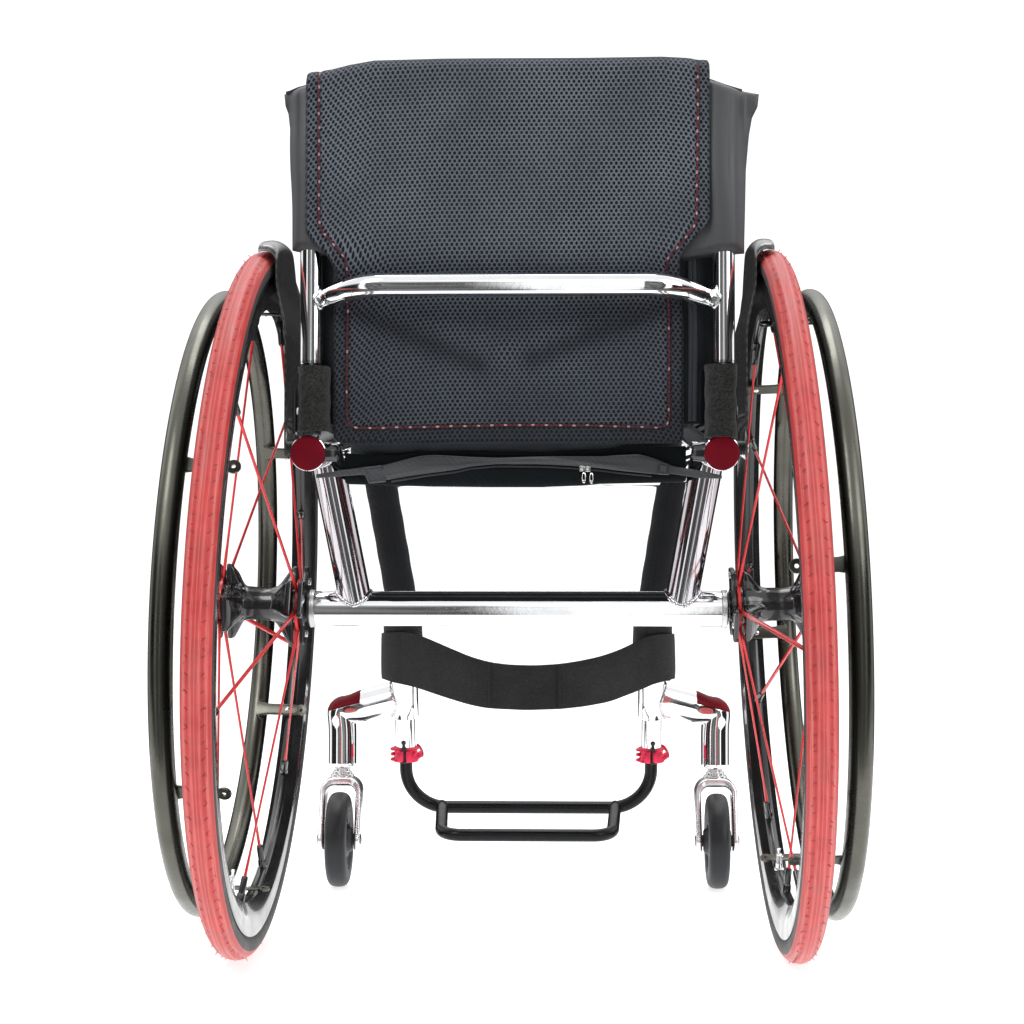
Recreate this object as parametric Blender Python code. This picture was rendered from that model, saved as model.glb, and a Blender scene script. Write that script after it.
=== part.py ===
"""Rigid manual wheelchair with a fold-down back, quick-release cambered wheels,
swivelling castors and a clamped tubular footrest.

Metres, +Z up, +Y is the way the chair drives, +X is the sitter's right-hand side.
The origin is on the floor under the middle of the whole chair.
"""
import math

import bpy
import bmesh
from mathutils import Matrix, Vector

for old in list(bpy.data.objects):
    bpy.data.objects.remove(old, do_unlink=True)

# ---------------------------------------------------------------- driving sizes
GAP = 0.0003                    # left between pieces that touch
AXLE_Y = -0.07867               # rear axle line, measured from the origin
CAMBER = math.radians(2.13)     # the wheel tops lean in by this angle

# rear wheels
TYRE_OUTER = 0.3045             # 609 mm tyre on a 559 mm bead seat
TYRE_SECTION = 0.0125           # half the tyre's width
TRACK_HALF = 0.2252             # middle of the wheel, at the axle
RIM_INNER = 0.2552
HANDRIM_R, HANDRIM_TUBE, HANDRIM_OUT = 0.2608, 0.0094, 0.0335
RING_STEPS = 40
FIRST_SPOKE = {"left": 20.0, "right": 8.0}    # degrees up from straight ahead
LOBE_OUT, POCKET_R, CORE_R = 0.0316, 0.0195, 0.0162

# frame tubing
TUBE_R, TUBE_WALL = 0.0147, 0.0020
CAMBER_TUBE_R, CAMBER_TUBE_WALL, CAMBER_TUBE_Z = 0.0152, 0.0025, 0.3000
CAMBER_TUBE_HALF = 0.1760
STRUT_R = 0.0142
SEAT_REAR = (0.1683, -0.1200, 0.4275)
KNEE = (0.1612, 0.3250, 0.4870)
SHIN = (0.1325, 0.3850, 0.3000)
RAKE = 0.3182                   # forward travel of the lower leg for each metre down
LEG_END_Z, STUB_END_Z = 0.1800, 0.1385
STUB_R, STUB_BORE = 0.0106, 0.0074

# back rest
POST_X, POST_Y, POST_R, POST_TOP = 0.1700, -0.1150, 0.0095, 0.7140
TONGUE_R, TONGUE_TOP = 0.0077, 0.5005
HINGE_Z = 0.4620
BAR_Z, BAR_MID_Z, BAR_MID_Y = 0.5520, 0.5615, -0.1450

# castors
SWIVEL_X, SWIVEL_Y, CASTOR_Y = 0.2010, 0.4350, 0.4070
CASTOR_R, CASTOR_WIDTH = 0.0500, 0.0260
BARREL_R = 0.0150

# footrest
REST_R = 0.0068
REST_Z = 0.0795
LOOP_R = 0.0065
GUARD_X, GUARD_ARC, GUARD_EDGE = 0.1907, 0.3126, 0.2135


# ---------------------------------------------------------------- small helpers
def V(x, y, z):
    """A point given from the rear axle line, in the chair's own frame."""
    return Vector((x, y + AXLE_Y, z))


def material(name, rgb, rough, metal):
    m = bpy.data.materials.get(name)
    if m is None:
        m = bpy.data.materials.new(name)
        m.use_nodes = True
        b = m.node_tree.nodes["Principled BSDF"]
        b.inputs["Base Color"].default_value = (*rgb, 1.0)
        b.inputs["Roughness"].default_value = rough
        b.inputs["Metallic"].default_value = metal
        m.diffuse_color = (*rgb, 1.0)
    return m


def finish(bm, name, mat, parent=None, sharp=35.0):
    bmesh.ops.recalc_face_normals(bm, faces=bm.faces[:])
    me = bpy.data.meshes.new(name)
    bm.to_mesh(me)
    bm.free()
    me.shade_smooth()
    me.set_sharp_from_angle(angle=math.radians(sharp))
    me.materials.append(mat)
    ob = bpy.data.objects.new(name, me)
    bpy.context.collection.objects.link(ob)
    if parent is not None:
        ob.parent = parent
    return ob


def empty(name, location, rotation=(0.0, 0.0, 0.0), parent=None):
    e = bpy.data.objects.new(name, None)
    e.location = location
    e.rotation_euler = rotation
    e.empty_display_size = 0.03
    bpy.context.collection.objects.link(e)
    if parent is not None:
        e.parent = parent
    return e


def guide(ob):
    """A cutter or a joining shape: it isn't a piece of its own."""
    ob.hide_render = True
    ob.display_type = "WIRE"
    return ob


def boolean(ob, other, how):
    m = ob.modifiers.new(how.lower() + "_" + other.name, "BOOLEAN")
    m.operation = how
    m.solver = "EXACT"
    m.object = other
    return ob


def cut(ob, other):
    return boolean(ob, guide(other), "DIFFERENCE")


def join(ob, other):
    return boolean(ob, guide(other), "UNION")


def fillet(points, radii, turn=12.0):
    """A polyline with its inner corners rounded to the given radii."""
    out = [points[0].copy()]
    for k in range(1, len(points) - 1):
        p, r = points[k], radii[k - 1]
        a = (points[k - 1] - p).normalized()
        b = (points[k + 1] - p).normalized()
        between = a.angle(b)
        if r <= 0 or between > math.radians(179):
            out.append(p.copy())
            continue
        back = r / math.tan(between / 2)
        centre = p + (a + b).normalized() * (r / math.sin(between / 2))
        start, end = p + a * back - centre, p + b * back - centre
        bend = start.angle(end)
        axis = start.cross(end).normalized()
        n = max(2, math.ceil(math.degrees(bend) / turn))
        for i in range(n + 1):
            out.append(centre + Matrix.Rotation(bend * i / n, 3, axis) @ start)
    out.append(points[-1].copy())
    return out


def frames(points, first=Vector((1, 0, 0))):
    """Tangent and two normals at each point, carried along without twist."""
    tangents = []
    for i, p in enumerate(points):
        a = points[max(i - 1, 0)]
        b = points[min(i + 1, len(points) - 1)]
        if 0 < i < len(points) - 1:
            t = (p - a).normalized() + (b - p).normalized()
        else:
            t = b - a
        tangents.append(t.normalized())
    if abs(first.normalized().dot(tangents[0])) > 0.95:
        first = Vector((0, 1, 0)) if abs(tangents[0].y) < 0.9 else Vector((0, 0, 1))
    u = first - tangents[0] * first.dot(tangents[0])
    u.normalize()
    out = []
    for t in tangents:
        u = u - t * u.dot(t)
        u.normalize()
        out.append((t, u, t.cross(u)))
    return out


def skin(bm, rings, cap_start=True, cap_end=True, closed=False):
    """Quads between successive rings of vertices."""
    n = len(rings[0])
    count = len(rings)
    for k in range(count if closed else count - 1):
        a, b = rings[k], rings[(k + 1) % count]
        for i in range(n):
            j = (i + 1) % n
            bm.faces.new((a[i], a[j], b[j], b[i]))
    if not closed and cap_start:
        bm.faces.new(rings[0][::-1])
    if not closed and cap_end:
        bm.faces.new(rings[-1])


def swept(points, section, first=Vector((1, 0, 0))):
    """Rings of a section, in metres across and up, carried along a path."""
    out = []
    for p, (t, u, v) in zip(points, frames(points, first)):
        out.append([p + u * a + v * b for a, b in section])
    return out


def circle(r, n, turn=0.5, outside=False):
    if outside:
        r = r / math.cos(math.pi / n)
    return [
        (r * math.cos(2 * math.pi * (i + turn) / n), r * math.sin(2 * math.pi * (i + turn) / n))
        for i in range(n)
    ]


def rod(name, points, r, sides, mat, parent=None, first=Vector((1, 0, 0))):
    """A solid round bar along a path."""
    bm = bmesh.new()
    rings = [[bm.verts.new(q) for q in ring] for ring in swept(points, circle(r, sides), first)]
    skin(bm, rings)
    return finish(bm, name, mat, parent)


def pipe(name, points, r, bore, sides, mat, parent=None, first=Vector((1, 0, 0))):
    """A hollow round tube along a path. r and bore may be one number each, or one for each point."""
    rs = r if isinstance(r, (list, tuple)) else [r] * len(points)
    bs = bore if isinstance(bore, (list, tuple)) else [bore] * len(points)
    bm = bmesh.new()
    outer, inner = [], []
    for p, (t, u, v), ro, ri in zip(points, frames(points, first), rs, bs):
        outer.append([bm.verts.new(p + u * a + v * b) for a, b in circle(ro, sides)])
        inner.append([bm.verts.new(p + u * a + v * b) for a, b in circle(ri, sides)])
    skin(bm, outer, False, False)
    skin(bm, inner[::-1], False, False)
    for end in (0, -1):
        for i in range(sides):
            j = (i + 1) % sides
            bm.faces.new((outer[end][i], outer[end][j], inner[end][j], inner[end][i]))
    return finish(bm, name, mat, parent)


def turned(name, profile, steps, mat, parent=None, outside=True, turn=0.5):
    """A closed profile of (radius, height) turned about local Z, open in the middle."""
    k = 1 / math.cos(math.pi / steps) if outside else 1.0
    bm = bmesh.new()
    rings = []
    for i in range(steps):
        a = 2 * math.pi * (i + turn) / steps
        rings.append([bm.verts.new((r * k * math.cos(a), r * k * math.sin(a), s)) for r, s in profile])
    skin(bm, rings, closed=True)
    return finish(bm, name, mat, parent)


def spindle(name, stations, steps, mat, parent=None, outside=False):
    """A solid turned piece: (radius, height) stations from one end to the other, on local Z."""
    bm = bmesh.new()
    rings = [[bm.verts.new((a, b, s)) for a, b in circle(r, steps, outside=outside)] for r, s in stations]
    skin(bm, rings)
    return finish(bm, name, mat, parent)


def slab(name, outline, axis, low, high, mat, parent=None, sharp=35.0):
    """An outline drawn in the plane across an axis, and extruded along it."""
    bm = bmesh.new()
    order = {"X": lambda a, b, c: (c, a, b), "Y": lambda a, b, c: (a, c, b), "Z": lambda a, b, c: (a, b, c)}[axis]
    bottom = [bm.verts.new(order(a, b, low)) for a, b in outline]
    face = bm.faces.new(bottom)
    grown = bmesh.ops.extrude_face_region(bm, geom=[face])
    top = [g for g in grown["geom"] if isinstance(g, bmesh.types.BMVert)]
    bmesh.ops.translate(bm, verts=top, vec=order(0, 0, high - low))
    return finish(bm, name, mat, parent, sharp)


def block(name, low, high, mat, parent=None, bevel=0.0, segments=2):
    bm = bmesh.new()
    bmesh.ops.create_cube(bm, size=1.0)
    for v in bm.verts:
        v.co = Vector(low[i] + (v.co[i] + 0.5) * (high[i] - low[i]) for i in range(3))
    ob = finish(bm, name, mat, parent)
    if bevel:
        m = ob.modifiers.new("rounded", "BEVEL")
        m.width, m.segments = bevel, segments
    return ob


def bar_cutter(name, a, b, r, sides=24):
    return rod(name, [a, b], r / math.cos(math.pi / sides), sides, CUT)


# ---------------------------------------------------------------- materials
CUT = material("guide", (0.5, 0.5, 0.5), 0.5, 0.0)
POLISHED = material("polished_aluminium", (0.86, 0.87, 0.88), 0.08, 1.0)
BRUSHED = material("brushed_aluminium", (0.70, 0.70, 0.72), 0.32, 1.0)
RED_ANODISED = material("red_anodised", (0.36, 0.010, 0.030), 0.28, 0.85)
BRIGHT_RED = material("bright_red_anodised", (0.72, 0.03, 0.07), 0.30, 0.70)
RED_RUBBER = material("red_tyre_rubber", (0.74, 0.045, 0.035), 0.62, 0.0)
BLACK_RUBBER = material("black_rubber", (0.022, 0.024, 0.028), 0.55, 0.0)
BLACK_RIM = material("black_rim", (0.018, 0.018, 0.020), 0.24, 0.6)
GUNMETAL = material("gunmetal_handrim", (0.19, 0.19, 0.165), 0.30, 0.9)
BLACK_HUB = material("black_anodised", (0.016, 0.017, 0.020), 0.22, 0.7)
RED_SPOKE = material("red_spoke", (0.70, 0.03, 0.035), 0.30, 0.1)
STEEL = material("bright_steel", (0.75, 0.75, 0.74), 0.18, 1.0)
BLACK_PAINT = material("black_paint", (0.018, 0.018, 0.020), 0.22, 0.1)
CARBON = material("carbon_fibre", (0.05, 0.05, 0.055), 0.22, 0.1)
BLACK_FABRIC = material("black_fabric", (0.028, 0.030, 0.034), 0.88, 0.0)
MESH_FABRIC = material("spacer_mesh_fabric", (0.060, 0.072, 0.092), 0.85, 0.0)
GREY_FABRIC = material("grey_fabric", (0.045, 0.048, 0.058), 0.75, 0.0)
WEBBING = material("black_webbing", (0.016, 0.016, 0.017), 0.80, 0.0)
NEOPRENE = material("black_neoprene", (0.022, 0.023, 0.026), 0.85, 0.0)

SIDES = (("left", -1.0), ("right", 1.0))


def leg(side, z, x=None):
    """A point on the lower leg's straight line, from which the footrest hangs."""
    return V(side * SHIN[0] if x is None else x, SHIN[1] + RAKE * (SHIN[2] - z), z)


def seat_line(y):
    """Height of the seat tube's middle at a distance y ahead of the rear axle."""
    return SEAT_REAR[2] + (y - SEAT_REAR[1]) * (KNEE[2] - SEAT_REAR[2]) / (KNEE[1] - SEAT_REAR[1])


def seat_tube_x(y):
    return SEAT_REAR[0] + (y - SEAT_REAR[1]) * (KNEE[0] - SEAT_REAR[0]) / (KNEE[1] - SEAT_REAR[1])


WHEEL_Z = (TYRE_OUTER - TYRE_SECTION) * math.cos(CAMBER) + TYRE_SECTION


# ---------------------------------------------------------------- the main frame
def build_frame(word, s):
    path = [V(s * SEAT_REAR[0], *SEAT_REAR[1:]), V(s * KNEE[0], *KNEE[1:]), V(s * SHIN[0], *SHIN[1:]), leg(s, LEG_END_Z + 0.006)]
    pts = fillet(path, [0.070, 0.120], 13.0)
    outer = [TUBE_R] * len(pts)
    inner = [TUBE_R - TUBE_WALL] * len(pts)
    # the leg steps down to the thin stub that the footrest slides in
    for z, ro, ri in ((LEG_END_Z + 0.0055, TUBE_R, STUB_BORE), (LEG_END_Z + 0.0002, TUBE_R, STUB_BORE), (LEG_END_Z, STUB_R, STUB_BORE), (STUB_END_Z, STUB_R, STUB_BORE)):
        pts.append(leg(s, z))
        outer.append(ro)
        inner.append(ri)
    pipe(word + "_frame_tube", pts, outer, inner, 14, POLISHED, first=Vector((1, 0, 0)))

    # end cap pressed into the open rear end
    along = (path[0] - path[1]).normalized()
    cap_at = empty(word + "_cap_place", path[0], along.to_track_quat("Z", "Y").to_euler())
    spindle(word + "_tube_cap", [(0.0118, -0.0110), (0.0122, -0.0100), (0.0122, GAP), (0.0141, GAP), (0.0141, 0.0020), (0.0128, 0.0030)], 24, RED_ANODISED, cap_at)

    # strut from the camber tube up to the seat tube
    low, high = V(s * 0.1410, 0.0, CAMBER_TUBE_Z + 0.004), V(s * 0.1620, -0.0500, 0.4320)
    strut = pipe(word + "_strut", [low, high], STRUT_R, STRUT_R - 0.002, 16, POLISHED)
    cut(strut, bar_cutter(word + "_seat_cope", path[0] + along * 0.03, path[1] - along * 0.03, (TUBE_R + GAP)))
    cut(strut, bar_cutter(word + "_camber_cope", Vector((-0.3, AXLE_Y, CAMBER_TUBE_Z)), Vector((0.3, AXLE_Y, CAMBER_TUBE_Z)), CAMBER_TUBE_R + GAP))

    # castor arm, an oval tube from the leg out to the castor barrel
    inner_end, outer_end = leg(s, 0.2017), V(s * SWIVEL_X, SWIVEL_Y, 0.1790)
    half_h, half_d = 0.0185, 0.0125
    oval = [(half_d * math.cos(2 * math.pi * (i + 0.5) / 16), half_h * math.sin(2 * math.pi * (i + 0.5) / 16)) for i in range(16)]
    bm = bmesh.new()
    rings = [[bm.verts.new(q) for q in ring] for ring in swept([inner_end, outer_end], oval, Vector((0, 1, 0)))]
    skin(bm, rings)
    arm = finish(bm, word + "_castor_arm", POLISHED)
    cut(arm, bar_cutter(word + "_leg_cope", leg(s, 0.28), leg(s, 0.12), TUBE_R + GAP))
    cut(arm, bar_cutter(word + "_barrel_cope", V(s * SWIVEL_X, SWIVEL_Y, 0.10), V(s * SWIVEL_X, SWIVEL_Y, 0.24), BARREL_R + GAP))
    # the lower part of the arm reaches the barrel, the upper part stops at the red cap
    room = [(0.1802, 0.1960), (0.1858, 0.1960), (0.1858, 0.1886), (0.2400, 0.1886), (0.2400, 0.2600), (0.1802, 0.2600)]
    cut(arm, slab(word + "_arm_end", [(s * x, z) for x, z in room], "Y", AXLE_Y + 0.40, AXLE_Y + 0.47, CUT))

    # barrel that holds the castor's stem
    barrel = turned(word + "_castor_barrel", [(0.0066, 0.1250), (0.0140, 0.1250), (0.0150, 0.1260), (0.0150, 0.1888), (0.0066, 0.1888)], 20, POLISHED, empty(word + "_barrel_place", V(s * SWIVEL_X, SWIVEL_Y, 0.0)))

    # red cap that closes the outer end of the arm above the barrel
    r = 0.0150
    top = [(0.1806, 0.2062)]
    for k in range(7):
        a = math.radians(86 - 86 * k / 6)
        top.append((0.2012 + r * math.cos(a), 0.1892 + 0.0125 * math.sin(a)))
    outline = [(0.1806, 0.1964), (0.1862, 0.1964), (0.1862, 0.1891), (0.2162, 0.1891)] + top[:0:-1] + [top[0]]
    cap = slab(word + "_arm_cap", [(s * x, z) for x, z in (outline if s > 0 else outline[::-1])], "Y", AXLE_Y + SWIVEL_Y - 0.0134, AXLE_Y + SWIVEL_Y + 0.0134, RED_ANODISED)
    m = cap.modifiers.new("rounded", "BEVEL")
    m.width, m.segments = 0.0025, 2

    # side guard: a panel beside the seat whose top edge curls out over the tyre,
    # carried on two bosses that meet the seat tube
    def guard_section(y):
        low = seat_line(max(y, -0.090)) - 0.0080
        top = WHEEL_Z + math.sqrt(GUARD_ARC ** 2 - y ** 2)
        if y > 0.150:
            top = WHEEL_Z + math.sqrt(GUARD_ARC ** 2 - 0.150 ** 2)
            top += (y - 0.150) / 0.055 * (0.4900 - top)
        curl = min(1.0, max(0.0, (0.150 - y) / 0.035))
        r = 0.0090 * curl + 0.0004
        pts = [(GUARD_X, low), (GUARD_X, (low + top - r) / 2)]
        for k in range(5):
            a = math.radians(180 - 22.5 * k)
            pts.append((GUARD_X + r + r * math.cos(a), top - r + r * math.sin(a)))
        pts.append((GUARD_X + r + 0.0004 + curl * (GUARD_EDGE - GUARD_X - r), top))
        return pts

    half = 0.00115
    bm = bmesh.new()
    skins = []
    for y in (-0.0950, -0.0721, -0.0474, -0.0200, 0.0060, 0.0310, 0.0560, 0.0810, 0.1060, 0.1340, 0.1560, 0.1800, 0.2050):
        mid = guard_section(y)
        near, far = [], []
        for k, (x, z) in enumerate(mid):
            xa, za = mid[max(k - 1, 0)]
            xb, zb = mid[min(k + 1, len(mid) - 1)]
            n = Vector((zb - za, -(xb - xa))).normalized() * half
            near.append(bm.verts.new(V(s * (x - n.x), y, z - n.y)))
            far.append(bm.verts.new(V(s * (x + n.x), y, z + n.y)))
        skins.append(near + far[::-1])
    skin(bm, skins)
    guard = finish(bm, word + "_side_guard", CARBON)
    for k, y in enumerate((-0.0600, 0.1450)):
        x0 = seat_tube_x(y) + TUBE_R + 0.0004
        join(guard, rod(f"{word}_guard_boss_{k}", [V(s * x0, y, seat_line(y)), V(s * (GUARD_X + 0.0002), y, seat_line(y))], 0.0052, 12, CUT, first=Vector((0, 1, 0.31))))

    # hinge bracket: a channel on the seat tube that the back post stands in
    bracket = block(word + "_hinge_bracket", (s * POST_X - 0.0123, AXLE_Y - 0.1290, 0.4400), (s * POST_X + 0.0123, AXLE_Y - 0.1030, 0.4955), BLACK_HUB, bevel=0.002)
    cut(bracket, block(word + "_hinge_slot", (s * POST_X - 0.0080, AXLE_Y - 0.1250, 0.4500), (s * POST_X + 0.0080, AXLE_Y - 0.0900, 0.5200), CUT))
    cut(bracket, bar_cutter(word + "_hinge_saddle", path[0] + along * 0.03, path[0] - along * 0.10, TUBE_R + GAP))
    cut(bracket, bar_cutter(word + "_hinge_hole", V(s * POST_X - 0.03, POST_Y, HINGE_Z), V(s * POST_X + 0.03, POST_Y, HINGE_Z), 0.0034, 16))
    pin_at = empty(word + "_hinge_axis", V(s * POST_X, POST_Y, HINGE_Z), (0.0, s * math.pi / 2, 0.0))
    spindle(word + "_hinge_pin", [(0.0044, -0.0144), (0.0050, -0.0139), (0.0050, -0.0127), (0.0030, -0.0127), (0.0030, 0.0130), (0.0026, 0.0134)], 12, STEEL, pin_at)

    # neoprene sleeve round the leg, from under the seat down to the calf strap
    run = fillet(path, [0.070, 0.120], 13.0)
    dense = []
    for a, b in zip(run, run[1:]):
        n = max(1, math.ceil((b - a).length / 0.014))
        dense += [a.lerp(b, k / n) for k in range(n)]
    dense = [p for p in dense if p.y > AXLE_Y + 0.33 and 0.2870 <= p.z <= 0.4190]
    pipe(word + "_leg_sleeve", dense, 0.0165, 0.0154, 14, NEOPRENE)

    # footrest clamp on the end of the stub
    tilt = math.atan(RAKE)
    clamp_at = empty(word + "_clamp_place", leg(s, STUB_END_Z), (tilt, 0.0, 0.0))
    clamp = block(word + "_footrest_clamp", (-0.0140, -0.0130, -0.0075), (0.0140, 0.0130, 0.0075), BRIGHT_RED, clamp_at, bevel=0.003)
    cut(clamp, spindle(word + "_clamp_upper", [(STUB_R + GAP, -0.0004), (STUB_R + GAP, 0.0200)], 24, CUT, clamp_at, True))
    cut(clamp, spindle(word + "_clamp_lower", [(REST_R + 0.0004, -0.0200), (REST_R + 0.0004, 0.0100)], 24, CUT, clamp_at, True))
    cut(clamp, block(word + "_clamp_slot", (-0.0010, -0.0200, -0.0200), (0.0010, 0.0000, 0.0200), CUT, clamp_at))

    # receiver pressed into the end of the camber tube, bored on the cambered axle line
    axle_at = empty(word + "_axle_line", V(s * TRACK_HALF, 0.0, WHEEL_Z), (0.0, s * (math.pi / 2 - CAMBER), 0.0))
    seat_at = empty(word + "_receiver_place", V(0.0, 0.0, CAMBER_TUBE_Z), (0.0, s * math.pi / 2, 0.0))
    receiver = spindle(word + "_axle_receiver", [(0.0122, 0.1380), (0.0122, CAMBER_TUBE_HALF + GAP), (0.0162, CAMBER_TUBE_HALF + GAP), (0.0162, 0.1810), (0.0150, 0.1820)], 20, BRUSHED, seat_at)
    cut(receiver, spindle(word + "_receiver_bore", [(0.0067, -0.1200), (0.0067, -0.0200)], 20, CUT, axle_at, True))
    return axle_at


def build_wheel(word, s, axle_at):
    def around(elevation):
        """Local angle of a direction given in degrees up from straight ahead."""
        a = math.radians(elevation)
        return math.atan2(math.cos(a), -s * math.sin(a))

    first = FIRST_SPOKE[word]
    wheel = empty(word + "_wheel_axis", (0, 0, 0), (0, 0, 0), axle_at)

    # tyre: a casing open towards the rim, its tread facet level with the floor
    mid, r = TYRE_OUTER - TYRE_SECTION, TYRE_SECTION / math.cos(math.radians(15))
    lean = math.degrees(CAMBER)
    profile = [(mid + r * math.cos(math.radians(a - lean)), r * math.sin(math.radians(a - lean))) for a in range(-105, 106, 30)]
    profile += [(0.2860, 0.0083), (0.2790, 0.0083), (0.2790, 0.0055), (0.3000, 0.0064)]
    profile += [(0.3000, -0.0064), (0.2790, -0.0055), (0.2790, -0.0083), (0.2860, -0.0083)]
    turned(word + "_tyre", profile, RING_STEPS, RED_RUBBER, wheel)

    # rim: a deep V channel, open towards the tyre
    flank = [(0.2846, 0.0108), (0.2695, 0.0108), (RIM_INNER, 0.0040)]
    inside = [(0.2577, 0.0024), (0.2705, 0.0088), (0.2846, 0.0088)]
    profile = flank + [(a, -b) for a, b in flank[::-1]] + [(a, -b) for a, b in inside[::-1]] + inside
    turned(word + "_rim", profile, RING_STEPS, BLACK_RIM, wheel)

    # handrim with six tabs that reach in under the rim
    tube = [(HANDRIM_R + HANDRIM_TUBE * math.cos(math.radians(a)), HANDRIM_OUT + HANDRIM_TUBE * math.sin(math.radians(a))) for a in range(0, 360, 45)]
    handrim = turned(word + "_handrim", tube, RING_STEPS, GUNMETAL, wheel)
    for k in range(6):
        place = empty(f"{word}_tab_place_{k}", (0, 0, 0), (0, 0, around(first - 15 * s + 60 * k)), wheel)
        join(handrim, block(f"{word}_tab_{k}", (0.2500, -0.0075, -0.0055), (0.2528, 0.0075, 0.0320), CUT, place))

    # hub: a waisted core with a three-lobed flange at each end, slotted for the spokes
    lobe_spread = (-60, -44, -30, -10, 10, 30, 44)

    def lobed(centre):
        """Angle and radius round a three-lobed flange that starts at a lobe's middle."""
        out = []
        for k in range(3):
            for a in lobe_spread:
                r = LOBE_OUT / math.cos(math.radians(a)) if abs(a) <= 30 else POCKET_R
                out.append((centre + math.radians(120 * k + a), r))
        return out

    near = lobed(around(first - 30 * s))
    far = lobed(around(first - 60 * s))
    lag = min(range(len(far)), key=lambda k: abs(math.remainder(far[k][0] - near[0][0], 2 * math.pi)))
    far = far[lag:] + far[:lag]
    stations = [(0.0069, -0.0425, 0), (0.0135, -0.0425, 0), (CORE_R, -0.0408, 0), (None, -0.0408, 0), (None, -0.0364, 0),
                (CORE_R - 0.0006, -0.0364, 0), (CORE_R - 0.0006, -0.0306, 0), (None, -0.0306, 0), (None, -0.0262, 0), (0.0148, -0.0120, 0),
                (0.0148, 0.0120, 1), (None, 0.0248, 1), (None, 0.0286, 1), (CORE_R - 0.0006, 0.0286, 1), (CORE_R - 0.0006, 0.0338, 1),
                (None, 0.0338, 1), (None, 0.0360, 1), (0.0130, 0.0360, 1), (0.0069, 0.0352, 1)]
    bm = bmesh.new()
    rings = []
    for r, z, which in stations:
        ring = far if which else near
        rings.append([bm.verts.new(((r or q) * math.cos(a), (r or q) * math.sin(a), z)) for a, q in ring])
    skin(bm, rings, closed=True)
    finish(bm, word + "_hub", BLACK_HUB, wheel)

    # spokes, a set of six in each slot, joined by a keeper ring round the core
    for name, at, low, high, turn in (("inner", -0.0345, -0.0360, -0.0332, 30), ("outer", 0.0322, 0.0306, 0.0334, 60)):
        spokes = turned(f"{word}_spokes_{name}", [(CORE_R + 0.0004, low), (0.0226, low), (0.0226, high), (CORE_R + 0.0004, high)], 20, RED_SPOKE, wheel, outside=False)
        for k in range(6):
            lobe = first - s * turn + 120 * (k // 2)
            way = 1 if k % 2 else -1
            hub_angle, rim_angle = around(lobe + 25 * way), around(lobe + 30 * way)
            a = Vector((0.0210 * math.cos(hub_angle), 0.0210 * math.sin(hub_angle), at))
            b = Vector((0.2546 * math.cos(rim_angle), 0.2546 * math.sin(rim_angle), 0.0006 if at > 0 else -0.0006))
            bm = bmesh.new()
            section = [(-0.0020, -0.0009), (0.0020, -0.0009), (0.0020, 0.0009), (-0.0020, 0.0009)]
            across = Vector((0, 0, 1)).cross(b - a).normalized()
            rings = [[bm.verts.new(q) for q in ring] for ring in swept([a, b], section, across)]
            skin(bm, rings)
            join(spokes, finish(bm, f"{word}_spoke_{name}_{k}", CUT, wheel))

    # quick-release axle and the button in its outer end
    axle = spindle(word + "_axle_pin", [
        (0.0050, -0.0850), (0.00625, -0.0835), (0.00625, 0.0366), (0.0120, 0.0366), (0.0120, 0.0402), (0.0078, 0.0410), (0.0078, 0.0436)], 16, STEEL, axle_at)
    cut(axle, spindle(word + "_button_bore", [(0.0046, 0.0290), (0.0046, 0.0500)], 16, CUT, axle_at, True))
    button_at = empty(word + "_button_axis", (0, 0, 0), (0, 0, 0), axle_at)
    spindle(word + "_release_button", [(0.0040, 0.0335), (0.0040, 0.0462), (0.0032, 0.0472)], 14, STEEL, button_at)


def build_castor(word, s):
    swivel = empty(word + "_swivel_axis", V(s * SWIVEL_X, SWIVEL_Y, 0.0))
    back = CASTOR_Y - SWIVEL_Y
    # fork legs: from the crown down and back to the castor's axle
    outline = [(0.0160, 0.1150), (-0.0165, 0.1150), (-0.0215, 0.1080)]
    for k in range(9):
        a = math.radians(165 + 195 * k / 8)
        outline.append((back + 0.0115 * math.cos(a), 0.0500 + 0.0115 * math.sin(a)))
    outline += [(0.0170, 0.1060)]
    fork = slab(word + "_fork", outline, "X", -0.0224, -0.0160, BRUSHED, swivel)
    join(fork, slab(word + "_fork_leg", outline, "X", 0.0160, 0.0224, CUT, swivel))
    crown = block(word + "_fork_crown", (-0.0222, -0.0165, 0.1046), (0.0222, 0.0160, 0.1152), CUT, swivel)
    join(fork, crown)
    join(fork, spindle(word + "_fork_stem", [(0.0100, 0.1140), (0.0100, 0.1225), (0.0060, 0.1225), (0.0060, 0.1760)], 16, CUT, swivel))
    wheel = empty(word + "_castor_axis", (0.0, back, CASTOR_R), (0.0, math.pi / 2, 0.0), swivel)
    cut(fork, spindle(word + "_fork_bore", [(0.0041, -0.0300), (0.0041, 0.0300)], 12, CUT, wheel, True))

    half = CASTOR_WIDTH / 2
    turned(word + "_castor_tyre", [(0.0302, -0.0100), (0.0400, -half), (0.0470, -half + 0.0010), (CASTOR_R, -half + 0.0065),
                                   (CASTOR_R, half - 0.0065), (0.0470, half - 0.0010), (0.0400, half), (0.0302, 0.0100)], 32, BLACK_RUBBER, wheel)
    turned(word + "_castor_hub", [(0.0046, -0.0148), (0.0095, -0.0148), (0.0180, -0.0105), (0.0296, -0.0098),
                                  (0.0296, 0.0098), (0.0180, 0.0105), (0.0095, 0.0148), (0.0046, 0.0148)], 24, BLACK_HUB, wheel, outside=False)
    spindle(word + "_castor_axle", [(0.0060, -0.0245), (0.0060, -0.0227), (0.0037, -0.0227), (0.0037, 0.0227), (0.0060, 0.0227), (0.0060, 0.0245)], 12, BLACK_HUB, wheel)


for word, s in SIDES:
    line = build_frame(word, s)
    build_wheel(word, s, line)
    build_castor(word, s)

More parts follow.
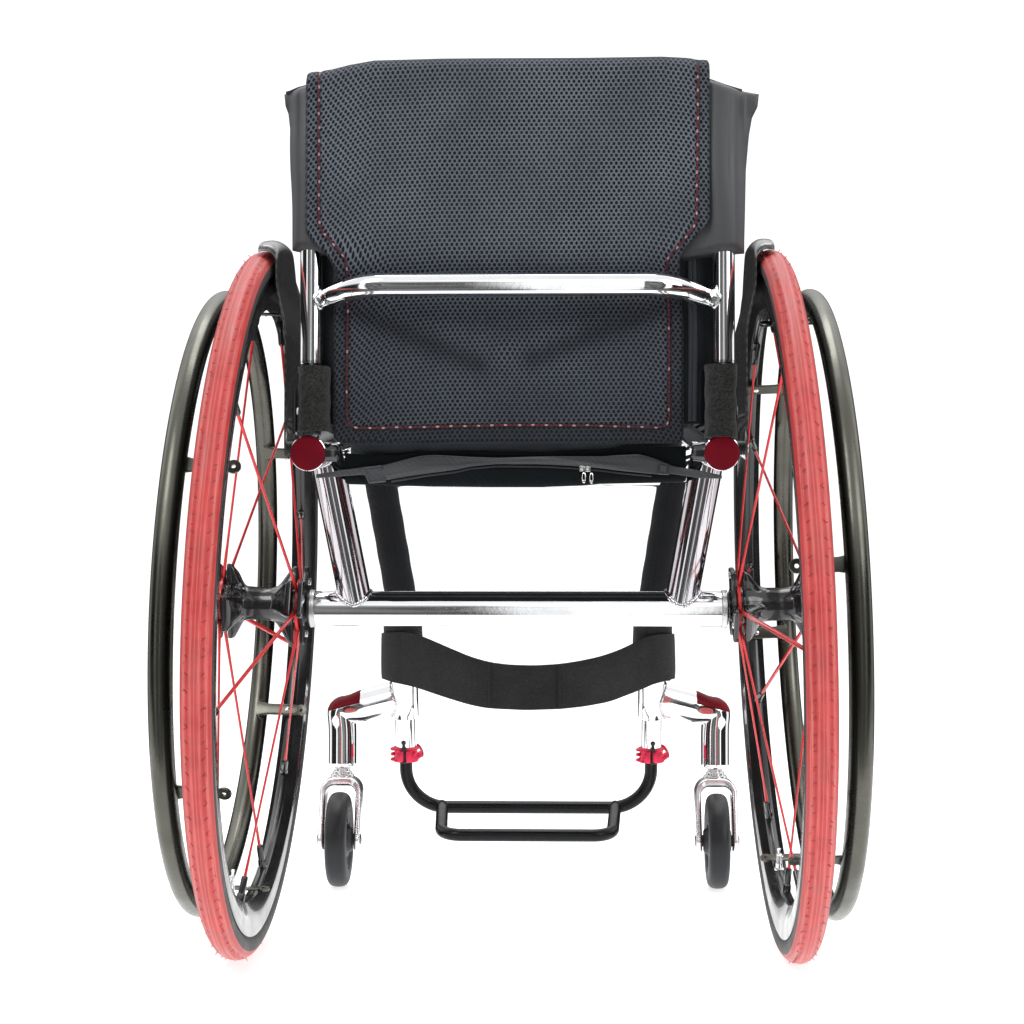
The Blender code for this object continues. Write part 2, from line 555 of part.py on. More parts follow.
pipe("camber_tube", [V(-CAMBER_TUBE_HALF, 0, CAMBER_TUBE_Z), V(CAMBER_TUBE_HALF, 0, CAMBER_TUBE_Z)], CAMBER_TUBE_R, CAMBER_TUBE_R - CAMBER_TUBE_WALL, 20, POLISHED, first=Vector((0, 1, 0)))

# cross tube under the front of the seat, between the two legs
cross_y, cross_z = 0.3426, 0.4320
cross = pipe("front_cross_tube", [V(-0.150, cross_y, cross_z), V(0.150, cross_y, cross_z)], 0.0095, 0.0078, 12, POLISHED, first=Vector((0, 1, 0)))
for word, s in SIDES:
    pts = fillet([V(s * SEAT_REAR[0], *SEAT_REAR[1:]), V(s * KNEE[0], *KNEE[1:]), V(s * SHIN[0], *SHIN[1:]), leg(s, LEG_END_Z)], [0.070, 0.120])
    cut(cross, rod(word + "_cross_cope", pts, TUBE_R + GAP, 20, CUT))

# ---------------------------------------------------------------- footrest
travel = empty("footrest_slide", leg(-1, REST_Z, 0.0))
home = travel.location.copy()
corner_y = SHIN[1] + RAKE * (SHIN[2] - REST_Z)
bow = fillet([leg(-1, 0.1760), V(-SHIN[0], corner_y, REST_Z), V(SHIN[0], corner_y, REST_Z), leg(1, 0.1760)], [0.044, 0.044], 18.0)
frame_bar = rod("footrest_frame", [p - home for p in bow], REST_R, 12, BLACK_PAINT, travel, first=Vector((1, 0, 0)))
u = fillet([V(-0.0940, corner_y - 0.0020, REST_Z), V(-0.0890, 0.3550, 0.0613), V(0.0890, 0.3550, 0.0613), V(0.0940, corner_y - 0.0020, REST_Z)], [0.022, 0.022], 22.0)
loop = rod("footrest_loop", [p - home for p in u], LOOP_R, 12, BLACK_PAINT, travel, first=Vector((1, 0, 0)))
cut(loop, rod("loop_cope", [p - home for p in bow], (REST_R + GAP) / math.cos(math.pi / 16), 16, CUT, travel, first=Vector((1, 0, 0))))

# ---------------------------------------------------------------- soft seat
seat_angle = math.atan2(KNEE[2] - SEAT_REAR[2], KNEE[1] - SEAT_REAR[1])
seat_at = empty("seat_place", V(0.0, -0.0980, seat_line(-0.0980)), (seat_angle, 0.0, 0.0))
block("seat_sling", (-0.1405, 0.0, -0.0290), (0.1405, 0.3720, -0.0255), BLACK_FABRIC, seat_at)
cushion = block("seat_cushion", (-0.1425, 0.0040, -0.0250), (0.1425, 0.3800, 0.0280), BLACK_FABRIC, seat_at, bevel=0.012, segments=2)

# calf strap: webbing that hangs between the legs and wraps round each of them
strap = None
pts = []
for k in range(13):
    t = -1 + 2 * k / 12
    pts.append(V(0.1163 * t, 0.3990 - 0.0400 * (1 - t * t), 0.2450 - 0.0300 * (1 - t * t)))
bm = bmesh.new()
band = [(0.0240, -0.0013), (0.0240, 0.0013), (-0.0240, 0.0013), (-0.0240, -0.0013)]
rings = [[bm.verts.new(q) for q in ring] for ring in swept(pts, band, Vector((0, -RAKE, 1)))]
skin(bm, rings)
strap = finish(bm, "calf_strap", WEBBING)
for word, s in SIDES:
    join(strap, rod(word + "_strap_loop", [leg(s, 0.2740), leg(s, 0.2215)], 0.0205, 16, CUT))
    cut(strap, bar_cutter(word + "_strap_bore", leg(s, 0.3100), leg(s, 0.1900), 0.0150, 16))

# ---------------------------------------------------------------- back rest, hung on the two hinge pins
fold = empty("back_fold_axis", V(0.0, POST_Y, HINGE_Z))
home = fold.location.copy()
for word, s in SIDES:
    x = s * POST_X
    stations = [(TONGUE_R * math.sin(math.radians(a)), -TONGUE_R * math.cos(math.radians(a))) for a in (20, 45, 70, 90)]
    stations += [(TONGUE_R, TONGUE_TOP - HINGE_Z), (POST_R, TONGUE_TOP - HINGE_Z + 0.0012)]
    at = empty(word + "_post_place", (x, 0.0, 0.0), (0, 0, 0), fold)
    post = spindle(word + "_back_post", stations + [(POST_R, POST_TOP - HINGE_Z)], 14, POLISHED, at)
    cut(post, rod(word + "_post_hole", [Vector((-0.02, 0, 0)), Vector((0.02, 0, 0))], 0.0035, 16, CUT, at, first=Vector((0, 1, 0))))

# push bar behind the back, bowed up and back between the posts
u = fillet([V(-POST_X, POST_Y, BAR_Z), V(-0.1320, BAR_MID_Y, BAR_MID_Z), V(0.1320, BAR_MID_Y, BAR_MID_Z), V(POST_X, POST_Y, BAR_Z)], [0.050, 0.050], 14.0)
bar = rod("rigidiser_bar", [p - home for p in u], POST_R, 12, POLISHED, fold, first=Vector((0, 0, 1)))
for word, s in SIDES:
    cut(bar, rod(word + "_bar_cope", [V(s * POST_X, POST_Y, 0.50) - home, V(s * POST_X, POST_Y, 0.62) - home], POST_R + GAP, 24, CUT, fold))


def B(y, z):
    """Back rest profile point, from the fold axis."""
    return (y - POST_Y, z - HINGE_Z)


# back sling: wings that sleeve over the posts, and a narrower panel between them
edge = [(0.1600, 0.7330), (0.1660, 0.7250), (0.1888, 0.7185), (0.1862, 0.6950), (0.1845, 0.5880), (0.1400, 0.5880)]
outline = [(x, z - HINGE_Z) for x, z in edge] + [(-x, z - HINGE_Z) for x, z in edge[::-1]]
sling = slab("back_upholstery", outline, "Y", -0.1275 - POST_Y, -0.1015 - POST_Y, GREY_FABRIC, fold)
m = sling.modifiers.new("rounded", "BEVEL")
m.width, m.segments = 0.005, 2
lower = block("back_lower_panel", (-0.1460, *B(-0.1120, 0.4520)), (0.1460, *B(-0.1080, 0.6000)), CUT, fold)
join(sling, lower)
for word, s in SIDES:
    cut(sling, rod(word + "_post_pocket", [Vector((s * POST_X, 0, 0.55 - HINGE_Z)), Vector((s * POST_X, 0, POST_TOP + 0.002 - HINGE_Z))], 0.0101, 16, CUT, fold))

# mesh cover laid over the top of the back, with a long flap behind and a panel in front
profile = [
    B(-0.1180, 0.4375), B(-0.1180, 0.5660), B(-0.1325, 0.5860), B(-0.1325, 0.7430), B(-0.1305, 0.7455),
    B(-0.0980, 0.7455), B(-0.0960, 0.7430), B(-0.0960, 0.5850), B(-0.1025, 0.5720), B(-0.1025, 0.4720),
    B(-0.1070, 0.4720), B(-0.1070, 0.5720), B(-0.1005, 0.5850), B(-0.1005, 0.7410), B(-0.1285, 0.7410),
    B(-0.1285, 0.5860), B(-0.1140, 0.5660), B(-0.1140, 0.4375)]
cover = slab("back_cover", profile, "X", -0.1800, 0.1700, MESH_FABRIC, fold)
xs = (-0.1696, -0.1475, 0.1355, 0.1580)
outline = [(xs[0], 0.76), (xs[0], 0.6180), (xs[1], 0.5900), (xs[1], 0.42), (xs[2], 0.42), (xs[2], 0.5950), (xs[3], 0.6180), (xs[3], 0.76)]
keep = slab("cover_outline", [(x, z - HINGE_Z) for x, z in outline], "Y", -0.05, 0.05, CUT, fold)
boolean(cover, guide(keep), "INTERSECT")
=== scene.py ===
"""Looks for the rigid wheelchair: fine surfaces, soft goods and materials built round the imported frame.

Metres, +Z up, +Y is the way the chair drives, +X is the sitter's right-hand side.
"""
import math

import bpy
import bmesh
import numpy as np
from mathutils import Matrix, Vector, noise


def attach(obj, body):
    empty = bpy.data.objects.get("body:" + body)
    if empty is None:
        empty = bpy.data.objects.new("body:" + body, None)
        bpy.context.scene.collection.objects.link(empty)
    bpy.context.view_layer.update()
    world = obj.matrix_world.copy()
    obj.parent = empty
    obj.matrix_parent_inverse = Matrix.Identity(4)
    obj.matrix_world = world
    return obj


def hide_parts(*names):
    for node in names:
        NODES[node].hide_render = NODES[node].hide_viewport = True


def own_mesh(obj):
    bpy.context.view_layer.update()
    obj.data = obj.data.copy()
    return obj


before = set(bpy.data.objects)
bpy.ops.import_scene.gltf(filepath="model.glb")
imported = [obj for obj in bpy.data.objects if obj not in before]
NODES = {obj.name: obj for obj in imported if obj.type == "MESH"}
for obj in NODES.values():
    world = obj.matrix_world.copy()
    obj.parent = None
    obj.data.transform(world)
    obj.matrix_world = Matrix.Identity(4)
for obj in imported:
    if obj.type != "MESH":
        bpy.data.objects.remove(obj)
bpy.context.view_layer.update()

# ------------------------------------------------------------------ sizes shared with the frame
AXLE_Y = -0.07867
CAMBER = math.radians(2.13)
TYRE_OUTER, TYRE_SECTION, TRACK_HALF = 0.3045, 0.0125, 0.2252
RIM_INNER = 0.2552
HANDRIM_R, HANDRIM_TUBE, HANDRIM_OUT = 0.2608, 0.0094, 0.0335
FIRST_SPOKE = {"left": 20.0, "right": 8.0}
TUBE_R = 0.0147
CAMBER_TUBE_R, CAMBER_TUBE_Z, CAMBER_TUBE_HALF = 0.0152, 0.3000, 0.1760
STRUT_R = 0.0142
SEAT_REAR, KNEE, SHIN = (0.1683, -0.1200, 0.4275), (0.1612, 0.3250, 0.4870), (0.1325, 0.3850, 0.3000)
RAKE, LEG_END_Z, STUB_END_Z, STUB_R = 0.3182, 0.1800, 0.1385, 0.0106
POST_X, POST_Y, POST_R, POST_TOP, TONGUE_R = 0.1700, -0.1150, 0.0095, 0.7140, 0.0077
HINGE_Z = 0.4620
BAR_Z, BAR_MID_Z, BAR_MID_Y = 0.5520, 0.5615, -0.1450
SWIVEL_X, SWIVEL_Y, CASTOR_Y, CASTOR_R, BARREL_R, CASTOR_WIDTH = 0.2010, 0.4350, 0.4070, 0.0500, 0.0150, 0.0260
REST_R, REST_Z, LOOP_R = 0.0068, 0.0795, 0.0065
GUARD_X, GUARD_ARC, GUARD_EDGE = 0.1907, 0.3126, 0.2135
WHEEL_Z = (TYRE_OUTER - TYRE_SECTION) * math.cos(CAMBER) + TYRE_SECTION
SIDES = (("left", -1.0), ("right", 1.0))
TAU = 2 * math.pi


def V(x, y, z):
    """A point given from the rear axle line, in the chair's own frame."""
    return Vector((x, y + AXLE_Y, z))


def leg(s, z, x=None):
    return V(s * SHIN[0] if x is None else x, SHIN[1] + RAKE * (SHIN[2] - z), z)


def seat_line(y):
    return SEAT_REAR[2] + (y - SEAT_REAR[1]) * (KNEE[2] - SEAT_REAR[2]) / (KNEE[1] - SEAT_REAR[1])


def seat_tube_x(y):
    return SEAT_REAR[0] + (y - SEAT_REAR[1]) * (KNEE[0] - SEAT_REAR[0]) / (KNEE[1] - SEAT_REAR[1])


def smooth(t, a=0.0, b=1.0):
    t = min(1.0, max(0.0, (t - a) / (b - a)))
    return t * t * (3 - 2 * t)


# ------------------------------------------------------------------ node materials
class Mat:
    """A Principled material and short ways to wire its nodes."""

    def __init__(self, name):
        self.m = bpy.data.materials.new(name)
        self.m.use_nodes = True
        self.t = self.m.node_tree
        self.b = self.t.nodes["Principled BSDF"]
        self._coord = None

    def node(self, kind, **props):
        n = self.t.nodes.new(kind)
        for k, v in props.items():
            setattr(n, k, v)
        return n

    def link(self, a, b):
        self.t.links.new(a, b)

    def feed(self, socket, value):
        if isinstance(value, bpy.types.NodeSocket):
            self.link(value, socket)
        elif isinstance(value, (tuple, list)) and len(value) == 3 and socket.type == "RGBA":
            socket.default_value = (*value, 1.0)
        else:
            socket.default_value = value

    def coord(self, which="Object"):
        if self._coord is None:
            self._coord = self.node("ShaderNodeTexCoord")
        return self._coord.outputs[which]

    def attr(self, name):
        return self.node("ShaderNodeAttribute", attribute_name=name).outputs["Vector"]

    def math(self, op, a, b=None, c=None, clamp=False):
        n = self.node("ShaderNodeMath", operation=op, use_clamp=clamp)
        for i, v in enumerate((a, b, c)):
            if v is not None:
                self.feed(n.inputs[i], v)
        return n.outputs[0]

    def vmath(self, op, a, b=None, scale=None):
        n = self.node("ShaderNodeVectorMath", operation=op)
        self.feed(n.inputs[0], a)
        if b is not None:
            self.feed(n.inputs[1], b)
        if scale is not None:
            n.inputs["Scale"].default_value = scale
        return n.outputs[0]

    def split(self, v):
        n = self.node("ShaderNodeSeparateXYZ")
        self.link(v, n.inputs[0])
        return n.outputs

    def join(self, x, y, z):
        n = self.node("ShaderNodeCombineXYZ")
        for i, v in enumerate((x, y, z)):
            self.feed(n.inputs[i], v)
        return n.outputs[0]

    def noise(self, vec, scale, detail=3.0, rough=0.55, out="Fac", **kw):
        n = self.node("ShaderNodeTexNoise")
        self.link(vec, n.inputs["Vector"])
        n.inputs["Scale"].default_value = scale
        n.inputs["Detail"].default_value = detail
        n.inputs["Roughness"].default_value = rough
        for k, v in kw.items():
            n.inputs[k].default_value = v
        return n.outputs[out]

    def span(self, v, a, b, lo=0.0, hi=1.0, kind="SMOOTHSTEP"):
        n = self.node("ShaderNodeMapRange", interpolation_type=kind)
        self.feed(n.inputs["Value"], v)
        for k, x in zip(("From Min", "From Max", "To Min", "To Max"), (a, b, lo, hi)):
            self.feed(n.inputs[k], x)
        return n.outputs["Result"]

    def mix(self, fac, a, b, blend="MIX"):
        n = self.node("ShaderNodeMix", data_type="RGBA", blend_type=blend)
        self.feed(n.inputs[0], fac)
        self.feed(n.inputs[6], a)
        self.feed(n.inputs[7], b)
        return n.outputs[2]

    def blendf(self, fac, a, b):
        n = self.node("ShaderNodeMix", data_type="FLOAT")
        self.feed(n.inputs[0], fac)
        self.feed(n.inputs[2], a)
        self.feed(n.inputs[3], b)
        return n.outputs[0]

    def scaled(self, vec, s):
        n = self.node("ShaderNodeMapping")
        self.link(vec, n.inputs["Vector"])
        n.inputs["Scale"].default_value = s
        return n.outputs[0]

    def bump(self, height, strength=0.3, distance=0.001, normal=None):
        n = self.node("ShaderNodeBump")
        self.link(height, n.inputs["Height"])
        n.inputs["Strength"].default_value = strength
        n.inputs["Distance"].default_value = distance
        if normal is not None:
            self.link(normal, n.inputs["Normal"])
        return n.outputs[0]

    def set(self, **kw):
        names = {"color": "Base Color", "rough": "Roughness", "metal": "Metallic", "normal": "Normal", "spec": "Specular IOR Level",
                 "coat": "Coat Weight", "coat_rough": "Coat Roughness", "sheen": "Sheen Weight", "sheen_rough": "Sheen Roughness", "sheen_tint": "Sheen Tint", "ior": "IOR"}
        for k, v in kw.items():
            self.feed(self.b.inputs[names[k]], v)
        return self.m


def lum(c, k):
    return tuple(min(1.0, x * k) for x in c)


def metal(name, color, rough, vary=0.05, scratch=0.25, bump=0.06, tint=None, coat=0.0):
    """Metal with hand-polished streaks, faint hairline scratches and slight clouding."""
    m = Mat(name)
    p = m.coord()
    cloud = m.noise(p, 22.0, 3.0)
    hair = m.noise(m.scaled(p, (1400.0, 60.0, 900.0)), 1.0, 2.0, 0.7)
    hair2 = m.noise(m.scaled(p, (70.0, 1500.0, 420.0)), 1.0, 2.0, 0.7)
    hairs = m.math("ADD", m.span(hair, 0.60, 0.80), m.span(hair2, 0.62, 0.82))
    r = m.math("ADD", m.span(cloud, 0.3, 0.75, rough - vary * 0.4, rough + vary), m.math("MULTIPLY", hairs, scratch * 0.18), clamp=True)
    c = m.mix(m.span(cloud, 0.35, 0.75, 0.0, 1.0), color, tint or lum(color, 0.90))
    c = m.mix(m.math("MULTIPLY", hairs, 0.10 * scratch), c, lum(color, 0.55))
    orange = m.noise(p, 260.0, 2.0)
    h = m.math("ADD", m.math("MULTIPLY", orange, 0.5), m.math("MULTIPLY", hairs, -0.5 * scratch))
    m.set(color=c, rough=r, metal=1.0, normal=m.bump(h, bump, 0.0004))
    if coat:
        m.set(coat=coat, coat_rough=0.08)
    return m.m


def gloss(name, color, rough, vary=0.06, metal_value=0.0, grain=420.0, bump=0.10, coat=0.0, dust=0.03, spec=0.5):
    """Painted, anodised or moulded surface with fine grain, light dust and worn shine."""
    m = Mat(name)
    p = m.coord()
    cloud = m.noise(p, 30.0, 4.0)
    fine = m.noise(p, grain, 3.0, 0.6)
    specks = m.span(m.noise(p, 900.0, 1.0), 0.72, 0.80)
    c = m.mix(m.span(cloud, 0.3, 0.75), lum(color, 0.85), lum(color, 1.18))
    c = m.mix(m.math("MULTIPLY", specks, dust), c, (0.55, 0.54, 0.52))
    r = m.math("ADD", m.span(cloud, 0.3, 0.75, rough - vary * 0.5, rough + vary), m.math("MULTIPLY", fine, 0.06), clamp=True)
    m.set(color=c, rough=r, metal=metal_value, spec=spec, normal=m.bump(fine, bump, 0.0003))
    if coat:
        m.set(coat=coat, coat_rough=0.05)
    return m.m


# the struts are the same polished aluminium as the frame, given a darker base colour: painted shade standing in for the
# dark reflections they show
STRUT_POLISH_PAINTED_SHADE = metal("strut_polish_painted_shade", (0.60, 0.59, 0.62), 0.065, 0.05, 0.35, 0.05)
POLISHED = metal("polished_aluminium_look", (0.91, 0.92, 0.935), 0.055, 0.05, 0.35, 0.05)
WELD = metal("weld_bead", (0.80, 0.80, 0.82), 0.16, 0.10, 0.3, 0.10, tint=(0.60, 0.59, 0.60))
BRUSHED = metal("brushed_aluminium_look", (0.74, 0.735, 0.745), 0.30, 0.10, 1.2, 0.22)
SATIN = metal("satin_aluminium", (0.88, 0.88, 0.885), 0.20, 0.08, 0.8, 0.12)
FORK_METAL = metal("fork_satin", (0.86, 0.85, 0.86), 0.24, 0.10, 1.2, 0.16, tint=(0.78, 0.76, 0.77))
STEEL = metal("bright_steel_look", (0.80, 0.80, 0.79), 0.14, 0.08, 0.5, 0.08)
GUNMETAL = metal("gunmetal_anodised", (0.120, 0.119, 0.102), 0.27, 0.08, 0.5, 0.10, tint=(0.100, 0.099, 0.084))
RED_CAP = gloss("wine_red_cap", (0.150, 0.0030, 0.011), 0.50, 0.08, 0.0, 900.0, 0.22, spec=0.08)
RED_ARM = gloss("red_anodised_cap", (0.150, 0.004, 0.010), 0.34, 0.08, 0.0, 500.0, 0.10, spec=0.10)
RED_CLAMP = gloss("bright_red_clamp", (0.78, 0.035, 0.095), 0.30, 0.08, 0.55, 500.0, 0.10)
RED_SPOKE = gloss("red_spoke_look", (0.74, 0.022, 0.026), 0.26, 0.05, 0.05, 300.0, 0.05, coat=0.35)
BLACK_GLOSS = gloss("black_gloss_anodised", (0.012, 0.012, 0.014), 0.10, 0.06, 0.0, 500.0, 0.05, coat=0.6)
BLACK_RIM = gloss("black_rim_look", (0.012, 0.012, 0.013), 0.16, 0.08, 0.0, 420.0, 0.06, coat=0.4)
BLACK_PAINT = gloss("black_powder_coat", (0.0048, 0.0055, 0.0066), 0.26, 0.08, 0.0, 700.0, 0.18, coat=0.05, spec=0.20)
BLACK_PLASTIC = gloss("black_moulding", (0.016, 0.016, 0.018), 0.42, 0.10, 0.0, 900.0, 0.30)
CASTOR_RUBBER = gloss("castor_rubber", (0.011, 0.0125, 0.015), 0.44, 0.12, 0.0, 260.0, 0.35, dust=0.10, spec=0.4)


def tyre_material():
    """Red slick tread with a raised moulding line and two rows of short slits, on dark sidewalls."""
    m = Mat("tyre_look")
    p = m.coord()
    x, y, s = m.split(p)
    angle = m.math("ARCTAN2", y, x)
    rho = m.math("SQRT", m.math("ADD", m.math("MULTIPLY", x, x), m.math("MULTIPLY", y, y)))
    lift = m.math("SUBTRACT", rho, TYRE_OUTER - TYRE_SECTION)
    turn = m.math("ARCTAN2", s, lift)                     # round the section, 0 at the tread
    away = m.math("ABSOLUTE", turn)
    cloud = m.noise(p, 55.0, 4.0)
    edge = m.math("ADD", away, m.math("MULTIPLY", m.noise(p, 420.0, 2.0), 0.05))
    side = m.span(edge, 1.20, 1.25)
    fine = m.noise(p, 900.0, 3.0, 0.65)
    red = m.mix(m.span(cloud, 0.3, 0.7), (0.47, 0.029, 0.029), (0.59, 0.052, 0.048))
    # scuffed, slightly paler band where it rolls
    band = m.math("MULTIPLY", m.span(away, 0.62, 0.15), m.span(m.noise(m.join(m.math("MULTIPLY", angle, 1.2), s, 0.3), 6.0, 4.0), 0.42, 0.66))
    red = m.mix(m.math("MULTIPLY", band, 0.40), red, (0.40, 0.075, 0.065))
    streak = m.span(m.noise(m.join(m.math("MULTIPLY", angle, 3.0), m.math("MULTIPLY", turn, 9.0), 0.0), 5.0, 5.0, 0.7), 0.50, 0.78)
    red = m.mix(m.math("MULTIPLY", streak, 0.16), red, (0.74, 0.24, 0.21))
    # pale bands and deeper red lines along the tread, at set places across its section, broken up by plain noise
    drift = m.math("MULTIPLY", m.math("SUBTRACT", m.noise(m.join(m.math("MULTIPLY", angle, 2.0), m.math("MULTIPLY", turn, 1.5), 3.0), 2.0, 3.0), 0.5), 0.22)
    bent = m.math("ADD", away, drift)
    worn = m.span(m.noise(m.join(m.math("MULTIPLY", angle, 2.2), m.math("MULTIPLY", turn, 5.0), 7.0), 3.0, 4.0, 0.7), 0.34, 0.60)
    for centre, reach, amount, tone_ in ((0.74, 0.17, 0.46, (0.80, 0.29, 0.26)), (0.26, 0.13, 0.40, (0.78, 0.26, 0.24)), (0.48, 0.07, 0.50, (0.36, 0.012, 0.014)), (1.02, 0.10, 0.45, (0.38, 0.014, 0.016))):
        k = m.span(m.math("ABSOLUTE", m.math("SUBTRACT", bent, centre)), reach, reach * 0.3)
        red = m.mix(m.math("MULTIPLY", m.math("MULTIPLY", k, worn), amount), red, tone_)
    seam = m.span(away, 0.050, 0.012)
    red = m.mix(m.math("MULTIPLY", seam, 0.32), red, (0.72, 0.27, 0.24))
    # slits: 13 mm apart, slanted, in two rows, painted dark red-brown as painted shade inside them
    run = m.math("MULTIPLY", angle, TYRE_OUTER / 0.01304)
    cell = m.math("MULTIPLY", m.math("SUBTRACT", m.math("FRACT", run), 0.5), 13.04)
    across = m.math("SUBTRACT", m.math("MULTIPLY", away, TYRE_SECTION * 1000.0), 6.6)
    u = m.math("ADD", m.math("MULTIPLY", cell, 0.60), m.math("MULTIPLY", across, 0.80))
    w = m.math("SUBTRACT", m.math("MULTIPLY", cell, 0.80), m.math("MULTIPLY", across, 0.60))
    slit = m.math("MULTIPLY", m.span(m.math("ABSOLUTE", u), 2.1, 1.5), m.span(m.math("ABSOLUTE", w), 0.55, 0.30))
    red = m.mix(m.math("MULTIPLY", slit, 0.60), red, (0.16, 0.020, 0.018))
    black = m.mix(cloud, (0.020, 0.020, 0.021), (0.055, 0.052, 0.050))
    ribs = m.math("SINE", m.math("MULTIPLY", turn, 95.0))
    c = m.mix(side, red, black)
    h = m.math("MULTIPLY", fine, 0.35)
    h = m.math("SUBTRACT", h, m.math("MULTIPLY", slit, 1.4))
    h = m.math("ADD", h, m.math("MULTIPLY", seam, 0.5))
    h = m.math("ADD", h, m.math("MULTIPLY", m.math("MULTIPLY", ribs, side), 0.25))
    rough = m.math("ADD", m.span(cloud, 0.3, 0.7, 0.40, 0.52), m.math("MULTIPLY", side, 0.10))
    return m.set(color=c, rough=rough, normal=m.bump(h, 0.55, 0.0005), spec=0.55)


def mesh_fabric(name, yarn, deep, pitch=4.03, row=3.22, hem_and_painted_shade=False):
    """Knitted spacer mesh: staggered tall holes in a springy face, from a 'pat' attribute in millimetres."""
    m = Mat(name)
    u, v, _ = m.split(m.attr("pat"))
    p = m.coord()
    wob = m.noise(p, 70.0, 2.0)
    u = m.math("ADD", u, m.math("MULTIPLY", m.math("SUBTRACT", wob, 0.5), 0.7))
    r = m.math("DIVIDE", v, row)
    rowi = m.math("FLOOR", r)
    shift = m.math("MULTIPLY", m.math("MODULO", m.math("ABSOLUTE", rowi), 2.0), 0.5)
    a = m.math("SUBTRACT", m.math("FRACT", m.math("ADD", m.math("DIVIDE", u, pitch), m.math("ADD", shift, 200.0))), 0.5)
    b = m.math("SUBTRACT", m.math("FRACT", m.math("ADD", r, 200.0)), 0.5)
    da = m.math("MULTIPLY", a, pitch / 1.28)
    db = m.math("MULTIPLY", b, row / 1.54)
    d = m.math("SQRT", m.math("ADD", m.math("MULTIPLY", da, da), m.math("MULTIPLY", db, db)))
    jitter = m.math("MULTIPLY", m.math("SUBTRACT", m.noise(p, 600.0, 2.0), 0.5), 0.5)
    d = m.math("ADD", d, jitter)
    hole = m.span(d, 1.10, 0.84)
    thread = m.math("SINE", m.math("ADD", m.math("MULTIPLY", v, 9.0), m.math("MULTIPLY", m.math("SINE", m.math("MULTIPLY", u, TAU / pitch)), 2.2)))
    fibre = m.noise(p, 2600.0, 2.0)
    cloud = m.noise(p, 14.0, 3.0)
    # yarn lighter on each thread's crest and darker between: painted highlight and shade along the knit
    c = m.mix(m.span(thread, -1.0, 1.0), lum(yarn, 0.50), lum(yarn, 1.75))
    c = m.mix(m.span(cloud, 0.30, 0.72), lum(yarn, 0.80), c)
    c = m.mix(m.math("MULTIPLY", fibre, 0.35), c, lum(yarn, 0.45))
    # holes take the near-black deep colour: painted shade down inside the mesh
    c = m.mix(hole, c, deep)
    # with this set, a per-point attribute darkens the cloth: darker hems and cut edges, plus painted shade along the
    # seam, under the push bar and in its folds
    if hem_and_painted_shade:
        dark, _, _ = m.split(m.attr("hem_and_painted_shade"))
        c = m.mix(dark, c, lum(deep, 1.3))
    ridge = m.span(d, 0.8, 2.0)
    h = m.math("ADD", ridge, m.math("MULTIPLY", thread, 0.07))
    h = m.math("ADD", h, m.math("MULTIPLY", fibre, 0.12))
    return m.set(color=c, rough=m.span(fibre, 0.2, 0.8, 0.72, 0.92), normal=m.bump(h, 0.85, 0.0007), sheen=0.10, sheen_rough=0.45, sheen_tint=(0.80, 0.86, 0.95), spec=0.25)


def woven(name, color, scale=1.0, rough=0.82, bump=0.5, sheen=0.12, diag=True, coarse=1.0, tint=(0.8, 0.84, 0.9), spec=0.3):
    """Plain or twill cloth with fibre speckle and slow tonal drift."""
    m = Mat(name)
    p = m.coord()
    x, y, z = m.split(p)
    k = 2600.0 * scale
    a = m.math("SINE", m.math("MULTIPLY", m.math("ADD", x, m.math("MULTIPLY", y, 0.7)), k))
    b = m.math("SINE", m.math("MULTIPLY", m.math("ADD", z, m.math("MULTIPLY", y, 0.7)), k))
    weave = m.math("MULTIPLY", a, b)
    if diag:
        t = m.math("SINE", m.math("MULTIPLY", m.math("ADD", x, m.math("ADD", z, m.math("MULTIPLY", y, 0.4))), k * 0.5))
        weave = m.math("ADD", m.math("MULTIPLY", weave, 0.6), m.math("MULTIPLY", t, 0.4))
    fibre = m.noise(p, 1900.0, 2.0, 0.6)
    cloud = m.noise(p, 18.0 * coarse, 4.0)
    crease = m.noise(m.scaled(p, (60.0, 60.0, 22.0)), 1.0, 3.0)
    c = m.mix(m.span(weave, -1.0, 1.0), lum(color, 0.70), lum(color, 1.30))
    c = m.mix(m.span(cloud, 0.32, 0.72), lum(color, 0.72), c)
    c = m.mix(m.math("MULTIPLY", m.span(fibre, 0.62, 0.80), 0.30), c, lum(color, 3.2))
    h = m.math("ADD", m.math("MULTIPLY", weave, 0.35), m.math("MULTIPLY", fibre, 0.30))
    h = m.math("ADD", h, m.math("MULTIPLY", crease, 0.8))
    return m.set(color=c, rough=m.span(cloud, 0.3, 0.7, rough - 0.06, rough + 0.06), normal=m.bump(h, bump, 0.0005), sheen=sheen, sheen_rough=0.5, sheen_tint=tint, spec=spec)


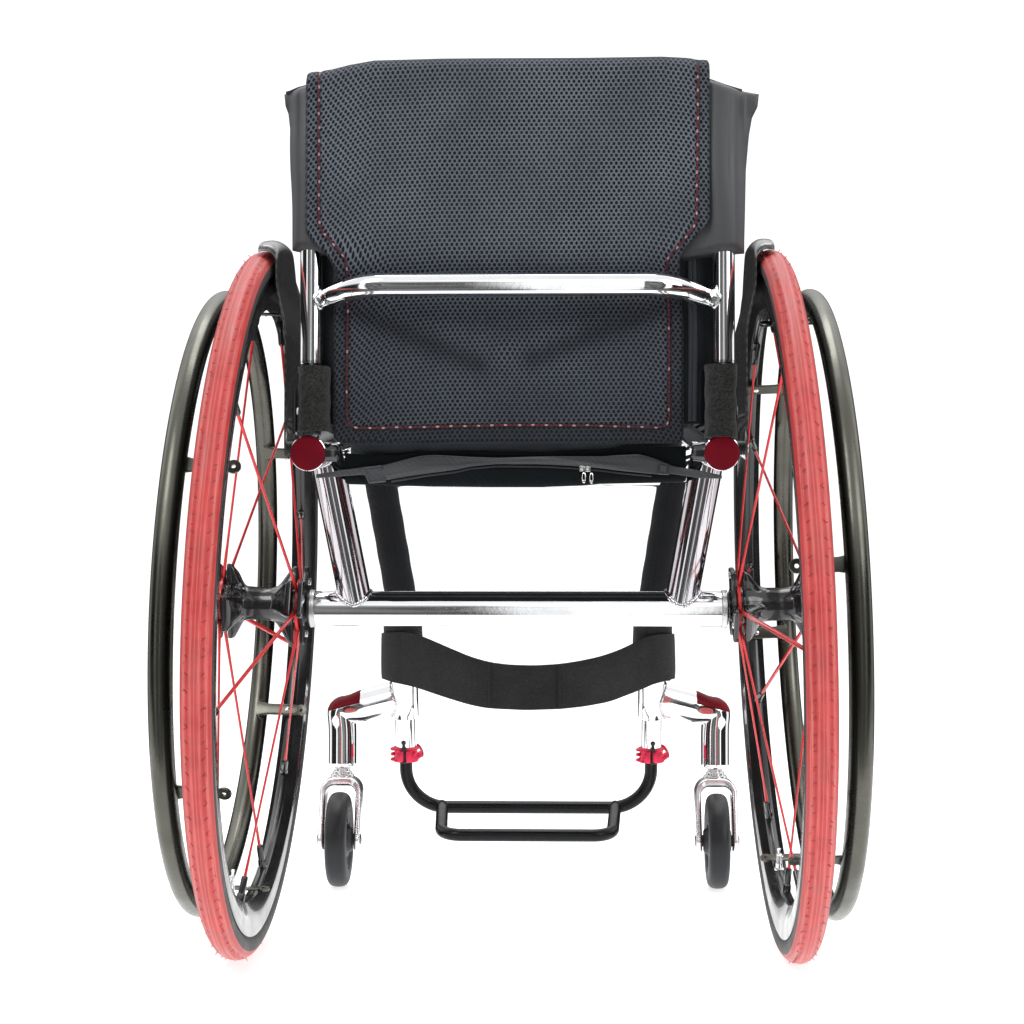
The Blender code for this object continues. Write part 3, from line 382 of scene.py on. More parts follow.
def webbing(name, color, direction="x", rough=0.85, rib=1.25, fluff=0.35):
    """Heavy ribbed webbing: ribs run along the band, with small bars across."""
    m = Mat(name)
    u, v, _ = m.split(m.attr("pat"))       # u along, v across, in millimetres
    p = m.coord()
    if direction == "z":
        u, v = v, u
    ribs = m.math("SINE", m.math("MULTIPLY", v, TAU / rib))
    bars = m.math("SINE", m.math("ADD", m.math("MULTIPLY", u, TAU / 0.9), m.math("MULTIPLY", m.math("SIGN", ribs), 1.57)))
    weave = m.math("ADD", m.math("MULTIPLY", ribs, 0.55), m.math("MULTIPLY", bars, 0.45))
    fibre = m.noise(p, 2200.0, 2.0)
    cloud = m.noise(p, 35.0, 3.0)
    c = m.mix(m.span(weave, -1.0, 1.0), lum(color, 0.55), lum(color, 1.45))
    c = m.mix(m.span(cloud, 0.3, 0.7), lum(color, 0.8), c)
    c = m.mix(m.math("MULTIPLY", m.span(fibre, 0.58, 0.72), fluff), c, lum(color, 3.5))
    c = m.mix(m.math("MULTIPLY", m.span(m.noise(p, 480.0, 4.0, 0.7), 0.60, 0.36), m.math("MINIMUM", fluff, 0.9)), c, lum(color, 0.22))
    h = m.math("ADD", m.math("MULTIPLY", weave, 0.5), m.math("MULTIPLY", fibre, 0.3))
    return m.set(color=c, rough=rough, normal=m.bump(h, 0.6, 0.0005), sheen=0.15, sheen_rough=0.4, spec=0.25)


def carbon_material():
    """Clear-coated two-by-two twill of carbon tows, from a 'pat' attribute in millimetres."""
    m = Mat("carbon_twill")
    u, v, _ = m.split(m.attr("pat"))
    p = m.coord()
    tow = 2.0
    i = m.math("FLOOR", m.math("DIVIDE", u, tow))
    j = m.math("FLOOR", m.math("DIVIDE", v, tow))
    fu = m.math("SUBTRACT", m.math("FRACT", m.math("ADD", m.math("DIVIDE", u, tow), 400.0)), 0.5)
    fv = m.math("SUBTRACT", m.math("FRACT", m.math("ADD", m.math("DIVIDE", v, tow), 400.0)), 0.5)
    ph = m.math("MODULO", m.math("ADD", m.math("ADD", i, j), 4000.0), 4.0)
    over = m.math("LESS_THAN", ph, 1.5)
    warp = m.math("SUBTRACT", 1.0, m.math("MULTIPLY", m.math("MULTIPLY", fu, fu), 3.2))
    weft = m.math("SUBTRACT", 1.0, m.math("MULTIPLY", m.math("MULTIPLY", fv, fv), 3.2))
    h = m.blendf(over, weft, warp)
    fil_u = m.noise(m.join(m.math("MULTIPLY", u, 5.0), m.math("MULTIPLY", v, 0.2), 0.0), 2.0, 2.0)
    fil_v = m.noise(m.join(m.math("MULTIPLY", u, 0.2), m.math("MULTIPLY", v, 5.0), 3.0), 2.0, 2.0)
    fil = m.blendf(over, fil_v, fil_u)
    c1 = m.mix(fil, (0.030, 0.030, 0.032), (0.115, 0.113, 0.110))
    c2 = m.mix(fil, (0.008, 0.008, 0.009), (0.035, 0.035, 0.036))
    c = m.mix(over, c2, c1)
    hh = m.math("ADD", m.math("MULTIPLY", h, 0.5), m.math("MULTIPLY", fil, 0.2))
    m.set(color=c, rough=m.span(fil, 0.2, 0.8, 0.28, 0.48), metal=0.25, normal=m.bump(hh, 0.5, 0.0004), coat=1.0, coat_rough=0.03)
    return m.m


TYRE = tyre_material()
CARBON = carbon_material()
COVER_MESH = mesh_fabric("spacer_mesh_look", (0.168, 0.190, 0.232), (0.0020, 0.0028, 0.0045), hem_and_painted_shade=True)
SEAT_MESH = mesh_fabric("seat_mesh_look", (0.040, 0.044, 0.052), (0.004, 0.004, 0.005), 3.2, 2.8)
WING_CLOTH = woven("coated_wing_cloth", (0.028, 0.030, 0.035), 1.0, 0.50, 0.16, 0.0, False, spec=0.85)
SEAT_CLOTH = woven("black_seat_cloth", (0.017, 0.020, 0.022), 1.0, 0.78, 0.40, 0.04, spec=0.12)
# border cloth, its colour raised to lift the shaded band at the rear of the seat: painted light
CUSHION_SIDE_PAINTED_LIGHT = woven("cushion_border_cloth", (0.052, 0.060, 0.068), 1.0, 0.70, 0.40, 0.08, spec=0.2)
HEM_CLOTH = woven("grey_hem_cloth", (0.052, 0.056, 0.062), 0.9, 0.55, 0.40, 0.08, spec=0.45)
POUCH_CLOTH = woven("black_pouch_cloth", (0.0065, 0.0090, 0.0105), 0.8, 0.80, 0.40, 0.03, spec=0.10)
NEOPRENE = woven("black_neoprene_look", (0.013, 0.0145, 0.0165), 0.7, 0.72, 0.45, 0.06, False, spec=0.16)
STRAP = webbing("calf_webbing", (0.034, 0.034, 0.034))
WRAP = webbing("elastic_wrap", (0.032, 0.031, 0.030), rib=0.9, fluff=1.0)
THREAD_RED = woven("red_thread", (0.15, 0.011, 0.024), 1.6, 0.6, 0.3, 0.1)
THREAD_PALE = woven("pale_red_thread", (0.58, 0.30, 0.32), 1.6, 0.6, 0.3, 0.1)
THREAD_BLACK = woven("black_thread", (0.022, 0.022, 0.024), 1.6, 0.6, 0.3, 0.2)
BINDING = woven("black_binding", (0.030, 0.034, 0.040), 1.2, 0.75, 0.40, 0.15)


# ------------------------------------------------------------------ shape building
def frames(points, first=Vector((1, 0, 0)), closed=False):
    tangents = []
    n = len(points)
    for i, p in enumerate(points):
        a = points[(i - 1) % n] if closed else points[max(i - 1, 0)]
        b = points[(i + 1) % n] if closed else points[min(i + 1, n - 1)]
        if closed or 0 < i < n - 1:
            t = (p - a).normalized() + (b - p).normalized()
        else:
            t = b - a
        tangents.append(t.normalized())
    first = Vector(first)
    if abs(first.normalized().dot(tangents[0])) > 0.95:
        first = Vector((0, 1, 0)) if abs(tangents[0].y) < 0.9 else Vector((0, 0, 1))
    u = first - tangents[0] * first.dot(tangents[0])
    u.normalize()
    out = []
    for t in tangents:
        u = u - t * u.dot(t)
        u.normalize()
        out.append((t, u, t.cross(u)))
    return out


def fillet(points, radii, turn=3.0):
    """A polyline with its inner corners rounded to the given radii."""
    out = [Vector(points[0])]
    for k in range(1, len(points) - 1):
        p, r = Vector(points[k]), radii[k - 1]
        a = (Vector(points[k - 1]) - p).normalized()
        b = (Vector(points[k + 1]) - p).normalized()
        between = a.angle(b)
        if r <= 0 or between > math.radians(179):
            out.append(p.copy())
            continue
        back = r / math.tan(between / 2)
        centre = p + (a + b).normalized() * (r / math.sin(between / 2))
        start, end = p + a * back - centre, p + b * back - centre
        bend = start.angle(end)
        axis = start.cross(end).normalized()
        n = max(2, math.ceil(math.degrees(bend) / turn))
        for i in range(n + 1):
            out.append(centre + Matrix.Rotation(bend * i / n, 3, axis) @ start)
    out.append(Vector(points[-1]))
    return out


def dense(points, step):
    out = []
    for a, b in zip(points, points[1:]):
        n = max(1, math.ceil((b - a).length / step))
        out += [a.lerp(b, k / n) for k in range(n)]
    return out + [points[-1].copy()]


def spline(points, per=8):
    """A smooth curve through the points (Catmull-Rom)."""
    P = [Vector(p) for p in points]
    P = [P[0] * 2 - P[1]] + P + [P[-1] * 2 - P[-2]]
    out = []
    for k in range(1, len(P) - 2):
        a, b, c, d = P[k - 1:k + 3]
        for i in range(per):
            t = i / per
            out.append(0.5 * ((2 * b) + (c - a) * t + (2 * a - 5 * b + 4 * c - d) * t * t + (3 * b - a - 3 * c + d) * t ** 3))
    return out + [P[-2].copy()]


class Shape:
    """Gathers skins of rings into one mesh, with material numbers and an optional pattern coordinate."""

    def __init__(self):
        self.v, self.f, self.mi, self.pat = [], [], [], []
        self.has_pat = False

    def rings(self, rings, mat=0, closed=False, cap0=True, cap1=True, loop=True, pats=None):
        base, n, count = len(self.v), len(rings[0]), len(rings)
        for r in rings:
            self.v += [tuple(p) for p in r]
        if pats is None:
            self.pat += [(0.0, 0.0)] * (n * count)
        else:
            self.has_pat = True
            for r in pats:
                self.pat += list(r)
        for k in range(count if closed else count - 1):
            a, b = base + k * n, base + ((k + 1) % count) * n
            for i in range(n if loop else n - 1):
                j = (i + 1) % n
                self.f.append((a + i, a + j, b + j, b + i))
                self.mi.append(mat)
        if not closed and loop:
            if cap0:
                self.f.append(tuple(range(base, base + n))[::-1])
                self.mi.append(mat)
            if cap1:
                self.f.append(tuple(range(base + (count - 1) * n, base + count * n)))
                self.mi.append(mat)
        return self

    def tube(self, points, r, sides=32, mat=0, first=Vector((1, 0, 0)), cap0=True, cap1=True, squash=(1.0, 1.0), closed=False, pat=False, turn=0.0):
        pts = [Vector(p) for p in points]
        rs = r if isinstance(r, (list, tuple)) else [r] * len(pts)
        rings, pats, run = [], [], 0.0
        for k, (p, (t, u, v), q) in enumerate(zip(pts, frames(pts, first, closed), rs)):
            if k:
                run += (p - pts[k - 1]).length
            rings.append([p + u * (q * squash[0] * math.cos(TAU * i / sides + turn)) + v * (q * squash[1] * math.sin(TAU * i / sides + turn)) for i in range(sides)])
            pats.append([(run * 1000, q * 1000 * TAU * i / sides) for i in range(sides)])
        return self.rings(rings, mat, closed, cap0, cap1, pats=pats if pat else None)

    def lathe(self, profile, steps=96, mat=0, matrix=None, closed=True, cap0=False, cap1=False, wave=None):
        """(radius, height) profile about local Z. A closed profile makes a ring."""
        M = matrix or Matrix.Identity(4)
        rings = []
        for i in range(steps):
            a = TAU * i / steps
            k = wave(a) if wave else 0.0
            rings.append([M @ Vector(((r + k) * math.cos(a), (r + k) * math.sin(a), s)) for r, s in profile])
        base, n = len(self.v), len(profile)
        for r in rings:
            self.v += [tuple(p) for p in r]
        self.pat += [(0.0, 0.0)] * (n * steps)
        for k in range(steps):
            a, b = base + k * n, base + ((k + 1) % steps) * n
            for i in range(n if closed else n - 1):
                j = (i + 1) % n
                self.f.append((a + i, a + j, b + j, b + i))
                self.mi.append(mat)
        return self

    def turned(self, stations, steps=48, mat=0, matrix=None, round_ends=True):
        """A solid turned piece from (radius, height) stations."""
        M = matrix or Matrix.Identity(4)
        rings = [[M @ Vector((r * math.cos(TAU * i / steps), r * math.sin(TAU * i / steps), s)) for i in range(steps)] for r, s in stations]
        return self.rings(rings, mat)

    def mesh(self, bm, mat=0, matrix=None):
        M = matrix or Matrix.Identity(4)
        base = len(self.v)
        bm.verts.ensure_lookup_table()
        for k, v in enumerate(bm.verts):
            v.index = k
            self.v.append(tuple(M @ v.co))
            self.pat.append((0.0, 0.0))
        for f in bm.faces:
            self.f.append(tuple(base + v.index for v in f.verts))
            self.mi.append(mat)
        bm.free()
        return self

    def block(self, low, high, bevel=0.001, segments=2, mat=0, matrix=None):
        bm = bmesh.new()
        bmesh.ops.create_cube(bm, size=1.0)
        for v in bm.verts:
            v.co = Vector([low[i] + (v.co[i] + 0.5) * (high[i] - low[i]) for i in range(3)])
        if bevel:
            bmesh.ops.bevel(bm, geom=bm.edges[:] + bm.verts[:], offset=bevel, segments=segments, profile=0.5, affect="EDGES")
        return self.mesh(bm, mat, matrix)

    def plate(self, outline, axis, low, high, bevel=0.0008, segments=2, mat=0, matrix=None, holes=()):
        """An outline extruded along an axis, with rounded edges."""
        order = {"X": lambda a, b, c: (c, a, b), "Y": lambda a, b, c: (a, c, b), "Z": lambda a, b, c: (a, b, c)}[axis]
        bm = bmesh.new()
        bottom = [bm.verts.new(order(a, b, low)) for a, b in outline]
        face = bm.faces.new(bottom)
        grown = bmesh.ops.extrude_face_region(bm, geom=[face])
        top = [g for g in grown["geom"] if isinstance(g, bmesh.types.BMVert)]
        bmesh.ops.translate(bm, verts=top, vec=order(0, 0, high - low))
        bmesh.ops.recalc_face_normals(bm, faces=bm.faces[:])
        if bevel:
            rim = [e for e in bm.edges if len(e.link_faces) == 2 and any(len(f.verts) > 4 for f in e.link_faces)]
            bmesh.ops.bevel(bm, geom=rim, offset=bevel, segments=segments, profile=0.5, affect="EDGES")
        return self.mesh(bm, mat, matrix)

    def ball(self, centre, r, steps=16, mat=0, stretch=(1, 1, 1), matrix=None):
        bm = bmesh.new()
        bmesh.ops.create_uvsphere(bm, u_segments=steps, v_segments=max(6, steps // 2), radius=1.0)
        for v in bm.verts:
            v.co = Vector(centre) + Vector((v.co.x * r * stretch[0], v.co.y * r * stretch[1], v.co.z * r * stretch[2]))
        return self.mesh(bm, mat, matrix)

    def done(self, name, mats, body, nodes=(), slot=None, matrix=None, sharp=38.0, normals=True, ride=True):
        me = bpy.data.meshes.new(name)
        me.from_pydata(self.v, [], self.f)
        for m in mats:
            me.materials.append(m)
        me.polygons.foreach_set("material_index", np.array(self.mi, np.int32))
        if self.has_pat:
            at = me.attributes.new("pat", "FLOAT_VECTOR", "POINT")
            flat = np.zeros((len(self.v), 3), np.float32)
            flat[:, :2] = np.array(self.pat, np.float32)
            at.data.foreach_set("vector", flat.ravel())
        me.validate()
        if normals:
            bm = bmesh.new()
            bm.from_mesh(me)
            bmesh.ops.recalc_face_normals(bm, faces=bm.faces[:])
            bm.to_mesh(me)
            bm.free()
        me.shade_smooth()
        me.set_sharp_from_angle(angle=math.radians(sharp))
        me.update()
        ob = bpy.data.objects.new(name, me)
        bpy.context.scene.collection.objects.link(ob)
        if matrix is not None:
            ob.matrix_world = matrix
        if ride:
            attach(ob, body)
        if nodes:
            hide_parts(*nodes)
        return ob


def weld(shape, centre, axis, r, other_axis_point, other_dir, other_r, bead=0.0019, mat=0, steps=120, lumps=34, keep=None):
    """A bead of overlapping puddles where a tube (centre, axis, r) meets the side of another tube."""
    t = Vector(axis).normalized()
    ref = Vector((0, 0, 1)) if abs(t.z) < 0.9 else Vector((0, 1, 0))
    u = (ref - t * ref.dot(t)).normalized()
    v = t.cross(u)
    d = Vector(other_dir).normalized()
    o = Vector(other_axis_point)
    pts = []
    for i in range(steps):
        a = TAU * i / steps
        p = Vector(centre) + u * (r * math.cos(a)) + v * (r * math.sin(a))
        # walk along the tube until the other tube's skin
        w0 = p - o
        A = t - d * t.dot(d)
        B = w0 - d * w0.dot(d)
        qa, qb, qc = A.dot(A), 2 * A.dot(B), B.dot(B) - other_r ** 2
        disc = qb * qb - 4 * qa * qc
        if disc < 0:
            disc = 0.0
        k = (-qb + math.sqrt(disc)) / (2 * qa) if keep is None or keep > 0 else (-qb - math.sqrt(disc)) / (2 * qa)
        pts.append(p + t * k)
    rs = [bead * (0.86 + 0.20 * abs(math.sin(lumps * math.pi * i / steps))) for i in range(steps)]
    shape.tube(pts, rs, 10, mat, closed=True)
    return shape


# ------------------------------------------------------------------ camera, floor and light
C = Vector((0.04573918, -1.85056933, 0.318))
r_ = Vector((0.99958563, 0.02876472, 0.00107685))
u_ = Vector((-4.56e-06, -0.03725217, 0.99930590))
r_.normalize()
u_ = (u_ - r_ * u_.dot(r_)).normalized()
b_ = r_.cross(u_)
cam = bpy.data.cameras.new("camera")
cam.sensor_width = 36.0
cam.lens = 2037.526 / 1024 * 36
cam.clip_start, cam.clip_end = 0.05, 60.0
camera = bpy.data.objects.new("camera", cam)
bpy.context.scene.collection.objects.link(camera)
camera.matrix_world = Matrix(((r_.x, u_.x, b_.x, C.x), (r_.y, u_.y, b_.y, C.y), (r_.z, u_.z, b_.z, C.z), (0, 0, 0, 1)))
bpy.context.scene.camera = camera
bpy.context.scene.view_settings.view_transform = "Standard"
bpy.context.scene.view_settings.look = "None"


def studio():
    """A white sweep lit from above, with a darker room behind the viewer and two tall soft boxes."""
    w = bpy.data.worlds.new("studio")
    bpy.context.scene.world = w
    w.use_nodes = True
    t = w.node_tree
    bg = t.nodes["Background"]
    out = t.nodes["World Output"]

    def n(kind, **k):
        x = t.nodes.new(kind)
        for a, b in k.items():
            setattr(x, a, b)
        return x

    def ma(op, a, b=None, clamp=False):
        x = n("ShaderNodeMath", operation=op, use_clamp=clamp)
        for i, v in enumerate((a, b)):
            if v is None:
                continue
            if isinstance(v, bpy.types.NodeSocket):
                t.links.new(v, x.inputs[i])
            else:
                x.inputs[i].default_value = v
        return x.outputs[0]

    def ss(v, a, b, lo=0.0, hi=1.0):
        x = n("ShaderNodeMapRange", interpolation_type="SMOOTHSTEP")
        t.links.new(v, x.inputs["Value"])
        for k, y in zip(("From Min", "From Max", "To Min", "To Max"), (a, b, lo, hi)):
            x.inputs[k].default_value = y
        return x.outputs["Result"]

    co = n("ShaderNodeTexCoord")
    sep = n("ShaderNodeSeparateXYZ")
    t.links.new(co.outputs["Generated"], sep.inputs[0])
    x, y, z = sep.outputs
    azim = ma("ARCTAN2", x, ma("MULTIPLY", y, -1.0))     # 0 straight behind the viewer, + to the right
    height = ma("ARCSINE", z)
    low = ss(height, 0.75, 0.50)                         # the band that upright lights reach

    def strip(a, b, soft, power):
        k = ma("MULTIPLY", ss(azim, a - soft, a + soft), ss(azim, b + soft, b - soft))
        return ma("MULTIPLY", ma("MULTIPLY", k, low), power)

    # what lights cloth, rubber and paint: a soft room with a bright sweep high behind the chair
    soft = ma("ADD", ma("MULTIPLY", ss(y, 0.35, -0.15), 0.030), ma("MULTIPLY", ss(height, 0.50, 1.20), 0.34))
    soft = ma("ADD", soft, ma("MULTIPLY", ma("MULTIPLY", ss(y, 0.0, 0.20), ss(height, 0.62, 0.86)), 1.6))
    for one in (strip(-2.05, -1.62, 0.05, 1.3), strip(1.15, 1.75, 0.05, 1.3)):
        soft = ma("ADD", soft, one)
    # what polished parts mirror: a pale ceiling over a dark band at eye height, cut by upright lights
    total = ma("ADD", 0.022, ma("MULTIPLY", ss(height, 0.20, 0.46), 0.96))
    total = ma("ADD", total, ma("MULTIPLY", ma("MULTIPLY", ss(y, 0.0, 0.20), ss(height, 0.55, 0.86)), 0.9))
    mottle = n("ShaderNodeTexNoise")
    mottle.inputs["Scale"].default_value = 9.0
    mottle.inputs["Detail"].default_value = 3.0
    t.links.new(co.outputs["Generated"], mottle.inputs["Vector"])
    grey = ma("MULTIPLY", strip(-0.58, 0.58, 0.10, 0.27), ss(mottle.outputs[0], 0.25, 0.75))
    total = ma("ADD", total, grey)
    for one in (strip(-0.80, -0.64, 0.035, 1.5), strip(0.64, 0.80, 0.035, 1.5), strip(-0.035, 0.075, 0.020, 1.1), strip(-2.20, -1.66, 0.05, 1.05), strip(1.66, 2.20, 0.05, 1.05)):
        total = ma("ADD", total, one)
    lp = n("ShaderNodeLightPath")
    sort = n("ShaderNodeMix", data_type="FLOAT")
    t.links.new(lp.outputs["Is Glossy Ray"], sort.inputs[0])
    t.links.new(soft, sort.inputs[2])
    t.links.new(total, sort.inputs[3])
    mix = n("ShaderNodeMix", data_type="FLOAT")
    t.links.new(lp.outputs["Is Camera Ray"], mix.inputs[0])
    t.links.new(sort.outputs[0], mix.inputs[2])
    mix.inputs[3].default_value = 1.15
    t.links.new(mix.outputs[0], bg.inputs["Strength"])
    bg.inputs["Color"].default_value = (1.0, 1.0, 1.0, 1.0)


studio()


def area(name, at, to, size, power, color=(1, 1, 1), size_y=None):
    d = bpy.data.lights.new(name, "AREA")
    d.shape = "RECTANGLE"
    d.size, d.size_y, d.energy, d.color = size, size_y or size, power, color
    o = bpy.data.objects.new(name, d)
    o.location = at
    o.rotation_euler = (Vector(to) - Vector(at)).to_track_quat("-Z", "Y").to_euler()
    bpy.context.scene.collection.objects.link(o)
    return o


area("key_light", (-1.3, -2.2, 2.3), (0, 0, 0.45), 1.3, 30.0)
area("fill_light", (1.9, -1.7, 1.5), (0, 0, 0.4), 1.4, 17.0)
area("top_light", (0.0, 0.5, 3.2), (0, 0, 0.3), 1.6, 32.0)

floor = Shape()
floor.rings([[Vector((-9, y, 0)), Vector((9, y, 0))] for y in (-6, 14)], loop=False)
fm = Mat("floor_white")
fm.set(color=fm.mix(fm.noise(fm.coord(), 3.0, 2.0), (0.86, 0.86, 0.86), (0.90, 0.90, 0.90)), rough=0.75, spec=0.2)
fm.m.node_tree.nodes["Principled BSDF"].inputs["Emission Color"].default_value = (1, 1, 1, 1)
fm.m.node_tree.nodes["Principled BSDF"].inputs["Emission Strength"].default_value = 0.72
floor_ob = floor.done("floor", [fm.m], None, ride=False, normals=False)
floor_ob.location.z = -0.0006
floor_ob.visible_glossy = False
# polished parts see the pale ground only near the chair
card = Shape()
card.rings([[Vector((-0.95, y, -0.0008)), Vector((0.95, y, -0.0008))] for y in (-0.42, 1.15)], loop=False)
card_ob = card.done("ground_card", [fm.m], None, ride=False, normals=False)
card_ob.visible_camera = card_ob.visible_diffuse = card_ob.visible_shadow = False


# ------------------------------------------------------------------ CAD nodes keep their shape here and get real finishes
FINISH = {"frame_tube": POLISHED, "tube_cap": RED_CAP, "strut": POLISHED, "castor_arm": POLISHED, "castor_barrel": POLISHED, "arm_cap": RED_ARM,
          "side_guard": CARBON, "hinge_bracket": BLACK_GLOSS, "hinge_pin": STEEL, "leg_sleeve": NEOPRENE, "footrest_clamp": RED_CLAMP, "axle_receiver": BRUSHED,
          "tyre": TYRE, "rim": BLACK_RIM, "handrim": GUNMETAL, "hub": BLACK_GLOSS, "spokes_inner": RED_SPOKE, "spokes_outer": RED_SPOKE, "axle_pin": STEEL,
          "release_button": STEEL, "fork": BRUSHED, "castor_tyre": CASTOR_RUBBER, "castor_hub": BLACK_PLASTIC, "castor_axle": BLACK_GLOSS,
          "camber_tube": POLISHED, "front_cross_tube": POLISHED, "rigidiser_bar": POLISHED, "back_post": POLISHED, "footrest_frame": BLACK_PAINT,
          "footrest_loop": BLACK_PAINT, "seat_sling": SEAT_CLOTH, "seat_cushion": SEAT_CLOTH, "calf_strap": STRAP, "back_upholstery": WING_CLOTH, "back_cover": COVER_MESH}
for name, ob in NODES.items():
    kind = name.split("_", 1)[1] if name.startswith(("left_", "right_")) else name
    ob.data.materials.clear()
    ob.data.materials.append(FINISH[kind])


# ------------------------------------------------------------------ rear wheels
def wheel_place(s):
    return Matrix.Translation(V(s * TRACK_HALF, 0.0, WHEEL_Z)) @ Matrix.Rotation(s * (math.pi / 2 - CAMBER), 4, "Y")


def around(s, elevation):
    """Local angle of a direction given in degrees up from straight ahead."""
    a = math.radians(elevation)
    return math.atan2(math.cos(a), -s * math.sin(a))


def polar(r, a, h=0.0):
    return Vector((r * math.cos(a), r * math.sin(a), h))


def grid_object(name, X, Y, Z, mats, body, wrap_u=False, wrap_v=False, mat_index=None, pat=None, nodes=(), matrix=None, sharp=40.0, ride=True):
    """A mesh from arrays of points laid out in rows and columns."""
    nu, nv = X.shape
    co = np.stack([X, Y, Z], -1).reshape(-1, 3).astype(np.float32)
    iu = np.arange(nu if wrap_u else nu - 1)
    iv = np.arange(nv if wrap_v else nv - 1)
    a, b = np.meshgrid(iu, iv, indexing="ij")
    a2, b2 = (a + 1) % nu, (b + 1) % nv
    quads = np.stack([a * nv + b, a * nv + b2, a2 * nv + b2, a2 * nv + b], -1).reshape(-1, 4)
    me = bpy.data.meshes.new(name)
    me.vertices.add(len(co))
    me.vertices.foreach_set("co", co.ravel())
    me.loops.add(quads.size)
    me.loops.foreach_set("vertex_index", quads.ravel().astype(np.int32))
    me.polygons.add(len(quads))
    me.polygons.foreach_set("loop_start", (np.arange(len(quads)) * 4).astype(np.int32))
    me.update(calc_edges=True)
    for m in mats:
        me.materials.append(m)
    if mat_index is not None:
        me.polygons.foreach_set("material_index", mat_index.reshape(-1).astype(np.int32))
    if pat is not None:
        at = me.attributes.new("pat", "FLOAT_VECTOR", "POINT")
        at.data.foreach_set("vector", np.stack([pat[0], pat[1], np.zeros_like(pat[0])], -1).reshape(-1).astype(np.float32))
    me.validate()
    bm = bmesh.new()
    bm.from_mesh(me)
    bmesh.ops.recalc_face_normals(bm, faces=bm.faces[:])
    bm.to_mesh(me)
    bm.free()
    me.shade_smooth()
    me.set_sharp_from_angle(angle=math.radians(sharp))
    ob = bpy.data.objects.new(name, me)
    bpy.context.scene.collection.objects.link(ob)
    if matrix is not None:
        ob.matrix_world = matrix
    if ride:
        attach(ob, body)
    if nodes:
        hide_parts(*nodes)
    return ob


def np_step(x, a, b):
    t = np.clip((x - a) / (b - a), 0, 1)
    return t * t * (3 - 2 * t)


def tyre(word, s, M):
    mid = TYRE_OUTER - TYRE_SECTION
    tiles = 147
    columns = 14
    turn = np.concatenate([np.radians(np.linspace(-140, -58, 12)), np.radians(np.linspace(-52, -6, 22)), np.radians([-2.4, 0, 2.4]), np.radians(np.linspace(6, 52, 22)), np.radians(np.linspace(58, 140, 12))])
    n = tiles * columns
    phi = np.arange(n) * TAU / n
    P, T = np.meshgrid(phi, turn, indexing="ij")
    cell = ((P * tiles / TAU) % 1.0 - 0.5) * 13.04
    across = np.abs(T) * TYRE_SECTION * 1000 - 6.6
    u, w = cell * 0.60 + across * 0.80, cell * 0.80 - across * 0.60
    slit = (1 - np_step(np.abs(u), 1.5, 2.1)) * (1 - np_step(np.abs(w), 0.25, 0.62))
    seam = 1 - np_step(np.abs(T), 0.02, 0.06)
    r = TYRE_SECTION - 0.00055 * slit + 0.00022 * seam
    # moulded line where the sidewall starts, and a rim-protector bead further in
    r = r + 0.00035 * np.exp(-((np.abs(T) - 1.22) / 0.05) ** 2) - 0.0003 * np_step(np.abs(T), 1.30, 1.5)
    rho, h = mid + r * np.cos(T), r * np.sin(T)
    # down inside the rim
    for k, (a, b) in enumerate(((0.2810, 0.0086), (0.2790, 0.0070))):
        rho = np.concatenate([np.full((n, 1), a), rho, np.full((n, 1), a)], 1)
        h = np.concatenate([np.full((n, 1), -b), h, np.full((n, 1), b)], 1)
    P = np.repeat(phi[:, None], rho.shape[1], 1)
    ob = grid_object(word + "_rear_tyre", rho * np.cos(P), rho * np.sin(P), h, [TYRE], word + "_wheel", True, True, nodes=[word + "_tyre"], matrix=M, sharp=60)
    # moulding whiskers left on the tread
    hairs = Shape()
    low = around(s, -90)
    for k in range(150):
        a = TAU * (k + 0.37) / 150 + 0.012 * math.sin(k * 7.3)
        if abs(math.remainder(a - low, TAU)) < 0.10:
            continue
        side = (-1, 1)[k % 2]
        t = side * math.radians(36 + 6 * math.sin(k * 3.7))
        base = polar(mid + (TYRE_SECTION - 0.0003) * math.cos(t), a, (TYRE_SECTION - 0.0003) * math.sin(t))
        out = polar(math.cos(t), a, math.sin(t)).normalized()
        long = 0.0018 + 0.0017 * (0.5 + 0.5 * math.sin(k * 5.1))
        lean = polar(1, a + math.pi / 2) * (0.35 * math.sin(k * 2.9))
        pts = [base, base + (out + lean * 0.3) * long * 0.55, base + (out + lean) * long]
        hairs.tube(pts, [0.00042, 0.00034, 0.00018], 5)
    hairs.done(word + "_tyre_whiskers", [TYRE], word + "_wheel", matrix=M)
    return ob


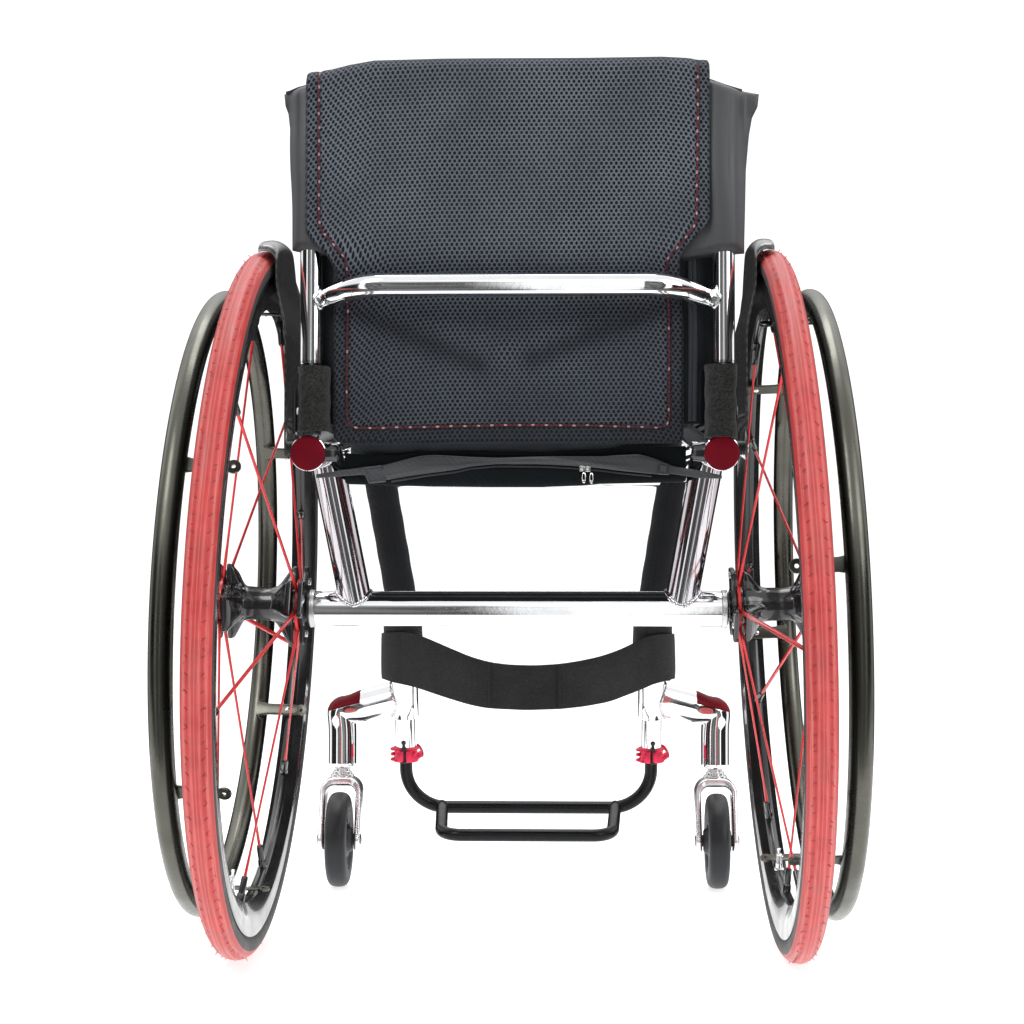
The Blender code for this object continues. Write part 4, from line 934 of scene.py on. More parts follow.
def rim(word, s, M):
    half = [(0.2846, 0.0109), (0.2822, 0.0114), (0.2800, 0.0110), (0.2760, 0.0108), (0.2712, 0.0106), (0.2690, 0.0100), (0.2650, 0.0084), (0.2600, 0.0062), (0.2565, 0.0046), (0.2554, 0.0030)]
    inner = [(0.2580, 0.0), (0.2600, 0.0032), (0.2705, 0.0086), (0.2846, 0.0090)]
    profile = half + [(0.2551, 0.0)] + [(a, -b) for a, b in half[::-1]] + [(a, -b) for a, b in inner[::-1]][:-1] + inner
    sh = Shape().lathe(profile, 240)
    ob = sh.done(word + "_wheel_rim", [BLACK_RIM], word + "_wheel", nodes=[word + "_rim"], slot="black_rim", matrix=M, sharp=30)
    # valve
    at = around(s, -111 if s < 0 else -70)
    place = Matrix.Rotation(at, 4, "Z")
    v = Shape()
    R = place @ Matrix.Translation((0.2556, 0, 0)) @ Matrix.Rotation(-math.pi / 2, 4, "Y")
    v.turned([(0.0042, -0.0008), (0.0042, 0.0012), (0.0034, 0.0018), (0.0030, 0.0020), (0.0030, 0.0062)] + [(0.0026 if k % 2 else 0.0029, 0.0062 + 0.0006 * k) for k in range(14)] + [(0.0024, 0.0150), (0.0012, 0.0152), (0.0012, 0.0186), (0.0016, 0.0188), (0.0016, 0.0205), (0.0006, 0.0208)], 20, 0, R)
    v.done(word + "_tyre_valve", [SATIN], word + "_wheel", matrix=M, sharp=25)
    return ob


def spokes(word, s, M):
    first = FIRST_SPOKE[word]
    ends = Shape()
    for name, at, turn in (("inner", -0.0345, 30), ("outer", 0.0322, 60)):
        sh = Shape()
        sh.lathe([(0.0166, at - 0.0012), (0.0224, at - 0.0012), (0.0224, at + 0.0012), (0.0166, at + 0.0012)], 64)
        for k in range(6):
            lobe = first - s * turn + 120 * (k // 2)
            way = 1 if k % 2 else -1
            a0, a1 = around(s, lobe + 25 * way), around(s, lobe + 30 * way)
            a = polar(0.0205, a0, at)
            b = polar(0.2546, a1, 0.0006 if at > 0 else -0.0006)
            d = (b - a).normalized()
            across = Vector((0, 0, 1)).cross(d).normalized()
            L = (b - a).length
            # round near the ends, bladed along the middle
            pts, rings = [], []
            for t in (0.0, 0.010, 0.020, 0.034, 0.05, L - 0.045, L - 0.034, L - 0.022, L - 0.010, L):
                blade = smooth(t, 0.016, 0.045) * (1 - smooth(t, L - 0.042, L - 0.026))
                w, th = 0.00165 + 0.00050 * blade, 0.00135 - 0.00040 * blade
                c = a + d * t
                up = across.cross(d)
                rings.append([c + across * (w * math.copysign(abs(math.cos(x)) ** 0.8, math.cos(x))) + up * (th * math.copysign(abs(math.sin(x)) ** 0.8, math.sin(x))) for x in (TAU * i / 16 for i in range(16))])
            sh.rings(rings)
            # nipple: long black sleeve reaching out of the rim
            q = lambda t: a + d * (L + t)
            ends.tube([q(-0.0205), q(-0.0200), q(-0.0185), q(-0.0070), q(-0.0062), q(-0.0056), q(-0.0050), q(0.0030)], [0.0021, 0.0026, 0.0029, 0.0030, 0.0030, 0.0034, 0.0036, 0.0038], 20)
        sh.done(f"{word}_spoke_set_{name}", [RED_SPOKE], word + "_wheel", nodes=[f"{word}_spokes_{name}"], slot="red_spoke", matrix=M, sharp=50)
    ends.done(word + "_spoke_nipples", [BLACK_GLOSS], word + "_wheel", matrix=M, sharp=30)


def lobed_radius(a, centre, out=0.0316, pocket=0.0195):
    t = math.degrees(math.remainder(a - centre, math.radians(120)))
    k = smooth(abs(t), 25.0, 41.0)
    edge = out / math.cos(math.radians(min(abs(t), 31.0)))
    return edge + (pocket - edge) * k


def hub(word, s, M):
    first = FIRST_SPOKE[word]
    near, far = around(s, first - 30 * s), around(s, first - 60 * s)
    n = 180
    core = 0.0156
    sh = Shape()

    def ring(z, f):
        return [polar(f(TAU * i / n), TAU * i / n, z) for i in range(n)]

    def flange(c, z, grow=0.0):
        return ring(z, lambda a: lobed_radius(a, c) + grow)

    def flat(r, z):
        return ring(z, lambda a: r)

    rings = [flat(0.0069, -0.0425), flat(0.0118, -0.0425), flat(0.0132, -0.0420), flat(0.0148, -0.0410),
             flat(core + 0.001, -0.0408), flange(near, -0.0408, -0.0012), flange(near, -0.0404, -0.0004), flange(near, -0.0397), flange(near, -0.0374), flange(near, -0.0367, -0.0004), flange(near, -0.0364, -0.0012),
             flat(core, -0.0362), flat(core, -0.0308), flange(near, -0.0306, -0.0012), flange(near, -0.0303, -0.0003), flange(near, -0.0296, 0.0)]
    # lobes taper away into the waist
    for k in range(1, 9):
        t = k / 9
        z = -0.0296 + (0.0296 - 0.0110) * t
        rings.append(ring(z, lambda a: 0.0148 + (lobed_radius(a, near) - 0.0148) * (1 - smooth(t)) ** 1.15))
    rings += [flat(0.0146, -0.0100), flat(0.0143, 0.0), flat(0.0146, 0.0095)]
    for k in range(1, 9):
        t = k / 9
        z = 0.0105 + (0.0255 - 0.0105) * t
        rings.append(ring(z, lambda a: 0.0148 + (lobed_radius(a, far) - 0.0148) * smooth(t) ** 1.15))
    rings += [flange(far, 0.0262), flange(far, 0.0280), flange(far, 0.0286, -0.0008), flat(core, 0.0287), flat(core, 0.0338), flange(far, 0.0338, -0.0010), flange(far, 0.0341, -0.0002), flange(far, 0.0355), flange(far, 0.0360, -0.0010),
              flat(0.0150, 0.0361), flat(0.0132, 0.0360), flat(0.0120, 0.0352), flat(0.0069, 0.0352)]
    sh.rings(rings, closed=True)
    sh.done(word + "_wheel_hub", [BLACK_GLOSS], word + "_wheel", nodes=[word + "_hub"], slot="black_anodised", matrix=M, sharp=28)
    # small bolts that close the lobes on to the spokes, and bearing shields
    extra = Shape()
    for c, z, way in ((near, -0.0408, -1), (far, 0.0360, 1)):
        for k in range(3):
            a = c + math.radians(120 * k)
            R = Matrix.Translation(polar(0.0268, a, z)) @ (Matrix.Rotation(math.pi, 4, "X") if way < 0 else Matrix.Identity(4))
            extra.turned([(0.0030, -0.001), (0.0030, 0.0005), (0.0024, 0.0011), (0.0015, 0.0012), (0.0014, 0.0002), (0.0001, 0.0002)], 24, 0, R)
    extra.turned([(0.0072, -0.0428), (0.0110, -0.0428), (0.0113, -0.0424), (0.0113, -0.0415)], 40, 0)
    extra.done(word + "_hub_fittings", [STEEL], word + "_wheel", matrix=M, sharp=28)
    axle = Shape()
    axle.turned([(0.0030, -0.0860), (0.0050, -0.0850), (0.00625, -0.0835), (0.00625, 0.0366), (0.0112, 0.0366), (0.0120, 0.0372), (0.0120, 0.0398), (0.0114, 0.0404), (0.0084, 0.0410), (0.0078, 0.0416), (0.0078, 0.0432), (0.0072, 0.0436), (0.0046, 0.0436), (0.0046, 0.0400)], 48)
    for k in range(2):
        axle.ball(polar(0.0056, math.pi * k + 0.4, -0.0800), 0.0016, 10)
    axle.done(word + "_quick_release_axle", [STEEL], word + "_axle", nodes=[word + "_axle_pin"], slot="bright_steel", matrix=M, sharp=28)
    button = Shape().turned([(0.0040, 0.0335), (0.0040, 0.0455), (0.0037, 0.0466), (0.0028, 0.0471), (0.0010, 0.0469), (0.0004, 0.0466)], 32)
    button.done(word + "_axle_button", [STEEL], word + "_button", nodes=[word + "_release_button"], slot="bright_steel", matrix=M, sharp=28)


def handrim(word, s, M):
    first = FIRST_SPOKE[word]
    n, m = 300, 36
    phi = np.arange(n) * TAU / n
    th = np.arange(m) * TAU / m
    P, T = np.meshgrid(phi, th, indexing="ij")
    rho, h = HANDRIM_R + HANDRIM_TUBE * np.cos(T), HANDRIM_OUT + HANDRIM_TUBE * np.sin(T)
    grid_object(word + "_hand_rim", rho * np.cos(P), rho * np.sin(P), h, [GUNMETAL], word + "_wheel", True, True, nodes=[word + "_handrim"], matrix=M, sharp=60)
    tabs, bolts, seams = Shape(), Shape(), Shape()
    for k in range(6):
        R = Matrix.Rotation(around(s, first - 15 * s + 60 * k), 4, "Z")
        # a strip that runs in from the hand rim and lies against the inside of the rim
        path = [(0.2525, 0.0335), (0.2521, 0.0270), (0.2515, 0.0210), (0.2514, 0.0150), (0.2514, 0.0090), (0.2514, 0.0030), (0.2514, -0.0020), (0.2514, -0.0062)]
        rings = []
        for j, (a, z) in enumerate(path):
            w = 0.0088 if j == 0 else 0.0070 if j == 1 else 0.0058 if j < 7 else 0.0050
            t = 0.0013 if j > 1 else 0.0018
            ring = []
            for i in range(20):
                x = TAU * i / 20
                ring.append(R @ Vector((a + t * math.copysign(abs(math.sin(x)) ** 0.6, math.sin(x)), w * math.copysign(abs(math.cos(x)) ** 0.7, math.cos(x)), z)))
            rings.append(ring)
        tabs.rings(rings)
        # open ring at its end, and the small rivet that holds it to the rim
        E = R @ Matrix.Translation((0.2514, 0.0, -0.0102)) @ Matrix.Rotation(-math.pi / 2, 4, "Y")
        bolts.lathe([(0.0018, -0.0011), (0.0053, -0.0013), (0.0057, -0.0008), (0.0057, 0.0008), (0.0053, 0.0013), (0.0018, 0.0011)], 36, 0, E)
        E = R @ Matrix.Translation((0.2502, 0.0, 0.0030)) @ Matrix.Rotation(-math.pi / 2, 4, "Y")
        bolts.turned([(0.0024, -0.0005), (0.0022, 0.0004), (0.0013, 0.0008), (0.0001, 0.0009)], 24, 1, E)
        # weld fillet round the foot of the strip
        foot = []
        for i in range(40):
            x = TAU * i / 40
            y = 0.0096 * math.cos(x)
            z = 0.0290 + 0.0030 * math.sin(x)
            dz = z - HANDRIM_OUT
            foot.append(R @ Vector((HANDRIM_R - math.sqrt(max(1e-9, (HANDRIM_TUBE - 0.0002) ** 2 - dz * dz)), y, z)))
        seams.tube(foot, [0.0010 + 0.00022 * abs(math.sin(i * 1.7)) for i in range(40)], 8, closed=True)
    tabs.done(word + "_hand_rim_tabs", [GUNMETAL], word + "_wheel", matrix=M, sharp=50)
    bolts.done(word + "_tab_eyelets", [GUNMETAL, STEEL], word + "_wheel", matrix=M, sharp=30)
    seams.done(word + "_tab_welds", [GUNMETAL], word + "_wheel", matrix=M, sharp=60)


for word, s in SIDES:
    M = wheel_place(s)
    tyre(word, s, M)
    rim(word, s, M)
    spokes(word, s, M)
    hub(word, s, M)
    handrim(word, s, M)


# ------------------------------------------------------------------ welded main frame
def main_frame(word, s):
    path = [V(s * SEAT_REAR[0], *SEAT_REAR[1:]), V(s * KNEE[0], *KNEE[1:]), V(s * SHIN[0], *SHIN[1:]), leg(s, LEG_END_Z)]
    pts = dense(fillet(path, [0.070, 0.120], 2.5), 0.02)
    along = (path[0] - path[1]).normalized()
    down = (pts[-1] - pts[-2]).normalized()
    body = pts[:-1]
    P = [path[0], path[0] - along * 0.0004] + [p for p in body[1:]]
    R = [TUBE_R - 0.0006, TUBE_R] + [TUBE_R] * (len(body) - 1)
    P += [leg(s, LEG_END_Z + 0.0012), leg(s, LEG_END_Z + 0.0004), leg(s, LEG_END_Z), leg(s, LEG_END_Z - 0.0002), leg(s, LEG_END_Z - 0.0010), leg(s, STUB_END_Z + 0.0005), leg(s, STUB_END_Z)]
    R += [TUBE_R, TUBE_R - 0.0005, TUBE_R - 0.0012, STUB_R + 0.0006, STUB_R, STUB_R, STUB_R - 0.0005]
    sh = Shape().tube(P, R, 56)
    sh.done(word + "_side_tube", [POLISHED], "frame", nodes=[word + "_frame_tube"], slot="polished_aluminium", sharp=32)
    E = Matrix.Translation(path[0]) @ along.to_track_quat("Z", "Y").to_matrix().to_4x4()
    cap = Shape().turned([(0.0118, -0.0110), (0.0122, -0.0100), (0.0122, 0.0002), (0.0138, 0.0002), (0.0141, 0.0006), (0.0141, 0.0014), (0.0139, 0.0020), (0.0134, 0.0024), (0.0120, 0.0026), (0.0080, 0.0029), (0.0040, 0.0031), (0.0002, 0.0031)], 64, 0, E)
    cap.done(word + "_end_cap", [RED_CAP], "frame", nodes=[word + "_tube_cap"], slot="red_anodised", sharp=35)

    low, high = V(s * 0.1410, 0.0, CAMBER_TUBE_Z + 0.004), V(s * 0.1620, -0.0500, 0.4320)
    d = (high - low).normalized()
    st = Shape().tube(dense([low, high], 0.01), STRUT_R, 48, first=Vector((1, 0, 0)))
    # the strut in the darker polish: painted shade
    st.done(word + "_strut_tube", [STRUT_POLISH_PAINTED_SHADE], "frame", nodes=[word + "_strut"], slot="polished_aluminium", sharp=32)
    beads = Shape()
    weld(beads, low, d, STRUT_R, Vector((0, AXLE_Y, CAMBER_TUBE_Z)), Vector((1, 0, 0)), CAMBER_TUBE_R, keep=1, bead=0.0021)
    weld(beads, high - d * 0.03, d, STRUT_R, path[0], along, TUBE_R, keep=-1, bead=0.0021)
    beads.done(word + "_frame_welds", [WELD], "frame", sharp=60)


for word, s in SIDES:
    main_frame(word, s)

camber = Shape().tube(dense([V(-CAMBER_TUBE_HALF, 0, CAMBER_TUBE_Z), V(CAMBER_TUBE_HALF, 0, CAMBER_TUBE_Z)], 0.02), CAMBER_TUBE_R, 72, first=Vector((0, 1, 0)))
camber.done("camber_tube_polished", [POLISHED], "frame", nodes=["camber_tube"], slot="polished_aluminium", sharp=32)
cross = Shape().tube(dense([V(-0.148, 0.3426, 0.4320), V(0.148, 0.3426, 0.4320)], 0.02), 0.0095, 40, first=Vector((0, 1, 0)))
cross.done("front_cross_tube_polished", [POLISHED], "frame", nodes=["front_cross_tube"], slot="polished_aluminium", sharp=32)


# ------------------------------------------------------------------ castors
def superring(c, u, v, a, b, n=24, p=1.0):
    """Points round c: half sizes a along u and b along v, squarer as p falls."""
    out = []
    for i in range(n):
        x = TAU * (i + 0.5) / n
        out.append(c + u * (a * math.copysign(abs(math.cos(x)) ** p, math.cos(x))) + v * (b * math.copysign(abs(math.sin(x)) ** p, math.sin(x))))
    return out


def elbow(word, s):
    """The castor arm and its barrel: one bent oval tube, mitred and closed by a red plug at the corner."""
    A, K, B = leg(s, 0.2017), V(s * SWIVEL_X, SWIVEL_Y, 0.1834), V(s * SWIVEL_X, SWIVEL_Y, 0.1250)
    pts = dense(fillet([A, K, B + Vector((0, 0, 0.0012)), B], [0.0050, 0.0], 3.0), 0.003)
    total = sum((q - p).length for p, q in zip(pts, pts[1:]))

    def rings(grow):
        out, run = [], 0.0
        for k, (p, (t, u, v)) in enumerate(zip(pts, frames(pts, Vector((0, 1, 0))))):
            if k:
                run += (p - pts[k - 1]).length
            w = smooth(run, total - 0.086, total - 0.062)
            a, b = 0.0128 + (0.0150 - 0.0128) * w, 0.0182 + (0.0150 - 0.0182) * w
            end = 0.0008 * smooth(total - run, 0.0012, 0.0)
            knee = math.exp(-((run - total + 0.0565) / 0.0105) ** 2)
            q = p + Vector((s, 0, 1.3)) * (0.0014 * knee)
            out.append(superring(q, u, v, a + grow - end + 0.0012 * knee, b + grow - end, 56))
        return out

    sh = Shape().rings(rings(0.0))
    sh.done(word + "_castor_arm_elbow", [POLISHED], "frame", nodes=[word + "_castor_arm", word + "_castor_barrel"], slot="polished_aluminium", sharp=40)
    # the red plug: what of a slightly larger elbow is above a slanting cut and outside an upright one
    bm = bmesh.new()
    helper = Shape().rings(rings(0.00045))
    vs = [bm.verts.new(p) for p in helper.v]
    for f in helper.f:
        bm.faces.new([vs[i] for i in f])
    outer, inner = Vector((s * 0.2162, 0, 0.1850)), Vector((s * 0.1806, 0, 0.1945))
    slope = (inner - outer).normalized()
    up = Vector((-slope.z, 0, slope.x)) if s > 0 else Vector((slope.z, 0, -slope.x))
    if up.z < 0:
        up = -up
    for co, no in ((outer, -up), (Vector((s * 0.1806, 0, 0)), Vector((-s, 0, 0)))):
        geom = bm.verts[:] + bm.edges[:] + bm.faces[:]
        bmesh.ops.bisect_plane(bm, geom=geom, plane_co=co, plane_no=no, clear_outer=True)
        bmesh.ops.holes_fill(bm, edges=[e for e in bm.edges if e.is_boundary], sides=0)
    bmesh.ops.recalc_face_normals(bm, faces=bm.faces[:])
    rim_edges = [e for e in bm.edges if len(e.link_faces) == 2 and e.calc_face_angle(0) > 0.7]
    bmesh.ops.bevel(bm, geom=rim_edges, offset=0.0004, segments=2, profile=0.5, affect="EDGES")
    plug = Shape().mesh(bm)
    plug.done(word + "_arm_plug", [RED_ARM], "frame", nodes=[word + "_arm_cap"], slot="red_anodised", sharp=40)
    # bearing lips and washer stack at the foot of the barrel
    W = Matrix.Translation(V(s * SWIVEL_X, SWIVEL_Y, 0))
    lips = Shape().lathe([(0.0064, 0.1236), (0.0105, 0.1236), (0.0112, 0.1243), (0.0112, 0.1262), (0.0064, 0.1262)], 64, 0, W)
    lips.done(word + "_barrel_bearing", [SATIN], "frame", sharp=30)
    beads = Shape()
    t = (K - A).normalized()
    n = 96
    loop = []
    L0, L1 = leg(s, 0.25), leg(s, 0.17)
    d = (L1 - L0).normalized()
    for i in range(n):
        x = TAU * i / n
        u = Vector((0, 1, 0)) - t * t.y
        u.normalize()
        v = t.cross(u)
        p = A + u * (0.0128 * math.cos(x)) + v * (0.0182 * math.sin(x))
        w0, AA = p - L0, t - d * t.dot(d)
        BB = w0 - d * w0.dot(d)
        qa, qb, qc = AA.dot(AA), 2 * AA.dot(BB), BB.dot(BB) - TUBE_R ** 2
        k = (-qb + math.sqrt(max(0.0, qb * qb - 4 * qa * qc))) / (2 * qa)
        loop.append(p + t * k)
    beads.tube(loop, [0.0017 * (0.86 + 0.2 * abs(math.sin(26 * math.pi * i / n))) for i in range(n)], 10, closed=True)
    beads.done(word + "_castor_arm_weld", [WELD], "frame", sharp=60)


def fork(word, s):
    W = Matrix.Translation(V(s * SWIVEL_X, SWIVEL_Y, 0))
    back = CASTOR_Y - SWIVEL_Y
    half = []
    for z in (0.0386, 0.0389, 0.0396, 0.0412, 0.0440, 0.0480, 0.0530, 0.0580, 0.0640, 0.0700, 0.0760, 0.0820, 0.0880, 0.0940):
        half.append((0.0192, z, 0.0032 if z > 0.0392 else 0.0022, 0.0))
    for k in range(13):
        a = math.radians(90 * k / 12)
        half.append((0.0192 - 0.0125 + 0.0125 * math.cos(a), 0.0975 + 0.0125 * math.sin(a), 0.0032 + 0.0020 * k / 12, a))
    half.append((0.0034, 0.1100, 0.0052, math.pi / 2))
    path = half + [(-x, z, t, math.pi - a) for x, z, t, a in half[::-1]]
    rings = []
    for x, z, t, a in path:
        if z < 0.05:
            w = math.sqrt(max(1e-8, 0.0115 ** 2 - (z - 0.05) ** 2)) if z > 0.0386 else 0.0012
            y0, y1 = back - w, back + w
        else:
            k = min(1.0, (z - 0.05) / 0.058)
            y0 = back - 0.0115 + k * (-0.0190 - (back - 0.0115))
            y1 = back + 0.0115 + k * (0.0165 - (back + 0.0115))
            waist = 0.0018 * math.sin(math.pi * k)
            y0 += waist
            y1 -= waist
        if z > 0.1074:
            grow = smooth(z, 0.1074, 0.1100)
            y0, y1 = y0 + 0.0015 * grow, y1 - 0.0005 * grow
        n = Vector((math.cos(a), 0, math.sin(a)))
        rings.append([W @ q for q in superring(Vector((x, (y0 + y1) / 2, z)), n, Vector((0, 1, 0)), t, (y1 - y0) / 2, 32, 0.42)])
    sh = Shape().rings(rings, 0)
    # stem with its shoulder and lock washer
    sh.turned([(0.0125, 0.1110), (0.0125, 0.1164), (0.0118, 0.1170), (0.0100, 0.1172), (0.0100, 0.1196), (0.0094, 0.1204), (0.0078, 0.1206), (0.0078, 0.1228), (0.0060, 0.1230), (0.0060, 0.1750), (0.0056, 0.1760)], 48, 1, W)
    ob = sh.done(word + "_castor_fork", [FORK_METAL, SATIN], word + "_fork", nodes=[word + "_fork"], slot="brushed_aluminium", sharp=35)
    X = Matrix.Translation(V(s * SWIVEL_X, SWIVEL_Y + back, CASTOR_R)) @ Matrix.Rotation(math.pi / 2, 4, "Y")
    bolt = Shape().turned([(0.0032, -0.0236), (0.0046, -0.0235), (0.0055, -0.0231), (0.0058, -0.0226), (0.0058, -0.0222), (0.0037, -0.0222), (0.0037, 0.0222), (0.0058, 0.0222), (0.0058, 0.0226), (0.0055, 0.0231), (0.0046, 0.0235), (0.0032, 0.0236), (0.0030, 0.0230), (0.0002, 0.0230)], 40, 0, X)
    bolt.done(word + "_castor_bolt", [BLACK_GLOSS], word + "_fork", nodes=[word + "_castor_axle"], slot="black_anodised", sharp=30)
    # wheel: moulded tyre on a black centre with flared spacers
    h = CASTOR_WIDTH / 2 * 0.87
    prof = []
    for k in range(25):
        a = math.radians(-90 + 180 * k / 24)
        ca, sa = math.cos(a), math.sin(a)
        prof.append((0.0370 + 0.0130 * abs(ca) ** 0.62, h * math.copysign(abs(sa) ** 0.80, sa)))
    prof = [(0.0302, -0.0088), (0.0310, -0.0102), (0.0330, -0.0109)] + prof + [(0.0330, 0.0109), (0.0310, 0.0102), (0.0302, 0.0088)]
    tyre_ = Shape().lathe(prof, 128, 0, Matrix.Identity(4))
    tyre_.done(word + "_castor_tread", [CASTOR_RUBBER], word + "_castor_wheel", nodes=[word + "_castor_tyre"], slot="black_rubber", matrix=X, sharp=40)
    hub_ = Shape()
    side = [(0.0046, 0.0168), (0.0056, 0.0168), (0.0060, 0.0164), (0.0062, 0.0146), (0.0110, 0.0144), (0.0122, 0.0138), (0.0128, 0.0124), (0.0140, 0.0104), (0.0160, 0.0092), (0.0200, 0.0082), (0.0235, 0.0080), (0.0262, 0.0086), (0.0285, 0.0100), (0.0300, 0.0104), (0.0303, 0.0096)]
    hub_.lathe(side + [(a, -b) for a, b in side[::-1]], 96, 0)
    hub_.done(word + "_castor_core", [BLACK_PLASTIC], word + "_castor_wheel", nodes=[word + "_castor_hub"], slot="black_anodised", matrix=X, sharp=30)
    ribs = Shape()
    for k in range(6):
        for side in (-1, 1):
            R = Matrix.Rotation(TAU * k / 6, 4, "Z")
            ribs.block((0.0105, -0.0014, 0.0070 * side - 0.0022), (0.0285, 0.0014, 0.0070 * side + 0.0022), 0.0006, 2, 0, R)
    ribs.done(word + "_castor_ribs", [BLACK_PLASTIC], word + "_castor_wheel", matrix=X, sharp=30)


for word, s in SIDES:
    elbow(word, s)
    fork(word, s)


# ------------------------------------------------------------------ receivers at the ends of the camber tube
for word, s in SIDES:
    E = Matrix.Translation(V(0, 0, CAMBER_TUBE_Z)) @ Matrix.Rotation(s * math.pi / 2, 4, "Y")
    sh = Shape()
    sh.turned([(0.0122, 0.1700), (0.0122, 0.1762), (0.0158, 0.1762), (0.0163, 0.1766), (0.0163, 0.1790), (0.0166, 0.1793), (0.0166, 0.1803), (0.0161, 0.1809), (0.0152, 0.1812), (0.0130, 0.1820), (0.0090, 0.1822), (0.0084, 0.1816), (0.0070, 0.1816)], 72, 0, E)
    M = wheel_place(s)
    # locknut and cone washers between the receiver and the hub, on the cambered axle
    sh.turned([(0.0066, -0.0452), (0.0100, -0.0452), (0.0104, -0.0448), (0.0104, -0.0436), (0.0084, -0.0434), (0.0066, -0.0430)], 48, 1, M)
    sh.done(word + "_axle_bush", [BRUSHED, STEEL], "frame", nodes=[word + "_axle_receiver"], slot="brushed_aluminium", sharp=30)
    # two set screws that hold the bush, underneath
    screws = Shape()
    for x in (0.1600, 0.1685):
        R = Matrix.Translation(V(s * x, 0, CAMBER_TUBE_Z)) @ Matrix.Rotation(math.radians(205), 4, "X")
        screws.turned([(0.0026, CAMBER_TUBE_R - 0.002), (0.0026, CAMBER_TUBE_R + 0.0001), (0.0022, CAMBER_TUBE_R + 0.0004), (0.0014, CAMBER_TUBE_R + 0.0004), (0.0013, CAMBER_TUBE_R - 0.0010), (0.0001, CAMBER_TUBE_R - 0.0010)], 24, 0, R)
    screws.done(word + "_bush_screws", [BLACK_PLASTIC], "frame", sharp=30)


# ------------------------------------------------------------------ footrest and its clamps
corner_y = SHIN[1] + RAKE * (SHIN[2] - REST_Z)
bow = dense(fillet([leg(-1, 0.1730), V(-SHIN[0], corner_y, REST_Z), V(SHIN[0], corner_y, REST_Z), leg(1, 0.1730)], [0.044, 0.044], 3.0), 0.01)
Shape().tube(bow, REST_R, 40).done("footrest_bow", [BLACK_PAINT], "footrest", nodes=["footrest_frame"], slot="black_paint", sharp=40)
u = dense(fillet([V(-0.0940, corner_y - 0.0020, REST_Z), V(-0.0890, 0.3550, 0.0613), V(0.0890, 0.3550, 0.0613), V(0.0940, corner_y - 0.0020, REST_Z)], [0.022, 0.022], 4.0), 0.006)
Shape().tube(u, LOOP_R, 40).done("footrest_rear_loop", [BLACK_PAINT], "footrest", nodes=["footrest_loop"], slot="black_paint", sharp=40)
beads = Shape()
for s in (-1, 1):
    a, b = V(s * 0.0940, corner_y - 0.0020, REST_Z), V(s * 0.0890, 0.3550, 0.0613)
    weld(beads, a, (b - a).normalized(), LOOP_R, V(0, corner_y, REST_Z), Vector((1, 0, 0)), REST_R, 0.0013, lumps=20)
beads.done("footrest_welds", [BLACK_PAINT], "footrest", sharp=60)

for word, s in SIDES:
    place = Matrix.Translation(leg(s, STUB_END_Z)) @ Matrix.Rotation(0.25 * math.atan(RAKE), 4, "X")
    body, inside = Shape(), STUB_R + 0.0004
    # a scalloped collar, split at the back, with a wrap-round lever on one side
    prof = [(inside, 0.0078), (0.0136, 0.0078), (0.0141, 0.0073), (0.0141, 0.0058), (0.0132, 0.0050), (0.0126, 0.0040), (0.0126, -0.0030), (0.0134, -0.0040), (0.0139, -0.0050), (0.0139, -0.0070), (0.0132, -0.0078), (REST_R + 0.0004, -0.0078), (REST_R + 0.0004, -0.0006), (inside, -0.0006)]
    body.lathe(prof, 96, 0, Matrix.Identity(4), wave=None)
    # ears each side of the split
    for k in (-1, 1):
        body.block((0.0011 * k if k > 0 else -0.0082, -0.0172, -0.0066), (0.0082 if k > 0 else -0.0011, -0.0098, 0.0056), 0.0018, 3)
    for k, z in enumerate((0.0056, 0.0002, -0.0056)):
        body.ball((-0.0139, -0.0010, z), 0.0026, 14, 0, (1.1, 1.6, 0.75))
    # lever: a strap hooked round the outside
    arc = []
    for k in range(22):
        a = math.radians(-62 + 100 * k / 21)
        r = 0.0158 + 0.0022 * math.sin(math.pi * k / 21)
        arc.append(Vector((r * math.cos(a), r * math.sin(a) - 0.001, 0.0010 + 0.0062 * smooth(k / 21, 0.55, 1.0) - 0.0035 * smooth(k / 21, 0.4, 0.0))))
    body.tube(arc, 0.0022, 16, 0, first=Vector((0, 0, 1)), squash=(1.7, 0.62))
    ob = body.done(word + "_clamp_collar", [RED_CLAMP], "frame", nodes=[word + "_footrest_clamp"], slot="bright_red_anodised", matrix=place, sharp=38)
    pin = Shape()
    B = Matrix.Translation((0.0012 * s, -0.0138, 0))
    pin.turned([(0.0022, -0.0050), (0.0022, 0.0062), (0.0033, 0.0064), (0.0034, 0.0076), (0.0022, 0.0084), (0.0016, 0.0100), (0.0015, 0.0118), (0.0018, 0.0126)], 28, 0, B)
    pin.ball((0.0012 * s, -0.0138, 0.0142), 0.0027, 20)
    pin.turned([(0.0015, -0.0086), (0.0026, -0.0080), (0.0027, -0.0062), (0.0015, -0.0058)], 24, 0, B)
    pin.done(word + "_clamp_pin", [BLACK_PLASTIC], "frame", matrix=place, sharp=40)


